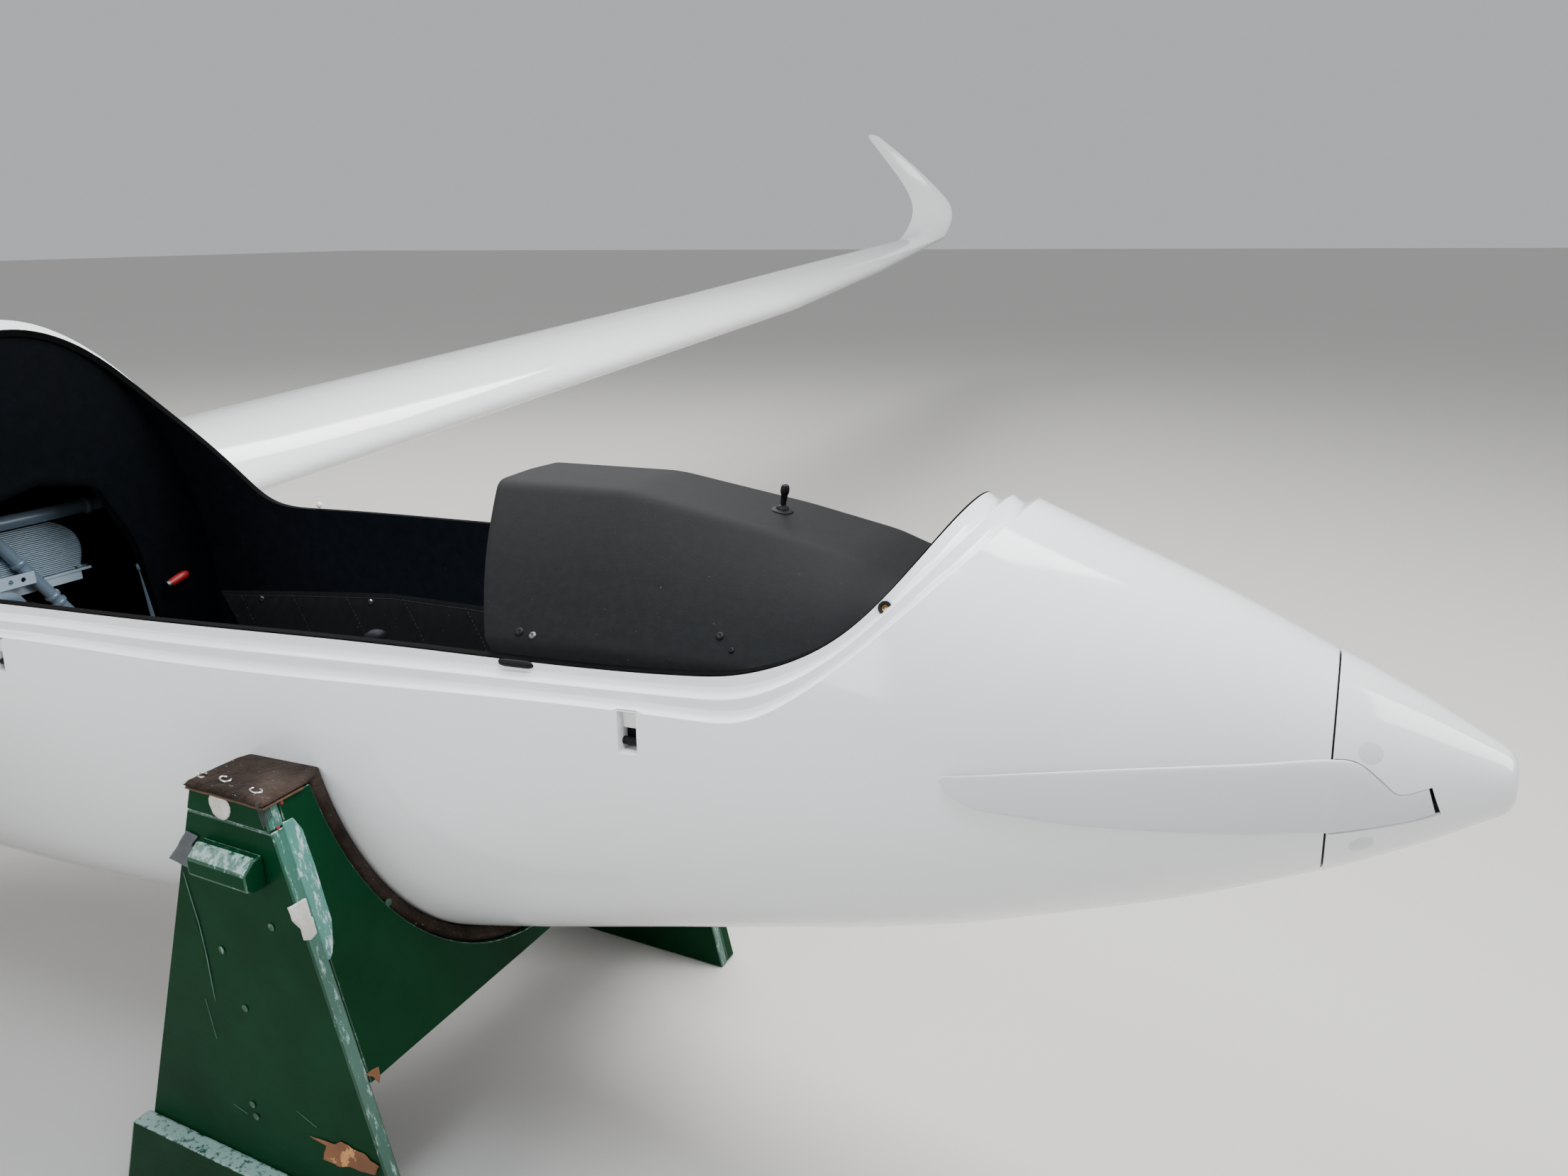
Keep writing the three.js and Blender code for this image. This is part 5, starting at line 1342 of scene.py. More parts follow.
def wing_hinge(rows):
    """Hinge point, aft and upward directions, nose radius and the hinge's share of the chord."""
    x = np.full((len(rows), 1), AILERON_SHARE)
    point = (wing_skin(rows, x, 1) + wing_skin(rows, x, -1))[:, 0] / 2
    lean = np.radians(rows[:, 4])
    up = np.stack([0 * lean, -np.sin(lean), np.cos(lean)], -1)
    aft = np.array([math.cos(INCIDENCE), 0, -math.sin(INCIDENCE)]) + 0 * up
    return point, aft, up, half_thickness(x[:, 0], rows[:, 5]) * rows[:, 3], x[:, 0], rows[:, 3]


def lip_share(hinge, rows, reach):
    """Share of the chord where the fixed skin ends ahead of the hinge line."""
    *_, radius, x, chord = hinge(rows)
    return x - reach * radius / chord


def cove(skin, hinge, rows, reach):
    """The hollow behind a fixed surface: from the upper lip round the hinge line to the lower lip."""
    point, aft, up, radius, *_ = hinge(rows)
    lip = lip_share(hinge, rows, reach)[:, None]
    turn = np.radians(np.linspace(130, 230, 13))[None, :, None]
    arc = point[:, None] + (radius[:, None, None] + 0.0035) * (np.cos(turn) * aft[:, None]
                                                             + np.sin(turn) * up[:, None])
    return np.concatenate([skin(rows, lip, 1), arc, skin(rows, lip, -1)], 1)


def front_shares(lip, marks=(), count=30):
    """Shares of the chord from the lip to the leading edge, closer together at the edge, with
    marked shares kept as columns."""
    edges = [lip, *marks, 0 * lip]
    columns = []
    for k, (start, stop) in enumerate(zip(edges, edges[1:])):
        steps = count if k == len(edges) - 2 else (3 if k == 1 else 10)
        t = np.linspace(0, 1, steps)
        if k == len(edges) - 2:
            t = np.sin(t * np.pi / 2)
        column = start[:, None] + (stop - start)[:, None] * t
        columns.append(column[:, 1:] if k else column)
    return np.concatenate(columns, 1)


END_EASE = 0.0012


def control_part(skin, hinge, rows):
    """A control surface: it keeps the section's outline behind the hinge line and has a round nose
    about that line. Its ends are flat with an eased edge."""
    point, aft, up, radius, x, _ = hinge(rows)
    t = np.linspace(1, 0, 14)
    shares = x[:, None] + (1 - x[:, None]) * t
    top, bottom = skin(rows, shares, 1), skin(rows, shares[:, ::-1], -1)
    turn = np.radians(np.linspace(90, 270, 19))[1:-1][None, :, None]
    round_nose = np.cos(turn) * aft[:, None] + np.sin(turn) * up[:, None]
    nose = point[:, None] + radius[:, None, None] * round_nose
    rings = np.concatenate([top, nose, bottom], 1)
    middle = rings.mean(1, keepdims=True)
    along = rings[-1].mean(0) - rings[0].mean(0)
    along /= np.linalg.norm(along)
    eased = []
    for ring, centre, sign in ((rings[0], middle[0], 1), (rings[-1], middle[-1], -1)):
        reach = np.linalg.norm(ring - centre, axis=1, keepdims=True)
        shrunk = centre + (ring - centre) * (1 - END_EASE / np.maximum(reach, 0.004))
        eased.append((shrunk, ring + sign * along * END_EASE))
    rings = np.concatenate([[eased[0][0]], [eased[0][1]], rings[1:-1], [eased[1][1]], [eased[1][0]]])
    return loft_part(rings)


def wing_parts():
    """The fixed wing: skins with the airbrake's slot and the aileron's bay left open."""
    out = np.concatenate([[0.225], np.linspace(0.30, 2.300, 14), np.linspace(2.300, 3.000, 6)[1:],
                          np.linspace(3.000, 3.500, 5)[1:], np.linspace(3.500, 4.500, 7)[1:],
                          [AILERON_FROM - GAP], np.linspace(4.700, 6.650, 14), [AILERON_TO + GAP],
                          [6.8465, 6.8490]])
    rows = rows_at(WING, out)
    lip = lip_share(wing_hinge, rows, LIP)
    half_slot = SLOT_HALF / rows[:, 3]
    x = front_shares(lip, (BRAKE_SHARE + half_slot, BRAKE_SHARE - half_slot))
    top = wing_skin(rows, x, 1)
    low_x = front_shares(lip, (), 42)[:, ::-1]
    low = wing_skin(rows, low_x, -1)
    rear_x = lip[:, None] + (1 - lip[:, None]) * np.linspace(0, 1, 9)
    rear_top, rear_low = wing_skin(rows, rear_x, 1), wing_skin(rows, rear_x, -1)
    centre = low[-1].mean(0)
    for grid in (top, low, rear_top, rear_low):
        grid[0, :, 1] = hull_width(grid[0, :, 0], grid[0, :, 2], 0.009)
        grid[-1] += (centre - grid[-1]) * [0.0025, 0, 0.02]
    slot_in, slot_out, bay_in, bay_out = (
        int(np.argmin(abs(out - place_out)))
        for place_out in (BRAKE_FROM, BRAKE_TO, AILERON_FROM - GAP, AILERON_TO + GAP))
    opened = top[slot_in:slot_out + 1, 9:12]
    sunk = opened + WING_DOWN * SLOT_DEPTH
    hollow = cove(wing_skin, wing_hinge, rows, LIP)
    grids = [top[:, :10], top[:, 11:], top[:slot_in + 1, 9:12], top[slot_out:, 9:12], low, sunk]
    grids += [np.stack([opened[:, k], sunk[:, k]]) for k in (0, -1)]
    grids += [np.stack([opened[k], sunk[k]]) for k in (0, -1)]
    grids.append(hollow[bay_in:bay_out + 1])
    for span in (slice(0, bay_in + 1), slice(bay_out, None)):
        grids += [rear_top[span], rear_low[span], np.stack([rear_top[span][:, -1], rear_low[span][:, -1]])]
    parts = [grid_part(grid) for grid in grids]
    for k in (bay_in, bay_out):
        parts.append(fan_part(np.concatenate([hollow[k], rear_low[k, 1:], rear_top[k, :0:-1]])))
    for k in (0, -1):
        parts.append(fan_part(np.concatenate([rear_top[k, ::-1], top[k, 1:], low[k, 1:], rear_low[k, 1:]])))
    return parts


TIP_ROUND_FROM = 0.965


def tip_parts():
    """The upturned tip: its rows follow a smooth line through the table and round off at the end."""
    table = np.concatenate([rows_at(WING, np.array([6.40])), WING_TIP])
    run = np.concatenate([[0], np.cumsum(np.hypot(np.diff(table[:, 0]), np.diff(table[:, 2])))])
    start = run[1]
    last = TIP_ROUND_FROM + (1 - TIP_ROUND_FROM) * np.sin(np.linspace(0.1, 1, 9) * np.pi / 2)
    steps = np.concatenate([[0.0006, 0.004], np.linspace(0.02, TIP_ROUND_FROM, 46), last])
    t = start + (run[-1] - start) * steps
    rows = spline(run, table)(t)
    share = (t - start) / (run[-1] - start)
    rounding = np.sqrt(np.clip(1 - (np.clip(share - TIP_ROUND_FROM, 0, 1) / 0.0352) ** 2, 0.004, 1))
    rows[:, 1] += rows[:, 3] * (1 - rounding) * 0.62
    rows[:, 3] *= rounding
    x = 1 - np.sin(np.linspace(0, 1, 30) * np.pi / 2) + 0 * rows[:, :1]
    rings = np.concatenate([wing_skin(rows, x, 1), wing_skin(rows, x[:, ::-1][:, 1:], -1)], 1)
    rings[0] = rings[0] + (rings[0].mean(0) - rings[0]) * [0.0025, 0, 0.02]
    return loft_part(rings)


def airbrake_parts():
    """Airbrake: a cap strip that lies flush in its slot and a pressed blade under it."""
    out = np.linspace(BRAKE_FROM + 0.0015, BRAKE_TO - 0.0015, 60)
    rows = rows_at(WING, out)
    x = BRAKE_SHARE + np.linspace(-1, 1, 9)[None] * (SLOT_HALF - 0.0011) / rows[:, 3, None]
    top = wing_skin(rows, x, 1) - [0, 0, 0.0003]
    rings = np.concatenate([top, (top + WING_DOWN * 0.004)[:, ::-1]], 1)
    cap = loft_part(rings)
    depth = np.linspace(0.004, 0.0705, 24)
    middle = wing_skin(rows, np.full((60, 1), BRAKE_SHARE), 1)
    run = out[:, None] - out[0]
    beat = (run / 0.10) % 1 - 0.5
    hollow = np.clip(1 - np.hypot(beat * 0.10 / 0.030, (depth[None] - 0.038) / 0.022) ** 3, 0, 1)
    dent = 0.0012 * smoother(hollow)
    centre = middle + WING_DOWN * depth[None, :, None]
    fore, rear = centre.copy(), centre.copy()
    fore[..., 0] -= 0.0024 - dent
    rear[..., 0] += 0.0024 + dent * 0.4
    rings = np.concatenate([fore, rear[:, ::-1]], 1)
    return cap, loft_part(rings)


wing_base = wing_parts()
aileron_rows = rows_at(WING, np.concatenate([[AILERON_FROM], np.linspace(4.65, 6.70, 18), [AILERON_TO]]))
aileron_part = control_part(wing_skin, wing_hinge, aileron_rows)
tip_base = tip_parts()
cap_part, brake_part = airbrake_parts()
seal_rows = rows_at(WING, np.full(1, 0.225))
seal_x = np.sin(np.linspace(0, 1, 50) * np.pi / 2)[None]
seal_line = np.concatenate([wing_skin(seal_rows, seal_x[:, ::-1], 1)[0],
                            wing_skin(seal_rows, seal_x[:, 1:], -1)[0]])
seal_line[:, 1] = hull_width(seal_line[:, 0], seal_line[:, 2], -0.0006)
seal_part = loft_part(sweep(seal_line, circle(0.0028, 10), closed=True), (False, False))


def bracket_parts():
    """Hinge brackets in the aileron's cove: a small block from its wall towards the hinge line."""
    parts = []
    for out in (4.850, 5.700, 6.500):
        point, _, _, radius, *_ = wing_hinge(rows_at(WING, np.array([out])))
        point, radius = point[0], radius[0]
        low = point - [radius + 0.006, 0.0035, 0.006]
        high = point - [radius - 0.002, -0.0035, -0.006]
        parts.append(box_part(low, high))
    return parts


for name, hand in SIDES:
    piece(f"wing_{name}_skin", [on_side(part, hand) for part in wing_base], GELCOAT,
          replaces=f"wing_{name}", sharp=38, whole=True)
    piece(f"wing_{name}_root_seal", on_side(seal_part, hand), SEAL_WHITE)
    piece(f"wing_{name}_aileron_brackets", [on_side(part, hand) for part in bracket_parts()],
          BRIGHT_STEEL)
    piece(f"wing_tip_{name}_skin", on_side(tip_base, hand), GELCOAT, replaces=f"wing_tip_{name}",
          sharp=50)
    piece(f"aileron_{name}_skin", on_side(aileron_part, hand), GELCOAT, f"aileron_{name}",
          replaces=f"aileron_{name}", sharp=50)
    piece(f"airbrake_{name}_cap", on_side(cap_part, hand), GELCOAT, f"airbrake_{name}",
          replaces=f"airbrake_{name}", sharp=30)
    piece(f"airbrake_{name}_blade", on_side(brake_part, hand), ALUMINIUM_BLUE_REFLECTION, f"airbrake_{name}",
          sharp=40)


# Tail.

# Columns: height (fin) or distance out (tailplane), leading edge, trailing edge.
FIN = np.array([[-0.020, 5.690, 6.792], [0.060, 5.740, 6.790], [1.180, 6.095, 6.738]])
TAILPLANE = np.array([[-1.250, 6.255, 6.545], [0, 6.110, 6.595], [1.250, 6.255, 6.545]])
RUDDER_HINGE, ELEVATOR_HINGE, TAILPLANE_HEIGHT, TAIL_LIP = 6.450, 6.480, 1.165, 0.35


def tail_surface(thickness, hinge_station, upright):
    """Surface and hinge functions of the fin or the tailplane."""
    def skin(rows, x, sign):
        where, lead, trail = (rows[:, k, None] for k in range(3))
        off = sign * (half_thickness(x, thickness) + 0.0008 * x**4) * (trail - lead)
        station = lead + x * (trail - lead)
        if upright:
            return np.stack([station, off, where + 0 * x], -1)
        return np.stack([station, where + 0 * x, TAILPLANE_HEIGHT + off], -1)

    def hinge(rows):
        chord = rows[:, 2] - rows[:, 1]
        x = (hinge_station - rows[:, 1]) / chord
        up, along, lift = ((0, 1, 0), (0, 0, 1), 0) if upright else ((0, 0, 1), (0, 1, 0), TAILPLANE_HEIGHT)
        point = np.array([hinge_station, 0, lift]) + rows[:, :1] * along
        up = np.array(up) + 0 * point
        aft = np.array([1.0, 0, 0]) + 0 * point
        return point, aft, up, half_thickness(x, thickness) * chord, x, chord

    return skin, hinge


def fixed_tail_part(skin, hinge, where, table, reach, rounded_ends):
    """The fin or the tailplane ahead of its hinge line, with end rows drawn in to round it off."""
    rows = rows_at(table, where)
    lip = lip_share(hinge, rows, reach)
    x = front_shares(lip, (), 34)
    hollow = cove(skin, hinge, rows, reach)
    rings = np.concatenate([skin(rows, x, 1), skin(rows, x[:, ::-1][:, 1:], -1),
                            hollow[:, ::-1][:, 1:-1]], 1)
    for k, amount in rounded_ends:
        middle = rings[k].mean(0)
        rings[k] = middle + (rings[k] - middle) * amount
    return loft_part(rings)


fin_skin, fin_hinge = tail_surface(0.115, RUDDER_HINGE, True)
plane_skin, plane_hinge = tail_surface(0.100, ELEVATOR_HINGE, False)
fin_rows = np.concatenate([[0.030], np.linspace(0.06, 1.150, 26), [1.158, 1.163, 1.165]])
fin_ends = ((-1, [0.90, 0.55, 1]), (-2, [0.985, 0.86, 1]), (-3, [0.997, 0.97, 1]))
piece("fin_skin", place(fixed_tail_part(fin_skin, fin_hinge, fin_rows, FIN, TAIL_LIP, fin_ends)),
      GELCOAT, replaces="fin", sharp=45)
rudder_rows = rows_at(FIN, np.concatenate([[-0.020], np.linspace(0.0, 1.09, 18), [1.100]]))
piece("rudder_skin", place(control_part(fin_skin, fin_hinge, rudder_rows)), GELCOAT, "rudder",
      replaces="rudder", sharp=50)
half_plane = np.concatenate([np.linspace(0, 1.225, 22)[1:], [1.238, 1.246, 1.250]])
plane_rows = np.concatenate([-half_plane[::-1], [0], half_plane])
plane_ends = [(-1, [0.93, 1, 0.30]), (-2, [0.975, 1, 0.72]), (-3, [0.995, 1, 0.93])]
plane_ends += [(-k - 1, amount) for k, amount in plane_ends]
plane_part = fixed_tail_part(plane_skin, plane_hinge, plane_rows, TAILPLANE, TAIL_LIP, plane_ends)
piece("tailplane_skin", place(plane_part), GELCOAT, replaces="tailplane", sharp=45)
elevator_rows = rows_at(TAILPLANE, np.concatenate([[-1.248], np.linspace(-1.2, 1.2, 25), [1.248]]))
piece("elevator_skin", place(control_part(plane_skin, plane_hinge, elevator_rows)), GELCOAT, "elevator",
      replaces="elevator", sharp=50)


# Cradles.

# Columns: station, top height, outer half width, lowest height of the fore and of the aft plate.
CRADLES = {"front": (1.212, 0.620, 0.365, 0.280, 0.200), "rear": (5.000, 0.550, 0.152, 0.364, 0.364)}
ARM_HALF, BOARD, PLATE, FRONT_FLARE, REAR_FLARE = 0.0575, 0.020, 0.018, 0.235, 0.38
FELT_THICK, CAP_THICK = 0.0212, 0.0098


def stood(station, points):
    """Carries (distance aft of a cradle's middle, y, height) into the row frame."""
    points = np.asarray(points, float)
    return np.stack([NOSE_FORWARD - station - points[..., 0], points[..., 1], points[..., 2]], -1)


def stood_part(station, part):
    return stood(station, part[0]), part[1]


def stood_ring(station, ring):
    """A closed ring of rows as a body with a flat face over each end, in the row frame."""
    parts = [grid_part(ring, round_rows=True), fan_part(ring[:, 0]), fan_part(ring[:, -1])]
    return [stood_part(station, part) for part in parts]


def arm_edge(top, front):
    """How far aft of a cradle's middle its fore or aft edge lies, as a function of the height."""
    def edge(height):
        if front:
            return -ARM_HALF - FRONT_FLARE * (top - height)
        return ARM_HALF + REAR_FLARE * (top - height)

    return edge


def seat_curve(station, top, share, grow):
    """The saddle line on the slanted plane between a cradle's fore (share 0) and aft face (share 1):
    the hull's section grown by a distance, cut by that plane, from the middle up to port."""
    fore, aft = arm_edge(top, True), arm_edge(top, False)
    turn = np.radians(np.linspace(-90, 62.0, 240))
    s = np.full(len(turn), station)
    for _ in range(14):
        points = world(hull_point(s, turn, -grow))
        wanted = fore(points[:, 2]) * (1 - share) + aft(points[:, 2]) * share
        s = s + (points[:, 0] - (NOSE_FORWARD - station - wanted))
    return np.stack([NOSE_FORWARD - points[:, 0] - station, points[:, 1], points[:, 2]], -1)


def cut_at(line, height, count):
    """The part of a rising line under a height, at even steps."""
    k = int(np.argmax(line[:, 2] > height)) or len(line) - 1
    t = (height - line[k - 1, 2]) / (line[k, 2] - line[k - 1, 2])
    end = line[k - 1] + (line[k] - line[k - 1]) * t
    return even(np.concatenate([line[:k], [end]]), count)


def both_sides(half):
    """A port half line and its mirror image as one line, from starboard to port."""
    return np.concatenate([half[::-1] * [1, -1, 1], half[1:]])


def frayed(size, seed, points):
    """A slow irregular offset for worn wood and felt: three crossed sine waves."""
    rng = np.random.default_rng(seed)
    total = 0
    for scale in (35.0, 90.0, 210.0):
        a, b = rng.normal(size=3) * scale, rng.uniform(0, 6.28)
        total = total + np.sin(points @ a + b) * (60.0 / (scale + 30))
    return size * total


def plate_part(station, top, inner, foot, front):
    """A cross plate: the saddle cut, straight outer edges and a level foot, leant with the arm."""
    share = 0.0 if front else 1.0
    edge = arm_edge(top, front)
    saddle = both_sides(cut_at(seat_curve(station, top, share, FELT_THICK + 0.0008), top, 46))
    side = np.linspace(top, foot, 30)
    rim = np.concatenate([np.stack([np.full(30, -inner), side], -1),
                          np.stack([np.linspace(-inner, inner, 33)[1:-1], np.full(31, foot)], -1),
                          np.stack([np.full(30, inner), side[::-1]], -1)])
    rim = np.stack([edge(rim[:, 1]), rim[:, 0], rim[:, 1]], -1)
    depth = PLATE if front else -PLATE
    face = np.array([saddle + (rim - saddle) * share for share in np.linspace(0, 1, 7)])
    face[..., 0] = edge(face[..., 2])
    return stood_ring(station, np.concatenate([face, (face + [depth, 0, 0])[::-1]]))


HALF_GROOVE, PROUD, PLANK = 0.0009, 0.0012, 0.108


def board_parts(station, top, outer, hand):
    """A side board in two lengths, the head block over the main board, with a groove between."""
    fore, aft = arm_edge(top, True), arm_edge(top, False)
    joint = top - 0.028
    parts = []
    for low, high, proud in ((0.0, joint - HALF_GROOVE, 0.0), (joint + HALF_GROOVE, top, PROUD)):
        outline = [[fore(low), low], [fore(high), high], [aft(high), high], [aft(low), low]]
        outline = [[ds, hand * (outer - BOARD), z] for ds, z in outline]
        parts.append(stood_part(station, slab_part(outline, [0, hand * (BOARD - PROUD + proud), 0])))
    return parts


def base_plank(station, top, outer, hand):
    """The plank outside a side board's foot, a little longer aft than the board."""
    fore, aft = arm_edge(top, True), arm_edge(top, False)
    ring = [[fore(PLANK) + 0.001, PLANK], [aft(PLANK) + 0.008, PLANK], [aft(0.0) + 0.008, 0.0],
            [fore(0.0), 0.0]]
    outline = [[ds, hand * (outer - 0.0005), z] for ds, z in ring]
    return stood_part(station, slab_part(outline, [0, hand * 0.0245, 0]))


def grip_block(station, top, outer, hand):
    """The wooden grip: a block whose upper outer edge is planed off."""
    section = ((0, 0.020), (0.011, 0.020), (0.026, 0.007), (0.026, -0.013), (0.018, -0.019),
               (0.0, -0.019))
    middle = top - 0.0785
    rings = [[[ds, hand * (outer - 0.0008 + out), middle + z] for out, z in section]
             for ds in (-0.045, 0.047)]
    return stood_part(station, loft_part(np.array(rings)))


def rib_part(station, top, inner, hand):
    """The lath that stiffens the fore plate beside the board: wide at the head, run out below."""
    edge = arm_edge(top, True)
    drop = np.linspace(0.024, 0.186, 30)
    t = (drop - 0.024) / 0.162
    waist = np.interp(t, [0, 0.1, 0.3, 1], [0.55, 0.95, 1, 0.9])
    width = 0.001 + 0.0175 * np.minimum(1, ((1 - t) / 0.24)) ** 0.6 * waist
    z = top - drop
    outer_line = np.stack([edge(z), hand * np.full(30, inner + 0.0035), z], -1)
    inner_line = np.stack([edge(z), hand * (inner - width), z], -1)
    front = np.stack([outer_line, inner_line]) - [0.0006, 0, 0]
    back = front + [0.0036, 0, 0]
    return stood_ring(station, np.concatenate([front, back[::-1]]))


def felt_part(station, top, outer, seed):
    """The felt saddle as one pad: over one head, down under the hull and up to the other head. Its
    upper face lies against the hull and its lower one on the plates' saddle cuts."""
    rows = 30
    across = np.linspace(0, 1, rows)
    upper, lower = [], []
    for share in across:
        low_half = cut_at(seat_curve(station, top, share, FELT_THICK), top + 0.0003, 80)
        high_half = cut_at(seat_curve(station, top, share, 0.0010), top + CAP_THICK, 80)
        head = -ARM_HALF - 0.004 + (2 * ARM_HALF + 0.008) * share
        rim = np.linspace(0, 1, 26)[1:, None]
        low_end = np.array([head, outer + 0.0025, top + 0.0003])
        high_end = np.array([head, outer + 0.0025, top + CAP_THICK])
        fade = smoother(rim)
        low_cap = low_half[-1] + (low_end - low_half[-1]) * rim
        high_cap = high_half[-1] + (high_end - high_half[-1]) * rim
        low_cap[:, 0] = low_half[-1, 0] + (head - low_half[-1, 0]) * fade[:, 0] ** 0.3
        high_cap[:, 0] = high_half[-1, 0] + (head - high_half[-1, 0]) * fade[:, 0] ** 0.3
        lower.append(both_sides(np.concatenate([low_half, low_cap])))
        upper.append(both_sides(np.concatenate([high_half, high_cap])))
    lower, upper = np.array(lower), np.array(upper)
    count = lower.shape[1]
    length = np.concatenate([[0], np.cumsum(np.linalg.norm(np.diff(lower[rows // 2], axis=0), axis=1))])
    to_end = np.minimum(length, length[-1] - length)[None]
    to_side = (0.5 - np.abs(across - 0.5))[:, None] * 2 * ARM_HALF
    near = np.minimum(to_end, to_side)
    swell = np.sqrt(np.clip(1 - (1 - np.clip(near / 0.007, 0, 1)) ** 2, 0, 1))
    middle = (upper + lower) / 2
    rough = frayed(0.0007, seed, middle) * swell
    top_face = lower + (upper - lower) * (0.45 + 0.55 * swell[..., None])
    on_head = np.abs(middle[..., 1]) > np.abs(lower[rows // 2, count // 2 + 79, 1])
    top_face[..., 2] += np.where(on_head, rough + 0.0004, 0)
    low_face = lower + (upper - lower) * (0.45 * (1 - swell[..., None]))
    return stood_ring(station, np.concatenate([top_face, low_face[::-1]])), top_face


HAIRS = 420


def fibre_parts(station, faces_grid, seed):
    """Loose felt hairs on the heads and along the saddle's rim: thin curved spikes."""
    rng = np.random.default_rng(seed)
    count = HAIRS
    rows, columns = faces_grid.shape[:2]
    on_rim = rng.random(count) < 0.6
    r = np.where(on_rim, rng.choice([0, rows - 1], count), rng.integers(0, rows, count))
    side = rng.random(count) < 0.5
    far = rng.integers(0, 30, count)
    along = np.where(on_rim, rng.integers(0, columns, count), np.where(side, far, columns - 1 - far))
    root = faces_grid[r, along]
    lean = rng.normal(size=(count, 3)) * [0.9, 0.7, 0.5] + [0, 0, 0.5]
    lean[:, 0] += np.where(on_rim, np.where(r == 0, -1.2, 1.2), 0)
    lean /= np.linalg.norm(lean, axis=1)[:, None]
    reach = rng.uniform(0.0012, 0.0042, count)[:, None]
    curl = rng.normal(size=(count, 3)) * 0.4
    rings = []
    turn = np.radians([0, 120, 240])
    for t, radius in ((0, 0.00022), (0.5, 0.00018), (1.0, 0.00005)):
        centre = root + lean * reach * t + curl * reach * t * t
        ring = centre[:, None] + radius * np.stack([np.cos(turn), np.sin(turn), 0 * turn], -1)
        rings.append(ring)
    rings = np.stack(rings, 1)
    points = rings.reshape(-1, 3)
    base = np.arange(count)[:, None, None] * 9
    k = np.arange(2)[None, :, None] * 3
    c = np.arange(3)[None, None, :]
    quads = np.stack([base + k + c, base + k + (c + 1) % 3, base + k + 3 + (c + 1) % 3,
                      base + k + 3 + c], -1)
    tip = np.arange(count)[:, None] * 9 + np.array([[6, 7, 8]])
    return stood(station, points), [quads.reshape(-1, 4), tip]


GREEN_EDGE = finish_of("green_worn_edge", WORN, 0.5, 0.0012, colour=(0.006, 0.06, 0.03, 1),
                       deep_colour=(0.004, 0.035, 0.018, 1), scuff_colour=(0.36, 0.52, 0.47, 1),
                       wear_all=0.15, chip_limit=0.74, roughness=0.28)
# A lighter teal copy of the board paint with its own scuffs: painted light on the faces turned towards the
# lamps, plus real wear.
GREEN_LIT_STRIP = finish_of("green_strip_lit_and_worn", WORN, 0.5, 0.0012, colour=(0.014, 0.115, 0.078, 1),
                        deep_colour=(0.006, 0.060, 0.036, 1), scuff_colour=(0.34, 0.50, 0.46, 1),
                        wear_all=0.17, chip_limit=0.78, roughness=0.25, Coat_Weight=0.4,
                        Coat_Roughness=0.15)
# Light teal for the rib, much lighter than the boards: painted sheen on the lit lath, with scuffs of wear
# over it.
GREEN_RIB_SHEEN = finish_of("green_rib_sheen_and_wear", WORN, 0.5, 0.0012, colour=(0.055, 0.235, 0.19, 1),
                      deep_colour=(0.015, 0.12, 0.085, 1), scuff_colour=(0.56, 0.70, 0.72, 1),
                      wear_all=0.21, chip_limit=0.76, roughness=0.25, Coat_Weight=0.5, Coat_Roughness=0.15)

for name, (station, top, outer, fore_foot, aft_foot) in CRADLES.items():
    inner = outer - BOARD
    for end, foot, front in (("fore", fore_foot, True), ("aft", aft_foot, False)):
        piece(f"cradle_{name}_{end}_plate", plate_part(station, top, inner - 0.0006, foot, front),
              GREEN_PAINT, replaces=f"cradle_{name}_plate_{end}", bevel=0.0012,
              whole=True, edge_material=GREEN_EDGE)
    for side, hand in SIDES:
        # The boards' fore edges, the planks' tops and the grips' planed faces get the lighter strip paint:
        # painted light on the sides that face the light.
        piece(f"cradle_{name}_board_{side}", board_parts(station, top, outer, hand), GREEN_PAINT,
              replaces=f"cradle_{name}_side_{side}", bevel=0.0022,
              edge_material=GREEN_EDGE, second=(GREEN_LIT_STRIP, (0.93, 0, 0)))
        piece(f"cradle_{name}_base_plank_{side}", base_plank(station, top, outer, hand), GREEN_PAINT,
              bevel=0.0035, edge_material=GREEN_EDGE,
              second=(GREEN_LIT_STRIP, (0, 0, 0.97)))
        piece(f"cradle_{name}_grip_{side}", grip_block(station, top, outer, hand), GREEN_PAINT,
              bevel=0.0022, edge_material=GREEN_EDGE,
              second=(GREEN_LIT_STRIP, (0, hand * 0.5, 0.5)))
        piece(f"cradle_{name}_rib_{side}", rib_part(station, top, inner - 0.0008, hand), GREEN_RIB_SHEEN,
              bevel=0.0012, whole=True)
    felt_parts, felt_top = felt_part(station, top, outer, 5)
    piece(f"cradle_{name}_felt_saddle", felt_parts, FELT, replaces=f"cradle_{name}_felt",
          whole=True, sharp=None)
    piece(f"cradle_{name}_felt_fibres", fibre_parts(station, felt_top, 8), FELT,
          sharp=None)

# Wear and small things on the front cradle, most of them on its starboard board and fore face.
station, top, outer = CRADLES["front"][:3]
outward, upward = (0, -1, 0), (0, 0, 1)
fore_out = np.array([1.0, 0, FRONT_FLARE]) / math.hypot(1, FRONT_FLARE)


def on_board(corners):
    """Points of the starboard board's outer face, given by (distance aft, height)."""
    return [stood(station, np.array([ds, -outer, z])) for ds, z in corners]


def fore_spot(y, z, off=0.0):
    return stood(station, np.array([arm_edge(top, True)(z), y, z])) + fore_out * off


def on_fore_face(corners, shift=(0, 0)):
    return [fore_spot(y + shift[0], z + shift[1]) for y, z in corners]


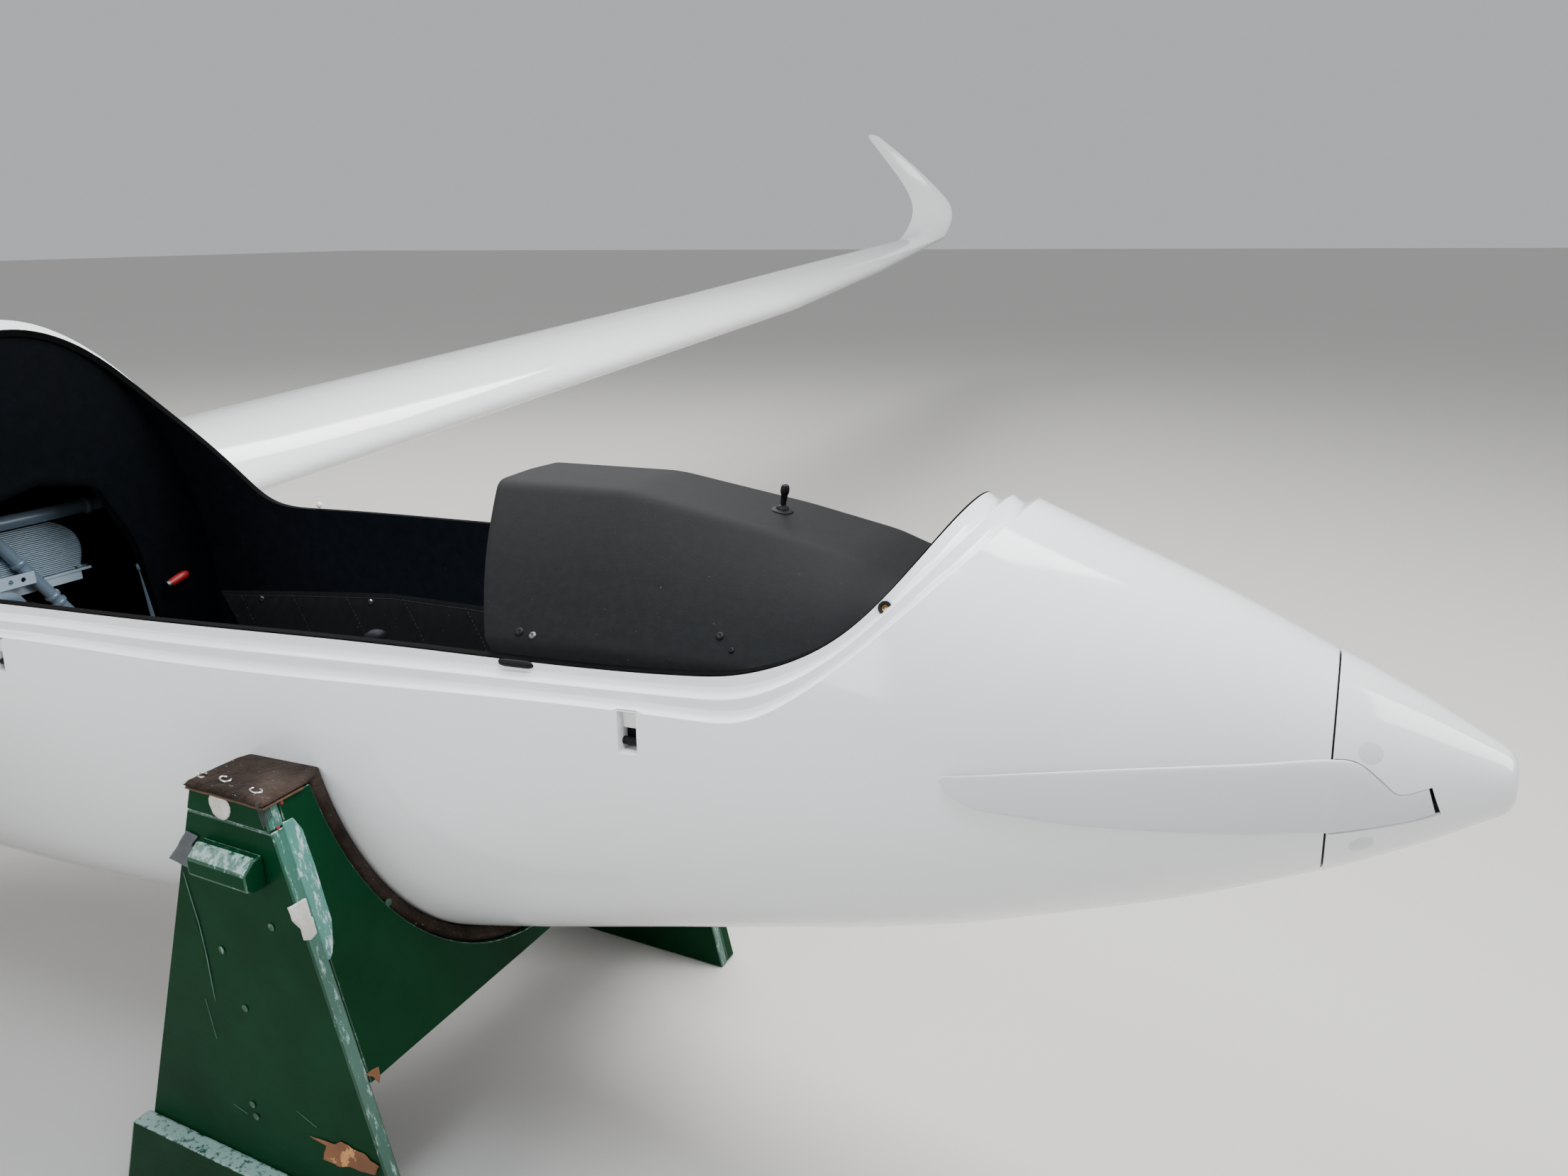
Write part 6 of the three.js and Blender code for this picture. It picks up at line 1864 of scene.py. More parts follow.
def torn_patch(centre, radii, normal, up, seed, lift=0.0006, count=40):
    """A thin torn patch stuck on a face: an uneven outline round a middle, slightly domed."""
    rng = np.random.default_rng(seed)
    normal = np.asarray(normal, float) / np.linalg.norm(normal)
    up = np.asarray(up, float) - np.dot(up, normal) * normal
    up /= np.linalg.norm(up)
    side = np.cross(up, normal)
    turn = np.linspace(0, 2 * np.pi, count, endpoint=False)
    jag = 1 + 0.05 * np.sin(3 * turn + rng.uniform(0, 6)) + rng.normal(size=count) * 0.02
    corner = np.maximum(np.abs(np.cos(turn)), np.abs(np.sin(turn))) ** -radii[2]
    rings = []
    for share, height in ((0, 1.0), (0.5, 0.9), (0.85, 0.8), (1.0, 0.6), (1.0, 0.0)):
        wave = 1 + 0.25 * np.sin(turn * 5 + share * 4 + seed)
        out = share * jag * corner
        rings.append(centre + side * (out * radii[0] * np.cos(turn))[:, None]
                     + up * (out * radii[1] * np.sin(turn))[:, None]
                     + normal * (lift * height * wave)[:, None])
    return grid_part(np.array(rings), round_columns=True)


def torn_sheet(corners, normal, lift, seed, crumple=0.0, ragged=0.0004):
    """A thin torn sheet on a face: its outline runs through the corners with a ragged edge, and its
    surface rises to the lift and wrinkles by crossed sine waves."""
    corners = np.asarray(corners, float)
    normal = np.asarray(normal, float) / np.linalg.norm(normal)
    rim = even(np.concatenate([corners, corners[:1]]), 97)[:-1]
    inwards = corners.mean(0) - rim
    inwards /= np.linalg.norm(inwards, axis=1)[:, None] + 1e-9
    rim = rim + inwards * frayed(ragged, seed, rim * 4)[:, None]
    rings = []
    for share, height in ((1.0, 0.0), (1.0, 0.5), (0.93, 0.9), (0.75, 1.0), (0.5, 1.0), (0.25, 1.0),
                          (0.02, 1.0)):
        ring = rim.mean(0) + (rim - rim.mean(0)) * share
        wrinkle = 1 + frayed(0.45, seed + 1, ring * 1.6)
        rise = lift * height + crumple * min(height, share + 0.4) * wrinkle
        rings.append(ring + normal * rise[:, None])
    return grid_part(np.array(rings), round_columns=True)


LABEL = [(-0.3705, 0.5190), (-0.3560, 0.5170), (-0.3475, 0.5175), (-0.3478, 0.4960), (-0.3462, 0.4945),
         (-0.3470, 0.4760), (-0.3560, 0.4730), (-0.3640, 0.4775), (-0.3632, 0.4900), (-0.3700, 0.5040)]
TAPE = [(0.113, 0.519), (0.098, 0.5355), (0.074, 0.564), (0.055, 0.560), (0.067, 0.548), (0.064, 0.530),
        (0.071, 0.513), (0.090, 0.5155)]
TAPE_SCRAP = [(0.050, 0.5226), (0.0375, 0.524), (0.0436, 0.5125)]
sticker = torn_patch(on_board([(0.0099, 0.6075)])[0], (0.0165, 0.0150, 0.1), outward, upward, 3)
piece("cradle_blank_sticker", sticker, PAPER, sharp=None)
label = torn_sheet(on_fore_face(LABEL, (-0.003, -0.007)), fore_out, 0.0006, 11, 0.0024, 0.0007)
piece("cradle_blank_label", label, PAPER, sharp=25)
tape = [torn_sheet(on_board(TAPE), (0.1, -1, 0.05), 0.0012, 6, 0.0016),
        torn_sheet(on_board(TAPE_SCRAP), outward, 0.0005, 9)]
piece("cradle_grey_tape", tape, GREY_TAPE, sharp=None)
END_GRAIN = finish_of("weathered_end_grain", PEBBLED, 0.6, 0.001, colour=(0.012, 0.014, 0.014, 1),
                            second_colour=(0.055, 0.06, 0.062, 1), scale=300.0, roughness=0.8, lint=0.2)
# Long scratches down the board, as closed outlines.
SCRAPES = [
    [(0.0952, 0.506), (0.0942, 0.506), (0.0832, 0.441), (0.0801, 0.395), (0.0805, 0.333), (0.0812, 0.333),
     (0.0818, 0.395), (0.0848, 0.441)],
    [(0.0992, 0.332), (0.0984, 0.332), (0.0914, 0.276), (0.0922, 0.276)],
    [(-0.060, 0.205), (-0.0606, 0.2058), (-0.030, 0.2177), (-0.0297, 0.2172)],
    [(0.060, 0.1774), (0.0603, 0.1782), (0.084, 0.1836), (0.0837, 0.1828)],
]
GREEN_SCRAPE = finish_of("green_scrape", PEBBLED, 0.3, 0.0004, colour=(0.022, 0.085, 0.055, 1),
                         second_colour=(0.07, 0.16, 0.12, 1), scale=500.0, roughness=0.5, lint=0.2)
piece("cradle_scrapes", [torn_sheet(on_board(line), outward, 0.0001, 21 + at, 0.0, 0.0002)
                         for at, line in enumerate(SCRAPES)], GREEN_SCRAPE, sharp=None)


def end_grain(k):
    """One dark upright streak of end grain on the head's fore face."""
    left, low, high = -0.3705 + 0.0019 * k, 0.6005 + 0.0009 * k, 0.6285 + 0.0003 * (k % 3)
    right = left + 0.0011
    streak = on_fore_face([(left, low), (right, low), (right, high), (left, high)])
    return torn_sheet(streak, fore_out, 0.0002, 31 + k, 0.0, 0.0002)


piece("cradle_end_grain", [end_grain(k) for k in range(8)], END_GRAIN, sharp=None)
DIMPLE = [[0.0, 0.0042 * 1.15], [0.0004, 0.0042], [0.0003, 0.0042 * 0.82], [-0.0004, 0.0042 * 0.5],
          [-0.0005, 0.0]]


def dimple(where, normal):
    """A filled screw place: a low ring round a shallow hollow."""
    return turned_part(where, normal, DIMPLE, 20, False)


SCREWS = ((0.052, 0.413), (0.0295, 0.3405), (0.048, 0.196), (0.045, 0.179), (-0.040, 0.470), (0.02, 0.05),
          (0.16, 0.05), (-0.09, 0.06))
for name, (at_station, head, out_to, *_) in CRADLES.items():
    screws = []
    for hand in (1, -1):
        for ds, z in SCREWS:
            y = hand * (out_to + (0.024 if z < PLANK else 0))
            screws.append(dimple(stood(at_station, np.array([ds, y, z])), (0, hand, 0)))
    for y in (-0.337, -0.25, 0.25, 0.337) if name == "front" else (-0.12, 0.12):
        for z in (head - 0.08, head - 0.17):
            spot = stood(at_station, np.array([arm_edge(head, True)(z), y, z])) + fore_out * 0.0002
            screws.append(dimple(spot, fore_out))
    piece(f"cradle_{name}_filled_screws", screws, GREEN_EDGE)


def bent_nail(ds, y, turn, size):
    """A nail bent over in the felt: an open ring of wire pressed flat."""
    angle = np.linspace(0.4, 5.6, 26)
    centre = stood(station, np.array([ds, y, top + CAP_THICK + 0.0008]))
    path = centre + np.stack([size * np.cos(angle + turn), size * 0.62 * np.sin(angle + turn),
                              0.0006 + 0.0008 * np.sin(angle)], -1)
    return loft_part(sweep(path, circle(np.full(26, 0.0011), 8), (0.02, 0.03, 1)))


NAILS = ((0.050, -0.351, 0.3, 0.006), (0.018, -0.347, 1.4, 0.007), (-0.036, -0.352, 2.2, 0.0075),
         (0.03, 0.35, 0.9, 0.007), (-0.03, 0.348, 2.9, 0.006))
piece("cradle_bent_nails", [bent_nail(*nail) for nail in NAILS], BRIGHT_STEEL)


def glue_edge(hand, seed):
    """The frayed brown edge of the felt's backing, along the head's outer and fore edge."""
    end, out, z = ARM_HALF + 0.0025, hand * (outer + 0.0008), top + 0.0004
    line = np.array([[end, out, z], [-end, out, z], [-end, hand * (outer - 0.052), z]])
    path = even(line, 70)
    path = path + frayed(0.0003, seed, path)[:, None]
    return loft_part(sweep(stood(station, path), circle(np.full(70, 0.0015), 8), (0.01, 0.02, 1)))


piece("cradle_felt_backing_edge", [glue_edge(-1, 4), glue_edge(1, 5)], FELT_EDGE)
BOARD_CHIP = [(-0.0465, 0.187), (-0.0740, 0.1850), (-0.0690, 0.1745), (-0.0640, 0.160), (-0.0860, 0.1600),
              (-0.103, 0.164), (-0.1250, 0.1690), (-0.147, 0.171), (-0.155, 0.188), (-0.130, 0.197),
              (-0.098, 0.199), (-0.0760, 0.1905)]
FORE_CHIP = [(-0.3486, 0.2933), (-0.3380, 0.2930), (-0.3287, 0.2908), (-0.3305, 0.2800),
             (-0.3346, 0.2732), (-0.3400, 0.2850)]
wood_chips = [torn_sheet(on_board(BOARD_CHIP), outward, 0.0003, 15, 0.0002, 0.0018),
              torn_sheet(on_fore_face(FORE_CHIP), fore_out, 0.0004, 17, 0.0003, 0.0006)]
piece("cradle_bare_wood_chips", wood_chips, BARE_WOOD, sharp=None)
# Red paint drops on the fore face: place and distance off it, radii and the outline's seed.
RED_DROPS = (((-0.3406, 0.6165, 0.0002), (0.0018, 0.0026, 0.0), 2),
             ((-0.3537, 0.5942, 0.0004), (0.0022, 0.0016, 0.0), 5))
piece("cradle_red_drops", [torn_patch(fore_spot(*where), radii, fore_out, upward, seed, 0.0004, 14)
                           for where, radii, seed in RED_DROPS], RED_GRIP, sharp=None)


# Behind and under the pilot.

# The bulkhead's opening, port half: distance out and height.
OPENING = np.array([[0.0, 0.174], [0.05, 0.163], [0.084, 0.155], [0.093, 0.148], [0.100, 0.132],
                    [0.116, 0.097], [0.136, 0.050], [0.142, 0.026], [0.146, -0.02], [0.154, -0.103],
                    [0.162, -0.23], [0.158, -0.262], [0.140, -0.280], [0.09, -0.286], [0.0, -0.286]])


def bulkhead_parts():
    """The bulkhead: from the liner inwards to a flange that is turned aft round the opening."""
    half = even(rounded(OPENING, 2), 90)
    hole = np.concatenate([half, half[-2:0:-1] * [-1, 1]])
    turn = np.arctan2(hole[:, 1] + 0.05, hole[:, 0])
    outwards = np.stack([np.cos(turn), np.sin(turn)], -1)
    rings = []
    for station, inset in ((2.0465, WALL + 0.0004), (2.0460, WALL + 0.004)):
        angle = np.linspace(0, 1, 720) * 2 * np.pi
        rim = hull_point(np.full(720, station), np.arcsin(np.sin(angle)), inset)
        rim[:, 1] *= np.sign(np.cos(angle) + 1e-12)
        around_rim = np.unwrap(np.arctan2(rim[:, 2] + 0.05, rim[:, 1]))
        order = np.argsort(np.mod(around_rim, 2 * np.pi))
        key = np.mod(around_rim, 2 * np.pi)[order]
        wanted = np.mod(turn, 2 * np.pi)
        rings.append(np.stack([np.interp(wanted, key, rim[order, k], period=2 * np.pi)
                               for k in range(3)], -1))

    def round_hole(station, out):
        return np.column_stack([np.full(len(hole), station), hole + outwards * out])

    outer, bead = rings[1], round_hole(2.0425, 0.016)
    flange = [(2.0412, 0.006), (2.0425, 0.0015), (2.048, 0.0), (2.062, 0.0015), (2.0625, 0.004)]
    rows = [rings[0]] + [outer + (bead - outer) * share for share in np.linspace(0, 1, 12)[1:]]
    rows += [round_hole(*where) for where in flange]
    return grid_part(np.array(rows), round_columns=True)


def collar(tube_start, tube_end, share, radius, width, lift=0.0028):
    """A raised ring on a tube at a share of its length."""
    start, end = np.asarray(tube_start, float), np.asarray(tube_end, float)
    axis = (end - start) / np.linalg.norm(end - start)
    middle = start + (end - start) * share
    half = [[width / 2 - 0.0012, radius + lift], [width / 2, radius + lift * 0.7],
            [width / 2, radius - 0.001]]
    profile = [[-along, out] for along, out in half[::-1]] + half
    return turned_part(middle, axis, profile, 32)


# The welded frame's tubes: both ends and radius.
TUBES = [((2.170, -0.286, 0.104), (2.170, 0.286, 0.104), 0.0120),
         ((2.170, -0.033, 0.098), (2.170, 0.172, -0.232), 0.0105),
         ((2.172, -0.062, 0.098), (2.172, -0.172, -0.232), 0.0105),
         ((2.172, -0.255, -0.238), (2.172, -0.112, -0.238), 0.0122),
         ((2.172, 0.112, -0.238), (2.172, 0.255, -0.238), 0.0122),
         ((2.172, -0.13, -0.238), (2.092, -0.13, -0.262), 0.0105),
         ((2.172, 0.13, -0.238), (2.092, 0.13, -0.262), 0.0105),
         ((2.090, -0.225, -0.262), (2.090, 0.225, -0.262), 0.0138),
         ((2.064, 0.152, 0.004), (2.064, 0.163, -0.235), 0.0062),
         ((2.064, -0.152, 0.004), (2.064, -0.163, -0.235), 0.0062)]
frame_parts = [rod(a, b, r, 28) for a, b, r in TUBES]
# Collars: number of the tube, share of its length, width and how far they stand out.
COLLARS = [(0, 0.752, 0.010, 0.0028), (0, 0.985, 0.020, 0.006), (0, 0.248, 0.010, 0.0028),
           (0, 0.015, 0.020, 0.006), (1, 0.20, 0.008, 0.0028), (1, 0.41, 0.007, 0.0028),
           (1, 0.45, 0.007, 0.0028), (1, 0.97, 0.016, 0.005), (2, 0.97, 0.016, 0.005),
           (8, 0.03, 0.010, 0.002), (9, 0.03, 0.010, 0.002)]
for tube, share, width, lift in COLLARS:
    start, end, radius = TUBES[tube]
    frame_parts.append(collar(start, end, share, radius, width, lift))


def drilled_bracket():
    """A flat bracket with two drilled holes, clamped on the slanting tube."""
    z, half_height, bore_radius, front, back = 0.006, 0.0105, 0.0042, 2.1545, 2.1575
    turn = np.radians(np.arange(0, 360, 15) + 45.0)
    around_hole = np.stack([np.cos(turn), np.sin(turn)], -1)
    square = around_hole / np.abs(around_hole).max(1, keepdims=True)
    parts = []
    for left, right, y in ((-0.048, -0.0085, -0.019), (-0.0085, 0.022, 0.002)):
        reach = np.where(square[:, 0] > 0, right - y, y - left)
        rim = np.stack([y + square[:, 0] * reach, z + square[:, 1] * half_height], -1)
        bore = np.array([y, z]) + bore_radius * around_hole
        rows = [np.column_stack([np.full(24, s), ring]) for s, ring in
                ((front, rim), (front, bore), (back, bore), (back, rim))]
        parts.append(grid_part(np.array(rows), round_rows=True, round_columns=True))
    return parts


def controller_parts():
    """The motor controller: a solid core behind level cooling fins that stand one above the other
    and end on a rounded line, on a base plate with a turned-out foot."""
    line = rounded([[0.118, -0.008], [0.121, 0.004], [0.126, 0.020], [0.1275, 0.036], [0.124, 0.050],
                    [0.119, 0.061], [0.106, 0.073], [0.090, 0.0835], [0.076, 0.0875]], 2)
    parts = []
    for k in range(27):
        z = -0.0035 + 0.0034 * k
        right = np.interp(z, line[:, 1], line[:, 0])
        left = -0.076 + 0.0012 * max(0, k - 22)
        parts.append(box_part([2.1830, left, z], [2.2035, right, z + 0.0013]))
    core = np.concatenate([[[-0.0745, -0.0065], [-0.0745, 0.0800]], line[::-1] - [0.003, 0.001]])
    parts.append(slab_part(np.column_stack([np.full(len(core), 2.2030), core]), [0.104, 0, 0]))
    parts.append(box_part([2.181, -0.080, -0.0105], [2.308, 0.136, -0.0065]))
    parts.append(box_part([2.1835, -0.072, -0.026], [2.306, 0.118, -0.0105]))
    return parts


def hex_bolt(where, axis, size=0.0050, height=0.0042):
    """A hexagon head on a round washer, its corners at the size."""
    profile = [[0.0, 0.0], [0.0, size * 1.25], [0.0008, size * 1.25], [0.0008, size], [height, size * 0.98],
               [height + 0.0006, size * 0.8], [height + 0.0006, 0.0]]
    return turned_part(where, axis, profile, 6, False)


def wheel_box():
    """The open-bottomed box over the drawn-up wheel: upright sides, then a superellipse over the top.
    Its crest follows a superellipse along the glider as well."""
    station = np.linspace(2.131, 2.500, 70)[:, None]
    crest = -0.255 + 0.212 * (1 - np.abs((station - 2.315) / 0.195) ** 3.2) ** (1 / 3.2)
    turn = np.linspace(0, np.pi, 61)[None]
    c, n = np.cos(turn), np.sin(turn)
    y = 0.0945 * np.sign(c) * np.abs(c) ** (2 / 3.5) + 0 * station
    z = -0.300 + (crest + 0.300) * n ** (2 / 3.5)
    arch = np.stack([station + 0 * y, y, z], -1)
    side = np.linspace(-0.418, -0.304, 14)[None]
    walls = [np.stack([station + 0 * side, hand * 0.0945 + 0 * side + 0 * station, side + 0 * station], -1)
             for hand in (1, -1)]
    return grid_part(np.concatenate([walls[0], arch, walls[1][:, ::-1]], 1))


ARAMID = finish_of("bare_aramid_cloth", PEBBLED, 0.5, 0.001, colour=(0.17, 0.115, 0.022, 1),
                   second_colour=(0.10, 0.065, 0.018, 1), scale=500.0, roughness=0.35, lint=0.2,
                   Coat_Weight=0.4, Coat_Roughness=0.2)
WIRE_RED = finish_of("red_wire", PEBBLED, 0.2, 0.0005, colour=(0.28, 0.008, 0.01, 1),
                     second_colour=(0.2, 0.006, 0.01, 1), scale=200.0, roughness=0.4, lint=0.0)
bulkhead = piece("rear_bulkhead_plate", place(bulkhead_parts()), BULKHEAD_SHADED_BLACK, replaces="rear_bulkhead",
                 sharp=50)
# The plate is an open sheet: one face in its flat part tells whether it looks forward.
flat_face = bulkhead.data.polygons[len(bulkhead.data.polygons) // 3]
if flat_face.normal.x < 0:
    bulkhead.data.flip_normals()
piece("tube_frame_welded", placed(frame_parts), BLUE_TUBE, replaces="tube_frame")
piece("frame_drilled_bracket", placed(drilled_bracket()), ALUMINIUM_BLUE_REFLECTION,
      bevel=0.0004)
piece("controller_fins", placed(controller_parts()), ALUMINIUM_BLUE_REFLECTION, replaces="motor_controller",
      sharp=35)
BOLTS = ((2.187, -0.075), (2.187, 0.110), (2.187, 0.130), (2.300, -0.075), (2.300, 0.130))
piece("controller_bolts", [place(hex_bolt((station, y, -0.0065), (0, 0, 1))) for station, y in BOLTS],
      BRIGHT_STEEL)
box = piece("wheel_box", place(wheel_box()), ARAMID, sharp=50)
wall = box.modifiers.new("wall", "SOLIDIFY")
wall.thickness, wall.offset = 0.0022, 0
# Hose and wires behind the opening, and the small red handle: points of their middle lines.
HOSE_LINE = [[2.105, -0.19, 0.006], [2.10, -0.10, 0.002], [2.115, -0.045, -0.010],
             [2.155, -0.010, -0.052]]
WIRE_LINES = ([[2.150, -0.030, -0.046], [2.138, 0.000, -0.040], [2.136, 0.030, -0.060],
               [2.142, 0.062, -0.092], [2.152, 0.096, -0.17]],
              [[2.140, 0.0955, -0.22], [2.140, 0.115, -0.105], [2.145, 0.150, -0.115],
               [2.160, 0.160, -0.196]])
HANDLE_LINE = [[2.028, 0.1745, -0.0385], [2.0275, 0.180, -0.037], [2.026, 0.195, -0.032],
               [2.024, 0.206, -0.0285], [2.023, 0.210, -0.027]]
HOSE_RADIUS, WIRE_RADIUS, HANDLE_RADII = 0.010, 0.0018, np.array([0.0058, 0.0072, 0.0078, 0.0070, 0.0030])
piece("blue_hose_stub", place(hose(HOSE_LINE, HOSE_RADIUS)), BLUE_TUBE)
piece("red_wires", [place(hose(line, WIRE_RADIUS, 8, 40)) for line in WIRE_LINES], WIRE_RED)
handle = loft_part(sweep(HANDLE_LINE, circle(HANDLE_RADII, 18)))
piece("red_handle", place(handle), RED_GRIP)
piece("red_handle_ring", place(rod((2.0285, 0.1685, -0.0405), (2.028, 0.1748, -0.0384), 0.0075)), STEEL)

# Seat pan: a dished black shell with two sewn pads over it.
pan_s = np.linspace(1.050, 1.962, 90)[:, None]
pan_turn = np.radians(np.linspace(-161.5, -18.5, 100))[None]


def on_pan(station, turn, inset):
    """Points inside the hull wall under the pilot, on both flanks, by their turn from the port side."""
    from_belly = turn + np.pi / 2
    points = hull_point(station + 0 * turn, -np.abs(np.pi / 2 - np.abs(from_belly)) + 0 * station, inset)
    points[..., 1] *= np.sign(from_belly + 1e-9)
    return points


def layered(top, low):
    """A closed sheet between an upper and a lower grid of points, with its two side faces."""
    ring = np.concatenate([top, low[::-1]])
    return placed([grid_part(ring, round_rows=True), fan_part(ring[:, 0]), fan_part(ring[:, -1])])


piece("seat_pan_shell", layered(on_pan(pan_s, pan_turn, WALL + 0.0045),
                                on_pan(pan_s, pan_turn, WALL + 0.0008)), LINER_BLACK, replaces="seat_pan",
      whole=True)


def seat_pad(start, stop, half, channels):
    """A seat cushion in the pan: crowned, with sewn cross channels and a piped edge all round."""
    s = np.linspace(start, stop, 150)[:, None]
    across = np.linspace(-1, 1, 110)[None]
    turn = -np.pi / 2 + across * half
    edge = np.minimum.reduce([(s - start) / 0.03 + 0 * across, (stop - s) / 0.03 + 0 * across,
                              (1 - np.abs(across)) * 9 + 0 * s])
    crown = np.sqrt(np.clip(1 - (1 - np.clip(edge, 0, 1)) ** 2, 0, 1))
    beat = np.abs(((s - start) * channels / (stop - start)) % 1 - 0.5) * 2
    sewn = 1 - 0.55 * np.exp(-((1 - beat) / 0.10) ** 1.4)
    middle = 1 - 0.35 * np.exp(-(across / 0.035) ** 2)
    wrinkle = 0.0009 * np.sin(s * 140 + 4 * np.sin(across * 9)) * crown
    thick = 0.004 + 0.030 * crown * sewn * middle + wrinkle
    return layered(on_pan(s, turn, WALL + 0.0050 + thick), on_pan(s, turn, WALL + 0.0050))


for name, start, stop, half, channels in (("thigh", 1.10, 1.46, 0.62, 4), ("back", 1.50, 1.93, 0.72, 5)):
    pad = piece(f"seat_pad_{name}", seat_pad(start, stop, half, channels), UPHOLSTERY,
                sharp=None, whole=True)

# Stick: gaiter, bent tube and a shaped grip.
STICK = [[1.330, 0, -0.395], [1.334, 0, -0.30], [1.342, 0, -0.17], [1.345, 0, -0.120]]
stick_mid, stick_top = np.array(STICK[-1]), np.array([1.352, 0, 0.0])
piece("control_stick_tube", place(hose(STICK, 0.0105, 20)), TRIM_BLACK,
      replaces="control_stick")
grip_t = np.linspace(0, 1, 40)
finger_waves = 0.0032 * np.sin(grip_t * 22) * np.exp(-((grip_t - 0.5) / 0.3) ** 4) * 0.5
grip_radius = 0.0145 + finger_waves + 0.002 * np.sin(grip_t * np.pi)
grip_radius[[0, -1]] = 0.006
grip_radius[[1, -2]] = 0.0125
grip_path = stick_mid + (stick_top - stick_mid) * grip_t[:, None]
grip = loft_part(sweep(grip_path, circle(grip_radius, 28), (1, 0, 0)))
piece("control_stick_grip", place(grip), LINER_BLACK)
folds = [[0.012 + 0.012 * k, 0.060 - 0.0085 * k - (0.006 if k % 2 else 0)] for k in range(6)]
gaiter_line = rounded([[0.0, 0.062]] + folds + [[0.082, 0.012], [0.084, 0.0]], 2)
gaiter = turned_part([1.330, 0, -0.402], (0.05, 0, 1), gaiter_line, 48, False)
gaiter_pad = piece("control_stick_gaiter", place(gaiter), UPHOLSTERY, sharp=None)

# Instrument panel under the hood, with blank-faced dials.
PANEL = rounded([[-0.214, 0.085], [-0.120, 0.085], [-0.092, 0.062], [-0.088, -0.150], [-0.070, -0.165],
                 [0.070, -0.165], [0.088, -0.150], [0.092, 0.062], [0.120, 0.085], [0.214, 0.085],
                 [0.168, 0.130], [0.086, 0.205], [0.050, 0.224], [-0.050, 0.224], [-0.086, 0.205],
                 [-0.168, 0.130]], 2)
PANEL_STATION = 0.950


def panel_slab(station, thickness):
    """The panel's plate with a slightly rounded edge."""
    front = np.column_stack([np.full(len(PANEL), station), PANEL])
    back = front + [thickness, 0, 0]
    centre = np.array([station, 0.0, 0.06])
    return loft_part(np.stack([centre + (front - centre) * 0.995, front + [0.0006, 0, 0], back,
                               centre + (back - centre) * 0.996 + [0.0008, 0, 0]]))


piece("instrument_panel_plate", place(panel_slab(PANEL_STATION, 0.003)), TRIM_BLACK,
      replaces="instrument_panel", sharp=35)

# Dials: distance out, height, radius.
DIALS = ((0.0, 0.150, 0.0400), (-0.094, 0.132, 0.0400), (0.094, 0.132, 0.0400), (0.0, 0.055, 0.0290),
         (0.0, -0.02, 0.0290), (0.0, -0.095, 0.0290))
KNOB = [[0.0, 0.0], [0.0, 0.005], [0.009, 0.0046], [0.010, 0.0036], [0.010, 0.0]]


def dial_marks(y, z, r):
    """The eleven marks round a dial, longer at every fifth, and its hand."""
    def at(angle, reach):
        return [PANEL_STATION + 0.0048, y + reach * math.sin(angle), z + reach * math.cos(angle)]

    marks = []
    for k in range(-5, 6):
        a = math.radians(k * 26)
        marks.append(rod(at(a, r * (0.78 if k % 5 else 0.70)), at(a, r * 0.90), 0.0006, 6, 0.0001))
    lift = PANEL_STATION + 0.0052
    marks.append(rod([lift, y - r * 0.12, z - r * 0.12], [lift, y + r * 0.42, z + r * 0.42],
                     0.0009, 8, 0.0002))
    return marks


def on_panel(y, z, profile, count, closed=False, lift=0.003):
    """A profile turned about the aft direction on the panel's face."""
    return turned_part([PANEL_STATION + lift, y, z], (1, 0, 0), profile, count, closed)


rims, faces, hands, knobs = [], [], [], []
for y, z, r in DIALS:
    rims.append(on_panel(y, z, [[0.0, r - 0.0005], [0.0, r + 0.0035], [0.004, r + 0.003],
                                [0.0055, r + 0.001], [0.0050, r - 0.001], [0.002, r - 0.0015]], 56, True))
    faces.append(on_panel(y, z, [[0.0, 0.0], [0.0, r], [0.0014, r], [0.0014, 0.0]], 48, lift=0.0032))
    hands += dial_marks(y, z, r)
    knobs.append(on_panel(y + r * 0.86, z - r * 0.86, KNOB, 20))
piece("dial_rims", placed(rims), HOOD_CHARCOAL)
piece("dial_faces", placed(faces), LINER_BLACK)
piece("dial_marks_and_hands", placed(hands), SEAL_WHITE)
piece("dial_knobs", placed(knobs), STEEL)


# Wheels, fork, doors and tail fairing.

AXLE = np.array([2.315, 0.0, -0.255])
TAIL_AXLE = np.array([6.150, 0.0, -0.042])


def tyre_part(centre, radius, width, rim, grooves, count=144):
    """A tyre turned about its axle: a flat crown with round grooves, a shoulder rib, a bulged wall
    with a raised band, and a bead that closes on the rim."""
    half = width / 2
    wall = [[-0.62, 0.004], [-0.80, 0.010], [-0.93, 0.09], [-0.965, 0.16], [-0.955, 0.19], [-0.985, 0.30],
            [-1.0, 0.50], [-0.985, 0.64], [-0.965, 0.66], [-0.945, 0.74], [-0.90, 0.86], [-0.86, 0.895],
            [-0.80, 0.93]]
    profile = [[x * half, rim + share * (radius - rim)] for x, share in wall]
    crown = np.linspace(-0.76, 0.76, 153) * half

    def crown_line(x):
        out = np.clip((np.abs(x) / half - 0.22) / 0.54, 0, 1)
        return radius - (0.05 * radius) * out**2.2

    depth = np.zeros_like(crown)
    for groove in grooves:
        depth = np.maximum(depth, 0.0042 * np.clip(1.6 - np.abs(crown - groove * half) / 0.0011, 0, 1))
    profile += [[x, crown_line(x) - d] for x, d in zip(crown, depth)]
    profile += [[-x, z] for x, z in profile[len(wall) - 1::-1]]
    return turned_part(centre, (0, 1, 0), profile, count)


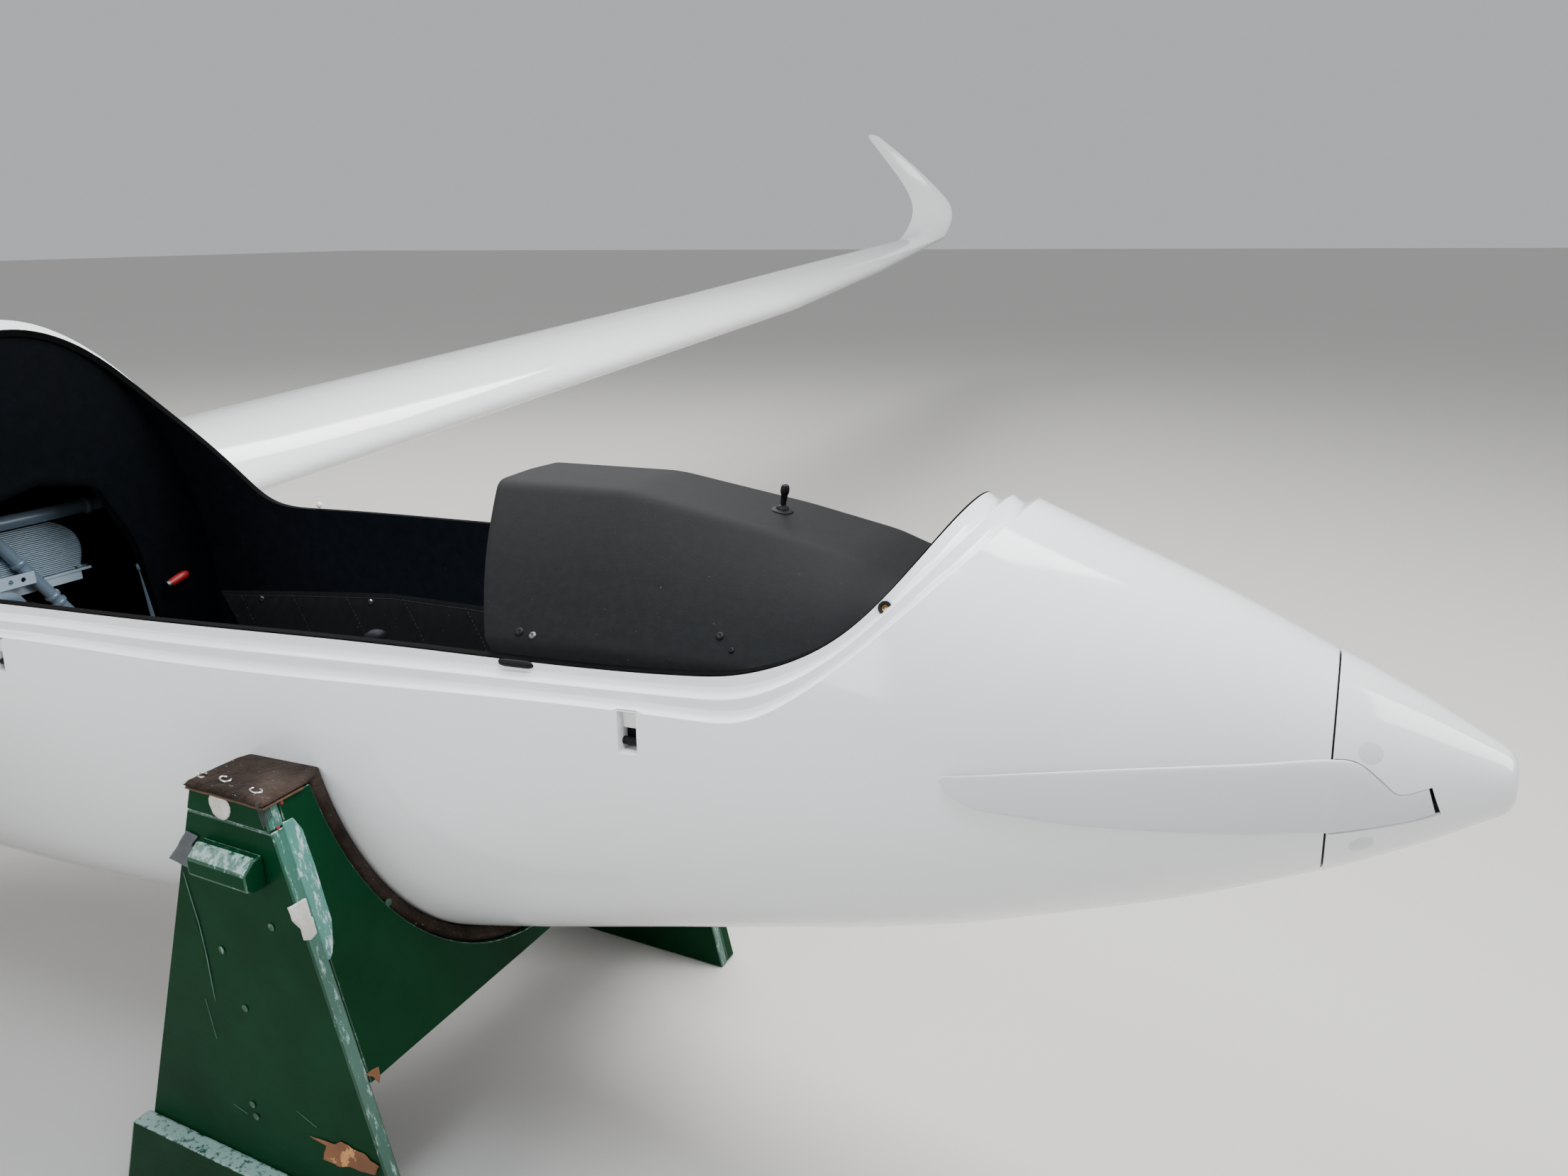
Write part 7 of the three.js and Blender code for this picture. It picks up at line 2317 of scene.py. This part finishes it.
def rim_part(centre, rim, half, bore, count=96):
    """A wheel rim: flanges, a drop centre, a dished web and a hub."""
    outer = rim - 0.0003
    side = [[1.0, 1.0], [1.01, 0.955], [0.94, 0.915], [0.80, 0.895], [0.62, 0.845], [0.42, 0.825],
            [0.36, 0.77], [0.33, 0.53], [0.40, 0.43], [0.72, 0.37], [0.95, 0.35], [1.0, 0.325]]
    profile = [[-x * half, z * outer] for x, z in side] + [[-half, bore], [half, bore]]
    profile += [[x * half, z * outer] for x, z in side[::-1]]
    return turned_part(centre, (0, 1, 0), profile, count)


def nut_ring(centre, radius, y, axis, count, size, height):
    """Hexagon heads in a ring about an axle."""
    parts = []
    for k in range(count):
        a = 2 * math.pi * k / count + 0.2
        parts.append(hex_bolt(centre + np.array([radius * math.sin(a), y, radius * math.cos(a)]),
                              (0, axis, 0), size, height))
    return parts


WHEEL_ALUMINIUM = finish_of("wheel_aluminium", DRAWN, 0.25, 0.0005, colour=(0.50, 0.50, 0.49, 1),
                            mark_colour=(0.30, 0.30, 0.30, 1), roughness=0.38, Metallic=0.6)
piece("main_tyre_grooved", place(tyre_part(AXLE, 0.180, 0.125, 0.088, (-0.5, -0.17, 0.17, 0.5))), TYRE,
      "main_wheel", replaces="main_tyre", sharp=None)
piece("main_wheel_rim_dished", place(rim_part(AXLE, 0.088, 0.0388, 0.0131)), WHEEL_ALUMINIUM, "main_wheel",
      replaces="main_wheel_rim", sharp=30)
wheel_bolts = [bolt for side in (-1, 1) for bolt in
               nut_ring(AXLE, 0.056, side * 0.0135, side, 8, 0.0052, 0.005)]
piece("main_wheel_bolts", placed(wheel_bolts), STEEL, "main_wheel")
valve = [rod(AXLE + [0.069, -0.016, 0], AXLE + [0.066, -0.041, 0], 0.0028),
         rod(AXLE + [0.0662, -0.039, 0], AXLE + [0.0655, -0.047, 0], 0.0038)]
piece("main_wheel_valve", placed(valve), TYRE, "main_wheel")
disc = [[0.0470, 0.030], [0.0470, 0.0705], [0.0476, 0.0712], [0.0506, 0.0712], [0.0512, 0.0705],
        [0.0512, 0.030], [0.0500, 0.0285], [0.036, 0.0285], [0.036, 0.024], [0.0478, 0.024]]
piece("brake_disc", place(turned_part(AXLE, (0, 1, 0), disc, 96)), BRIGHT_STEEL, "main_wheel",
      sharp=25)
piece("brake_disc_bolts", placed(nut_ring(AXLE, 0.0335, 0.0512, 1, 6, 0.0034, 0.003)), STEEL, "main_wheel")

# Fork, drawn up: its arms run aft from the pivot, nearly level.
pivot = np.array([2.090, 0.0, -0.262])
fork_way = (AXLE - pivot)[[0, 2]] / np.linalg.norm(AXLE - pivot)
fork_over = np.array([-fork_way[1], fork_way[0]])


def on_fork(along, over):
    """Station and height of a point of the fork's own plane, from its pivot."""
    return np.multiply.outer(along, fork_way) + np.multiply.outer(over, fork_over) + pivot[[0, 2]]


ARM_LINE = rounded([[-0.020, 0.014], [-0.004, 0.0225], [0.060, 0.0225], [0.150, 0.0205], [0.215, 0.0230],
                    [0.242, 0.0180], [0.252, 0.0040], [0.251, -0.0120], [0.238, -0.0220], [0.215, -0.0235],
                    [0.150, -0.0205], [0.060, -0.0225], [0.000, -0.0235], [-0.018, -0.0160]], 2,
                   closed=True)
PIVOT_BOSS = [[0.0725, 0.0145], [0.0725, 0.0220], [0.0740, 0.0230], [0.0880, 0.0230], [0.0895, 0.0220],
              [0.0895, 0.0145]]
AXLE_BOSS = [[0.0735, 0.0132], [0.0735, 0.0205], [0.0745, 0.0215], [0.0860, 0.0215], [0.0875, 0.0200],
             [0.0875, 0.0132]]
CROSS_TUBE = ((2.117, -0.0765, -0.263), (2.117, 0.0765, -0.263))
fork = []
for side in (-1, 1):
    flat = on_fork(ARM_LINE[:, 0], ARM_LINE[:, 1])
    outline = np.column_stack([flat[:, 0], np.full(len(flat), side * 0.0755), flat[:, 1]])
    fork.append(slab_part(outline, [0, side * 0.0095, 0]))
    fork.append(turned_part(pivot, (0, side, 0), PIVOT_BOSS, 48))
    fork.append(turned_part(AXLE, (0, side, 0), AXLE_BOSS, 48))
    rib = on_fork(np.linspace(0.035, 0.195, 9), np.zeros(9))
    swell = np.array([0.0015, 0.0044, 0.0050, 0.0052, 0.0052, 0.0052, 0.0050, 0.0044, 0.0015])
    path = np.column_stack([rib[:, 0], np.full(9, side * 0.0852), rib[:, 1]])
    fork.append(loft_part(sweep(path, circle(swell, 14), (0, 1, 0))))
fork.append(rod(*CROSS_TUBE, 0.009))
fork += [collar(*CROSS_TUBE, share, 0.009, 0.005) for share in (0.03, 0.97)]
piece("gear_fork_welded", placed(fork), BLUE_TUBE, replaces="main_gear_fork",
      bevel=0.0015)
piece("gear_axle", place(rod(AXLE - [0, 0.0905, 0], AXLE + [0, 0.0905, 0], 0.0126, 40)), STEEL)
axle_nuts = [hex_bolt(AXLE + [0, side * 0.0875, 0], (0, side, 0), 0.0135, 0.0045) for side in (-1, 1)]
piece("gear_axle_nuts", placed(axle_nuts), BRIGHT_STEEL)
towards, square = -fork_way, fork_over
grip_centre = AXLE + 0.066 * np.array([towards[0], 0, towards[1]])


def caliper_slab(along, across, low, high):
    """A block of the brake caliper, square to the line from the axle to the fork's pivot."""
    corners = [[along[0], across[0]], [along[1], across[0]], [along[1], across[1]], [along[0], across[1]]]
    corners = rounded(corners, 2, True)
    flat = corners[:, :1] * towards + corners[:, 1:] * square + grip_centre[[0, 2]]
    return slab_part(np.column_stack([flat[:, 0], np.full(len(flat), low), flat[:, 1]]), [0, high - low, 0])


CALIPER = (((-0.016, 0.018), (-0.019, 0.019), 0.0404, 0.0457),
           ((-0.016, 0.018), (-0.019, 0.019), 0.0525, 0.0756),
           ((0.0085, 0.018), (-0.013, 0.013), 0.0410, 0.0700))
piece("brake_caliper", [place(caliper_slab(*slab)) for slab in CALIPER], STEEL,
      bevel=0.0008)

# Wheel doors.

def belly_height(station, y):
    """Height of the hull's underside at a distance from the middle."""
    w, mid, _, low, _, n = np.moveaxis(hull_values(station), -1, 0)
    return mid - (mid - low) * (1 - np.abs(y / w) ** n) ** (1 / n)


def door_part(side):
    """A closed wheel door: a slice of the hull's skin from the middle to the bay's edge."""
    station = np.linspace(BAY_FRONT + 0.0025, BAY_REAR - 0.0025, 90)[:, None]
    y = np.linspace(0.0014, BAY_HALF - 0.0014, 24)[None]
    z = belly_height(station, y)
    outer = np.stack([station + 0 * y, side * y + 0 * station, z], -1)
    return loft_part(np.concatenate([outer, outer[:, ::-1] + [0, 0, 0.005]], 1))


DOOR_SCREW = [[0.0, 0.0], [0.0, 0.0030], [0.0012, 0.0026], [0.0016, 0.0014], [0.0016, 0.0]]
for name, side in SIDES:
    piece(f"gear_door_{name}_panel", place(door_part(side)), GELCOAT, replaces=f"gear_door_{name}",
          bevel=0.0008, sharp=35)
    hinges, links = [], []
    for station in (2.10, 2.23, 2.38):
        z = float(belly_height(np.array(station), 0.088))
        near, far = sorted((side * 0.070, side * 0.0885))
        hinges.append(rod((station - 0.018, side * 0.0885, z + 0.0085),
                          (station + 0.018, side * 0.0885, z + 0.0085), 0.0032))
        hinges.append(box_part([station - 0.015, near, z + 0.0042], [station + 0.015, far, z + 0.0066]))
        links += [turned_part((station + d, side * 0.076, z + 0.0062), (0, 0, 1), DOOR_SCREW, 14, False)
                  for d in (-0.008, 0.008)]
    foot = float(belly_height(np.array(2.440), 0.060)) + 0.0045
    links.append(rod((2.440, side * 0.060, foot + 0.004), (2.452, side * 0.0925, -0.325), 0.0028))
    links.append(rod((2.432, side * 0.060, foot + 0.004), (2.448, side * 0.060, foot + 0.004), 0.0045))
    piece(f"gear_door_{name}_hinges", placed(hinges), STEEL, bevel=0.0004)
    piece(f"gear_door_{name}_links", placed(links), BRIGHT_STEEL)

# Tail wheel and its fairing.
piece("tail_tyre_grooved", place(tyre_part(TAIL_AXLE, 0.095, 0.046, 0.048, (-0.25, 0.25), 110)), TYRE,
      "tail_wheel", replaces="tail_tyre", sharp=None)
piece("tail_wheel_rim_dished", place(rim_part(TAIL_AXLE, 0.048, 0.0142, 0.0065, 72)), WHEEL_ALUMINIUM,
      "tail_wheel", replaces="tail_wheel_rim", sharp=30)
tail_bolts = [bolt for side in (-1, 1) for bolt in
              nut_ring(TAIL_AXLE, 0.030, side * 0.0048, side, 5, 0.0030, 0.003)]
piece("tail_wheel_bolts", placed(tail_bolts), STEEL, "tail_wheel")
low_line = rounded([[6.045, 0.040], [6.060, 0.004], [6.085, -0.018], [6.128, -0.058], [6.155, -0.061],
                    [6.182, -0.058], [6.215, -0.028], [6.245, 0.002], [6.282, 0.040]], 3)


def fairing_wall():
    """A wall round the tail wheel: from the rear on one side, round a blunt front, to the rear on the
    other side. Its lower edge rises to both ends."""
    turn = np.linspace(-np.pi / 2, np.pi / 2, 40)
    nose = np.stack([6.098 - 0.052 * np.cos(turn), 0.0375 * np.sin(turn)], -1)
    tail = np.linspace(6.282, 6.100, 60)
    taper = 0.0375 - 0.012 * np.clip((tail - 6.16) / 0.12, 0, 1) ** 1.6
    plan = np.concatenate([np.stack([tail, -taper], -1), nose, np.stack([tail[::-1], taper[::-1]], -1)])
    along = np.gradient(plan, axis=0)
    inwards = np.stack([along[:, 1], -along[:, 0]], -1) / np.linalg.norm(along, axis=1)[:, None]
    low = np.interp(plan[:, 0], low_line[:, 0], low_line[:, 1])
    top = np.full(len(plan), 0.040)
    rows = []
    for sink, lift in ((0.0, None), (0.0, 0.004), (0.0002, 0.0016), (0.0012, 0.0002), (0.0030, 0.0),
                       (0.0044, 0.0008), (0.0050, 0.003), (0.0050, None)):
        flat = plan + inwards * sink
        rows.append(np.column_stack([flat, top if lift is None else np.minimum(low + lift, top)]))
    return loft_part(np.array(rows).transpose(1, 0, 2))


piece("tail_wheel_fairing_wall", place(fairing_wall()), GELCOAT, replaces="tail_wheel_fairing",
      sharp=50)
piece("tail_axle", place(rod(TAIL_AXLE - [0, 0.0378, 0], TAIL_AXLE + [0, 0.0378, 0], 0.006, 28)), STEEL)
tail_nuts = [hex_bolt(TAIL_AXLE + [0, side * 0.0374, 0], (0, side, 0), 0.0075, 0.0045) for side in (-1, 1)]
piece("tail_axle_nuts", placed(tail_nuts), BRIGHT_STEEL)
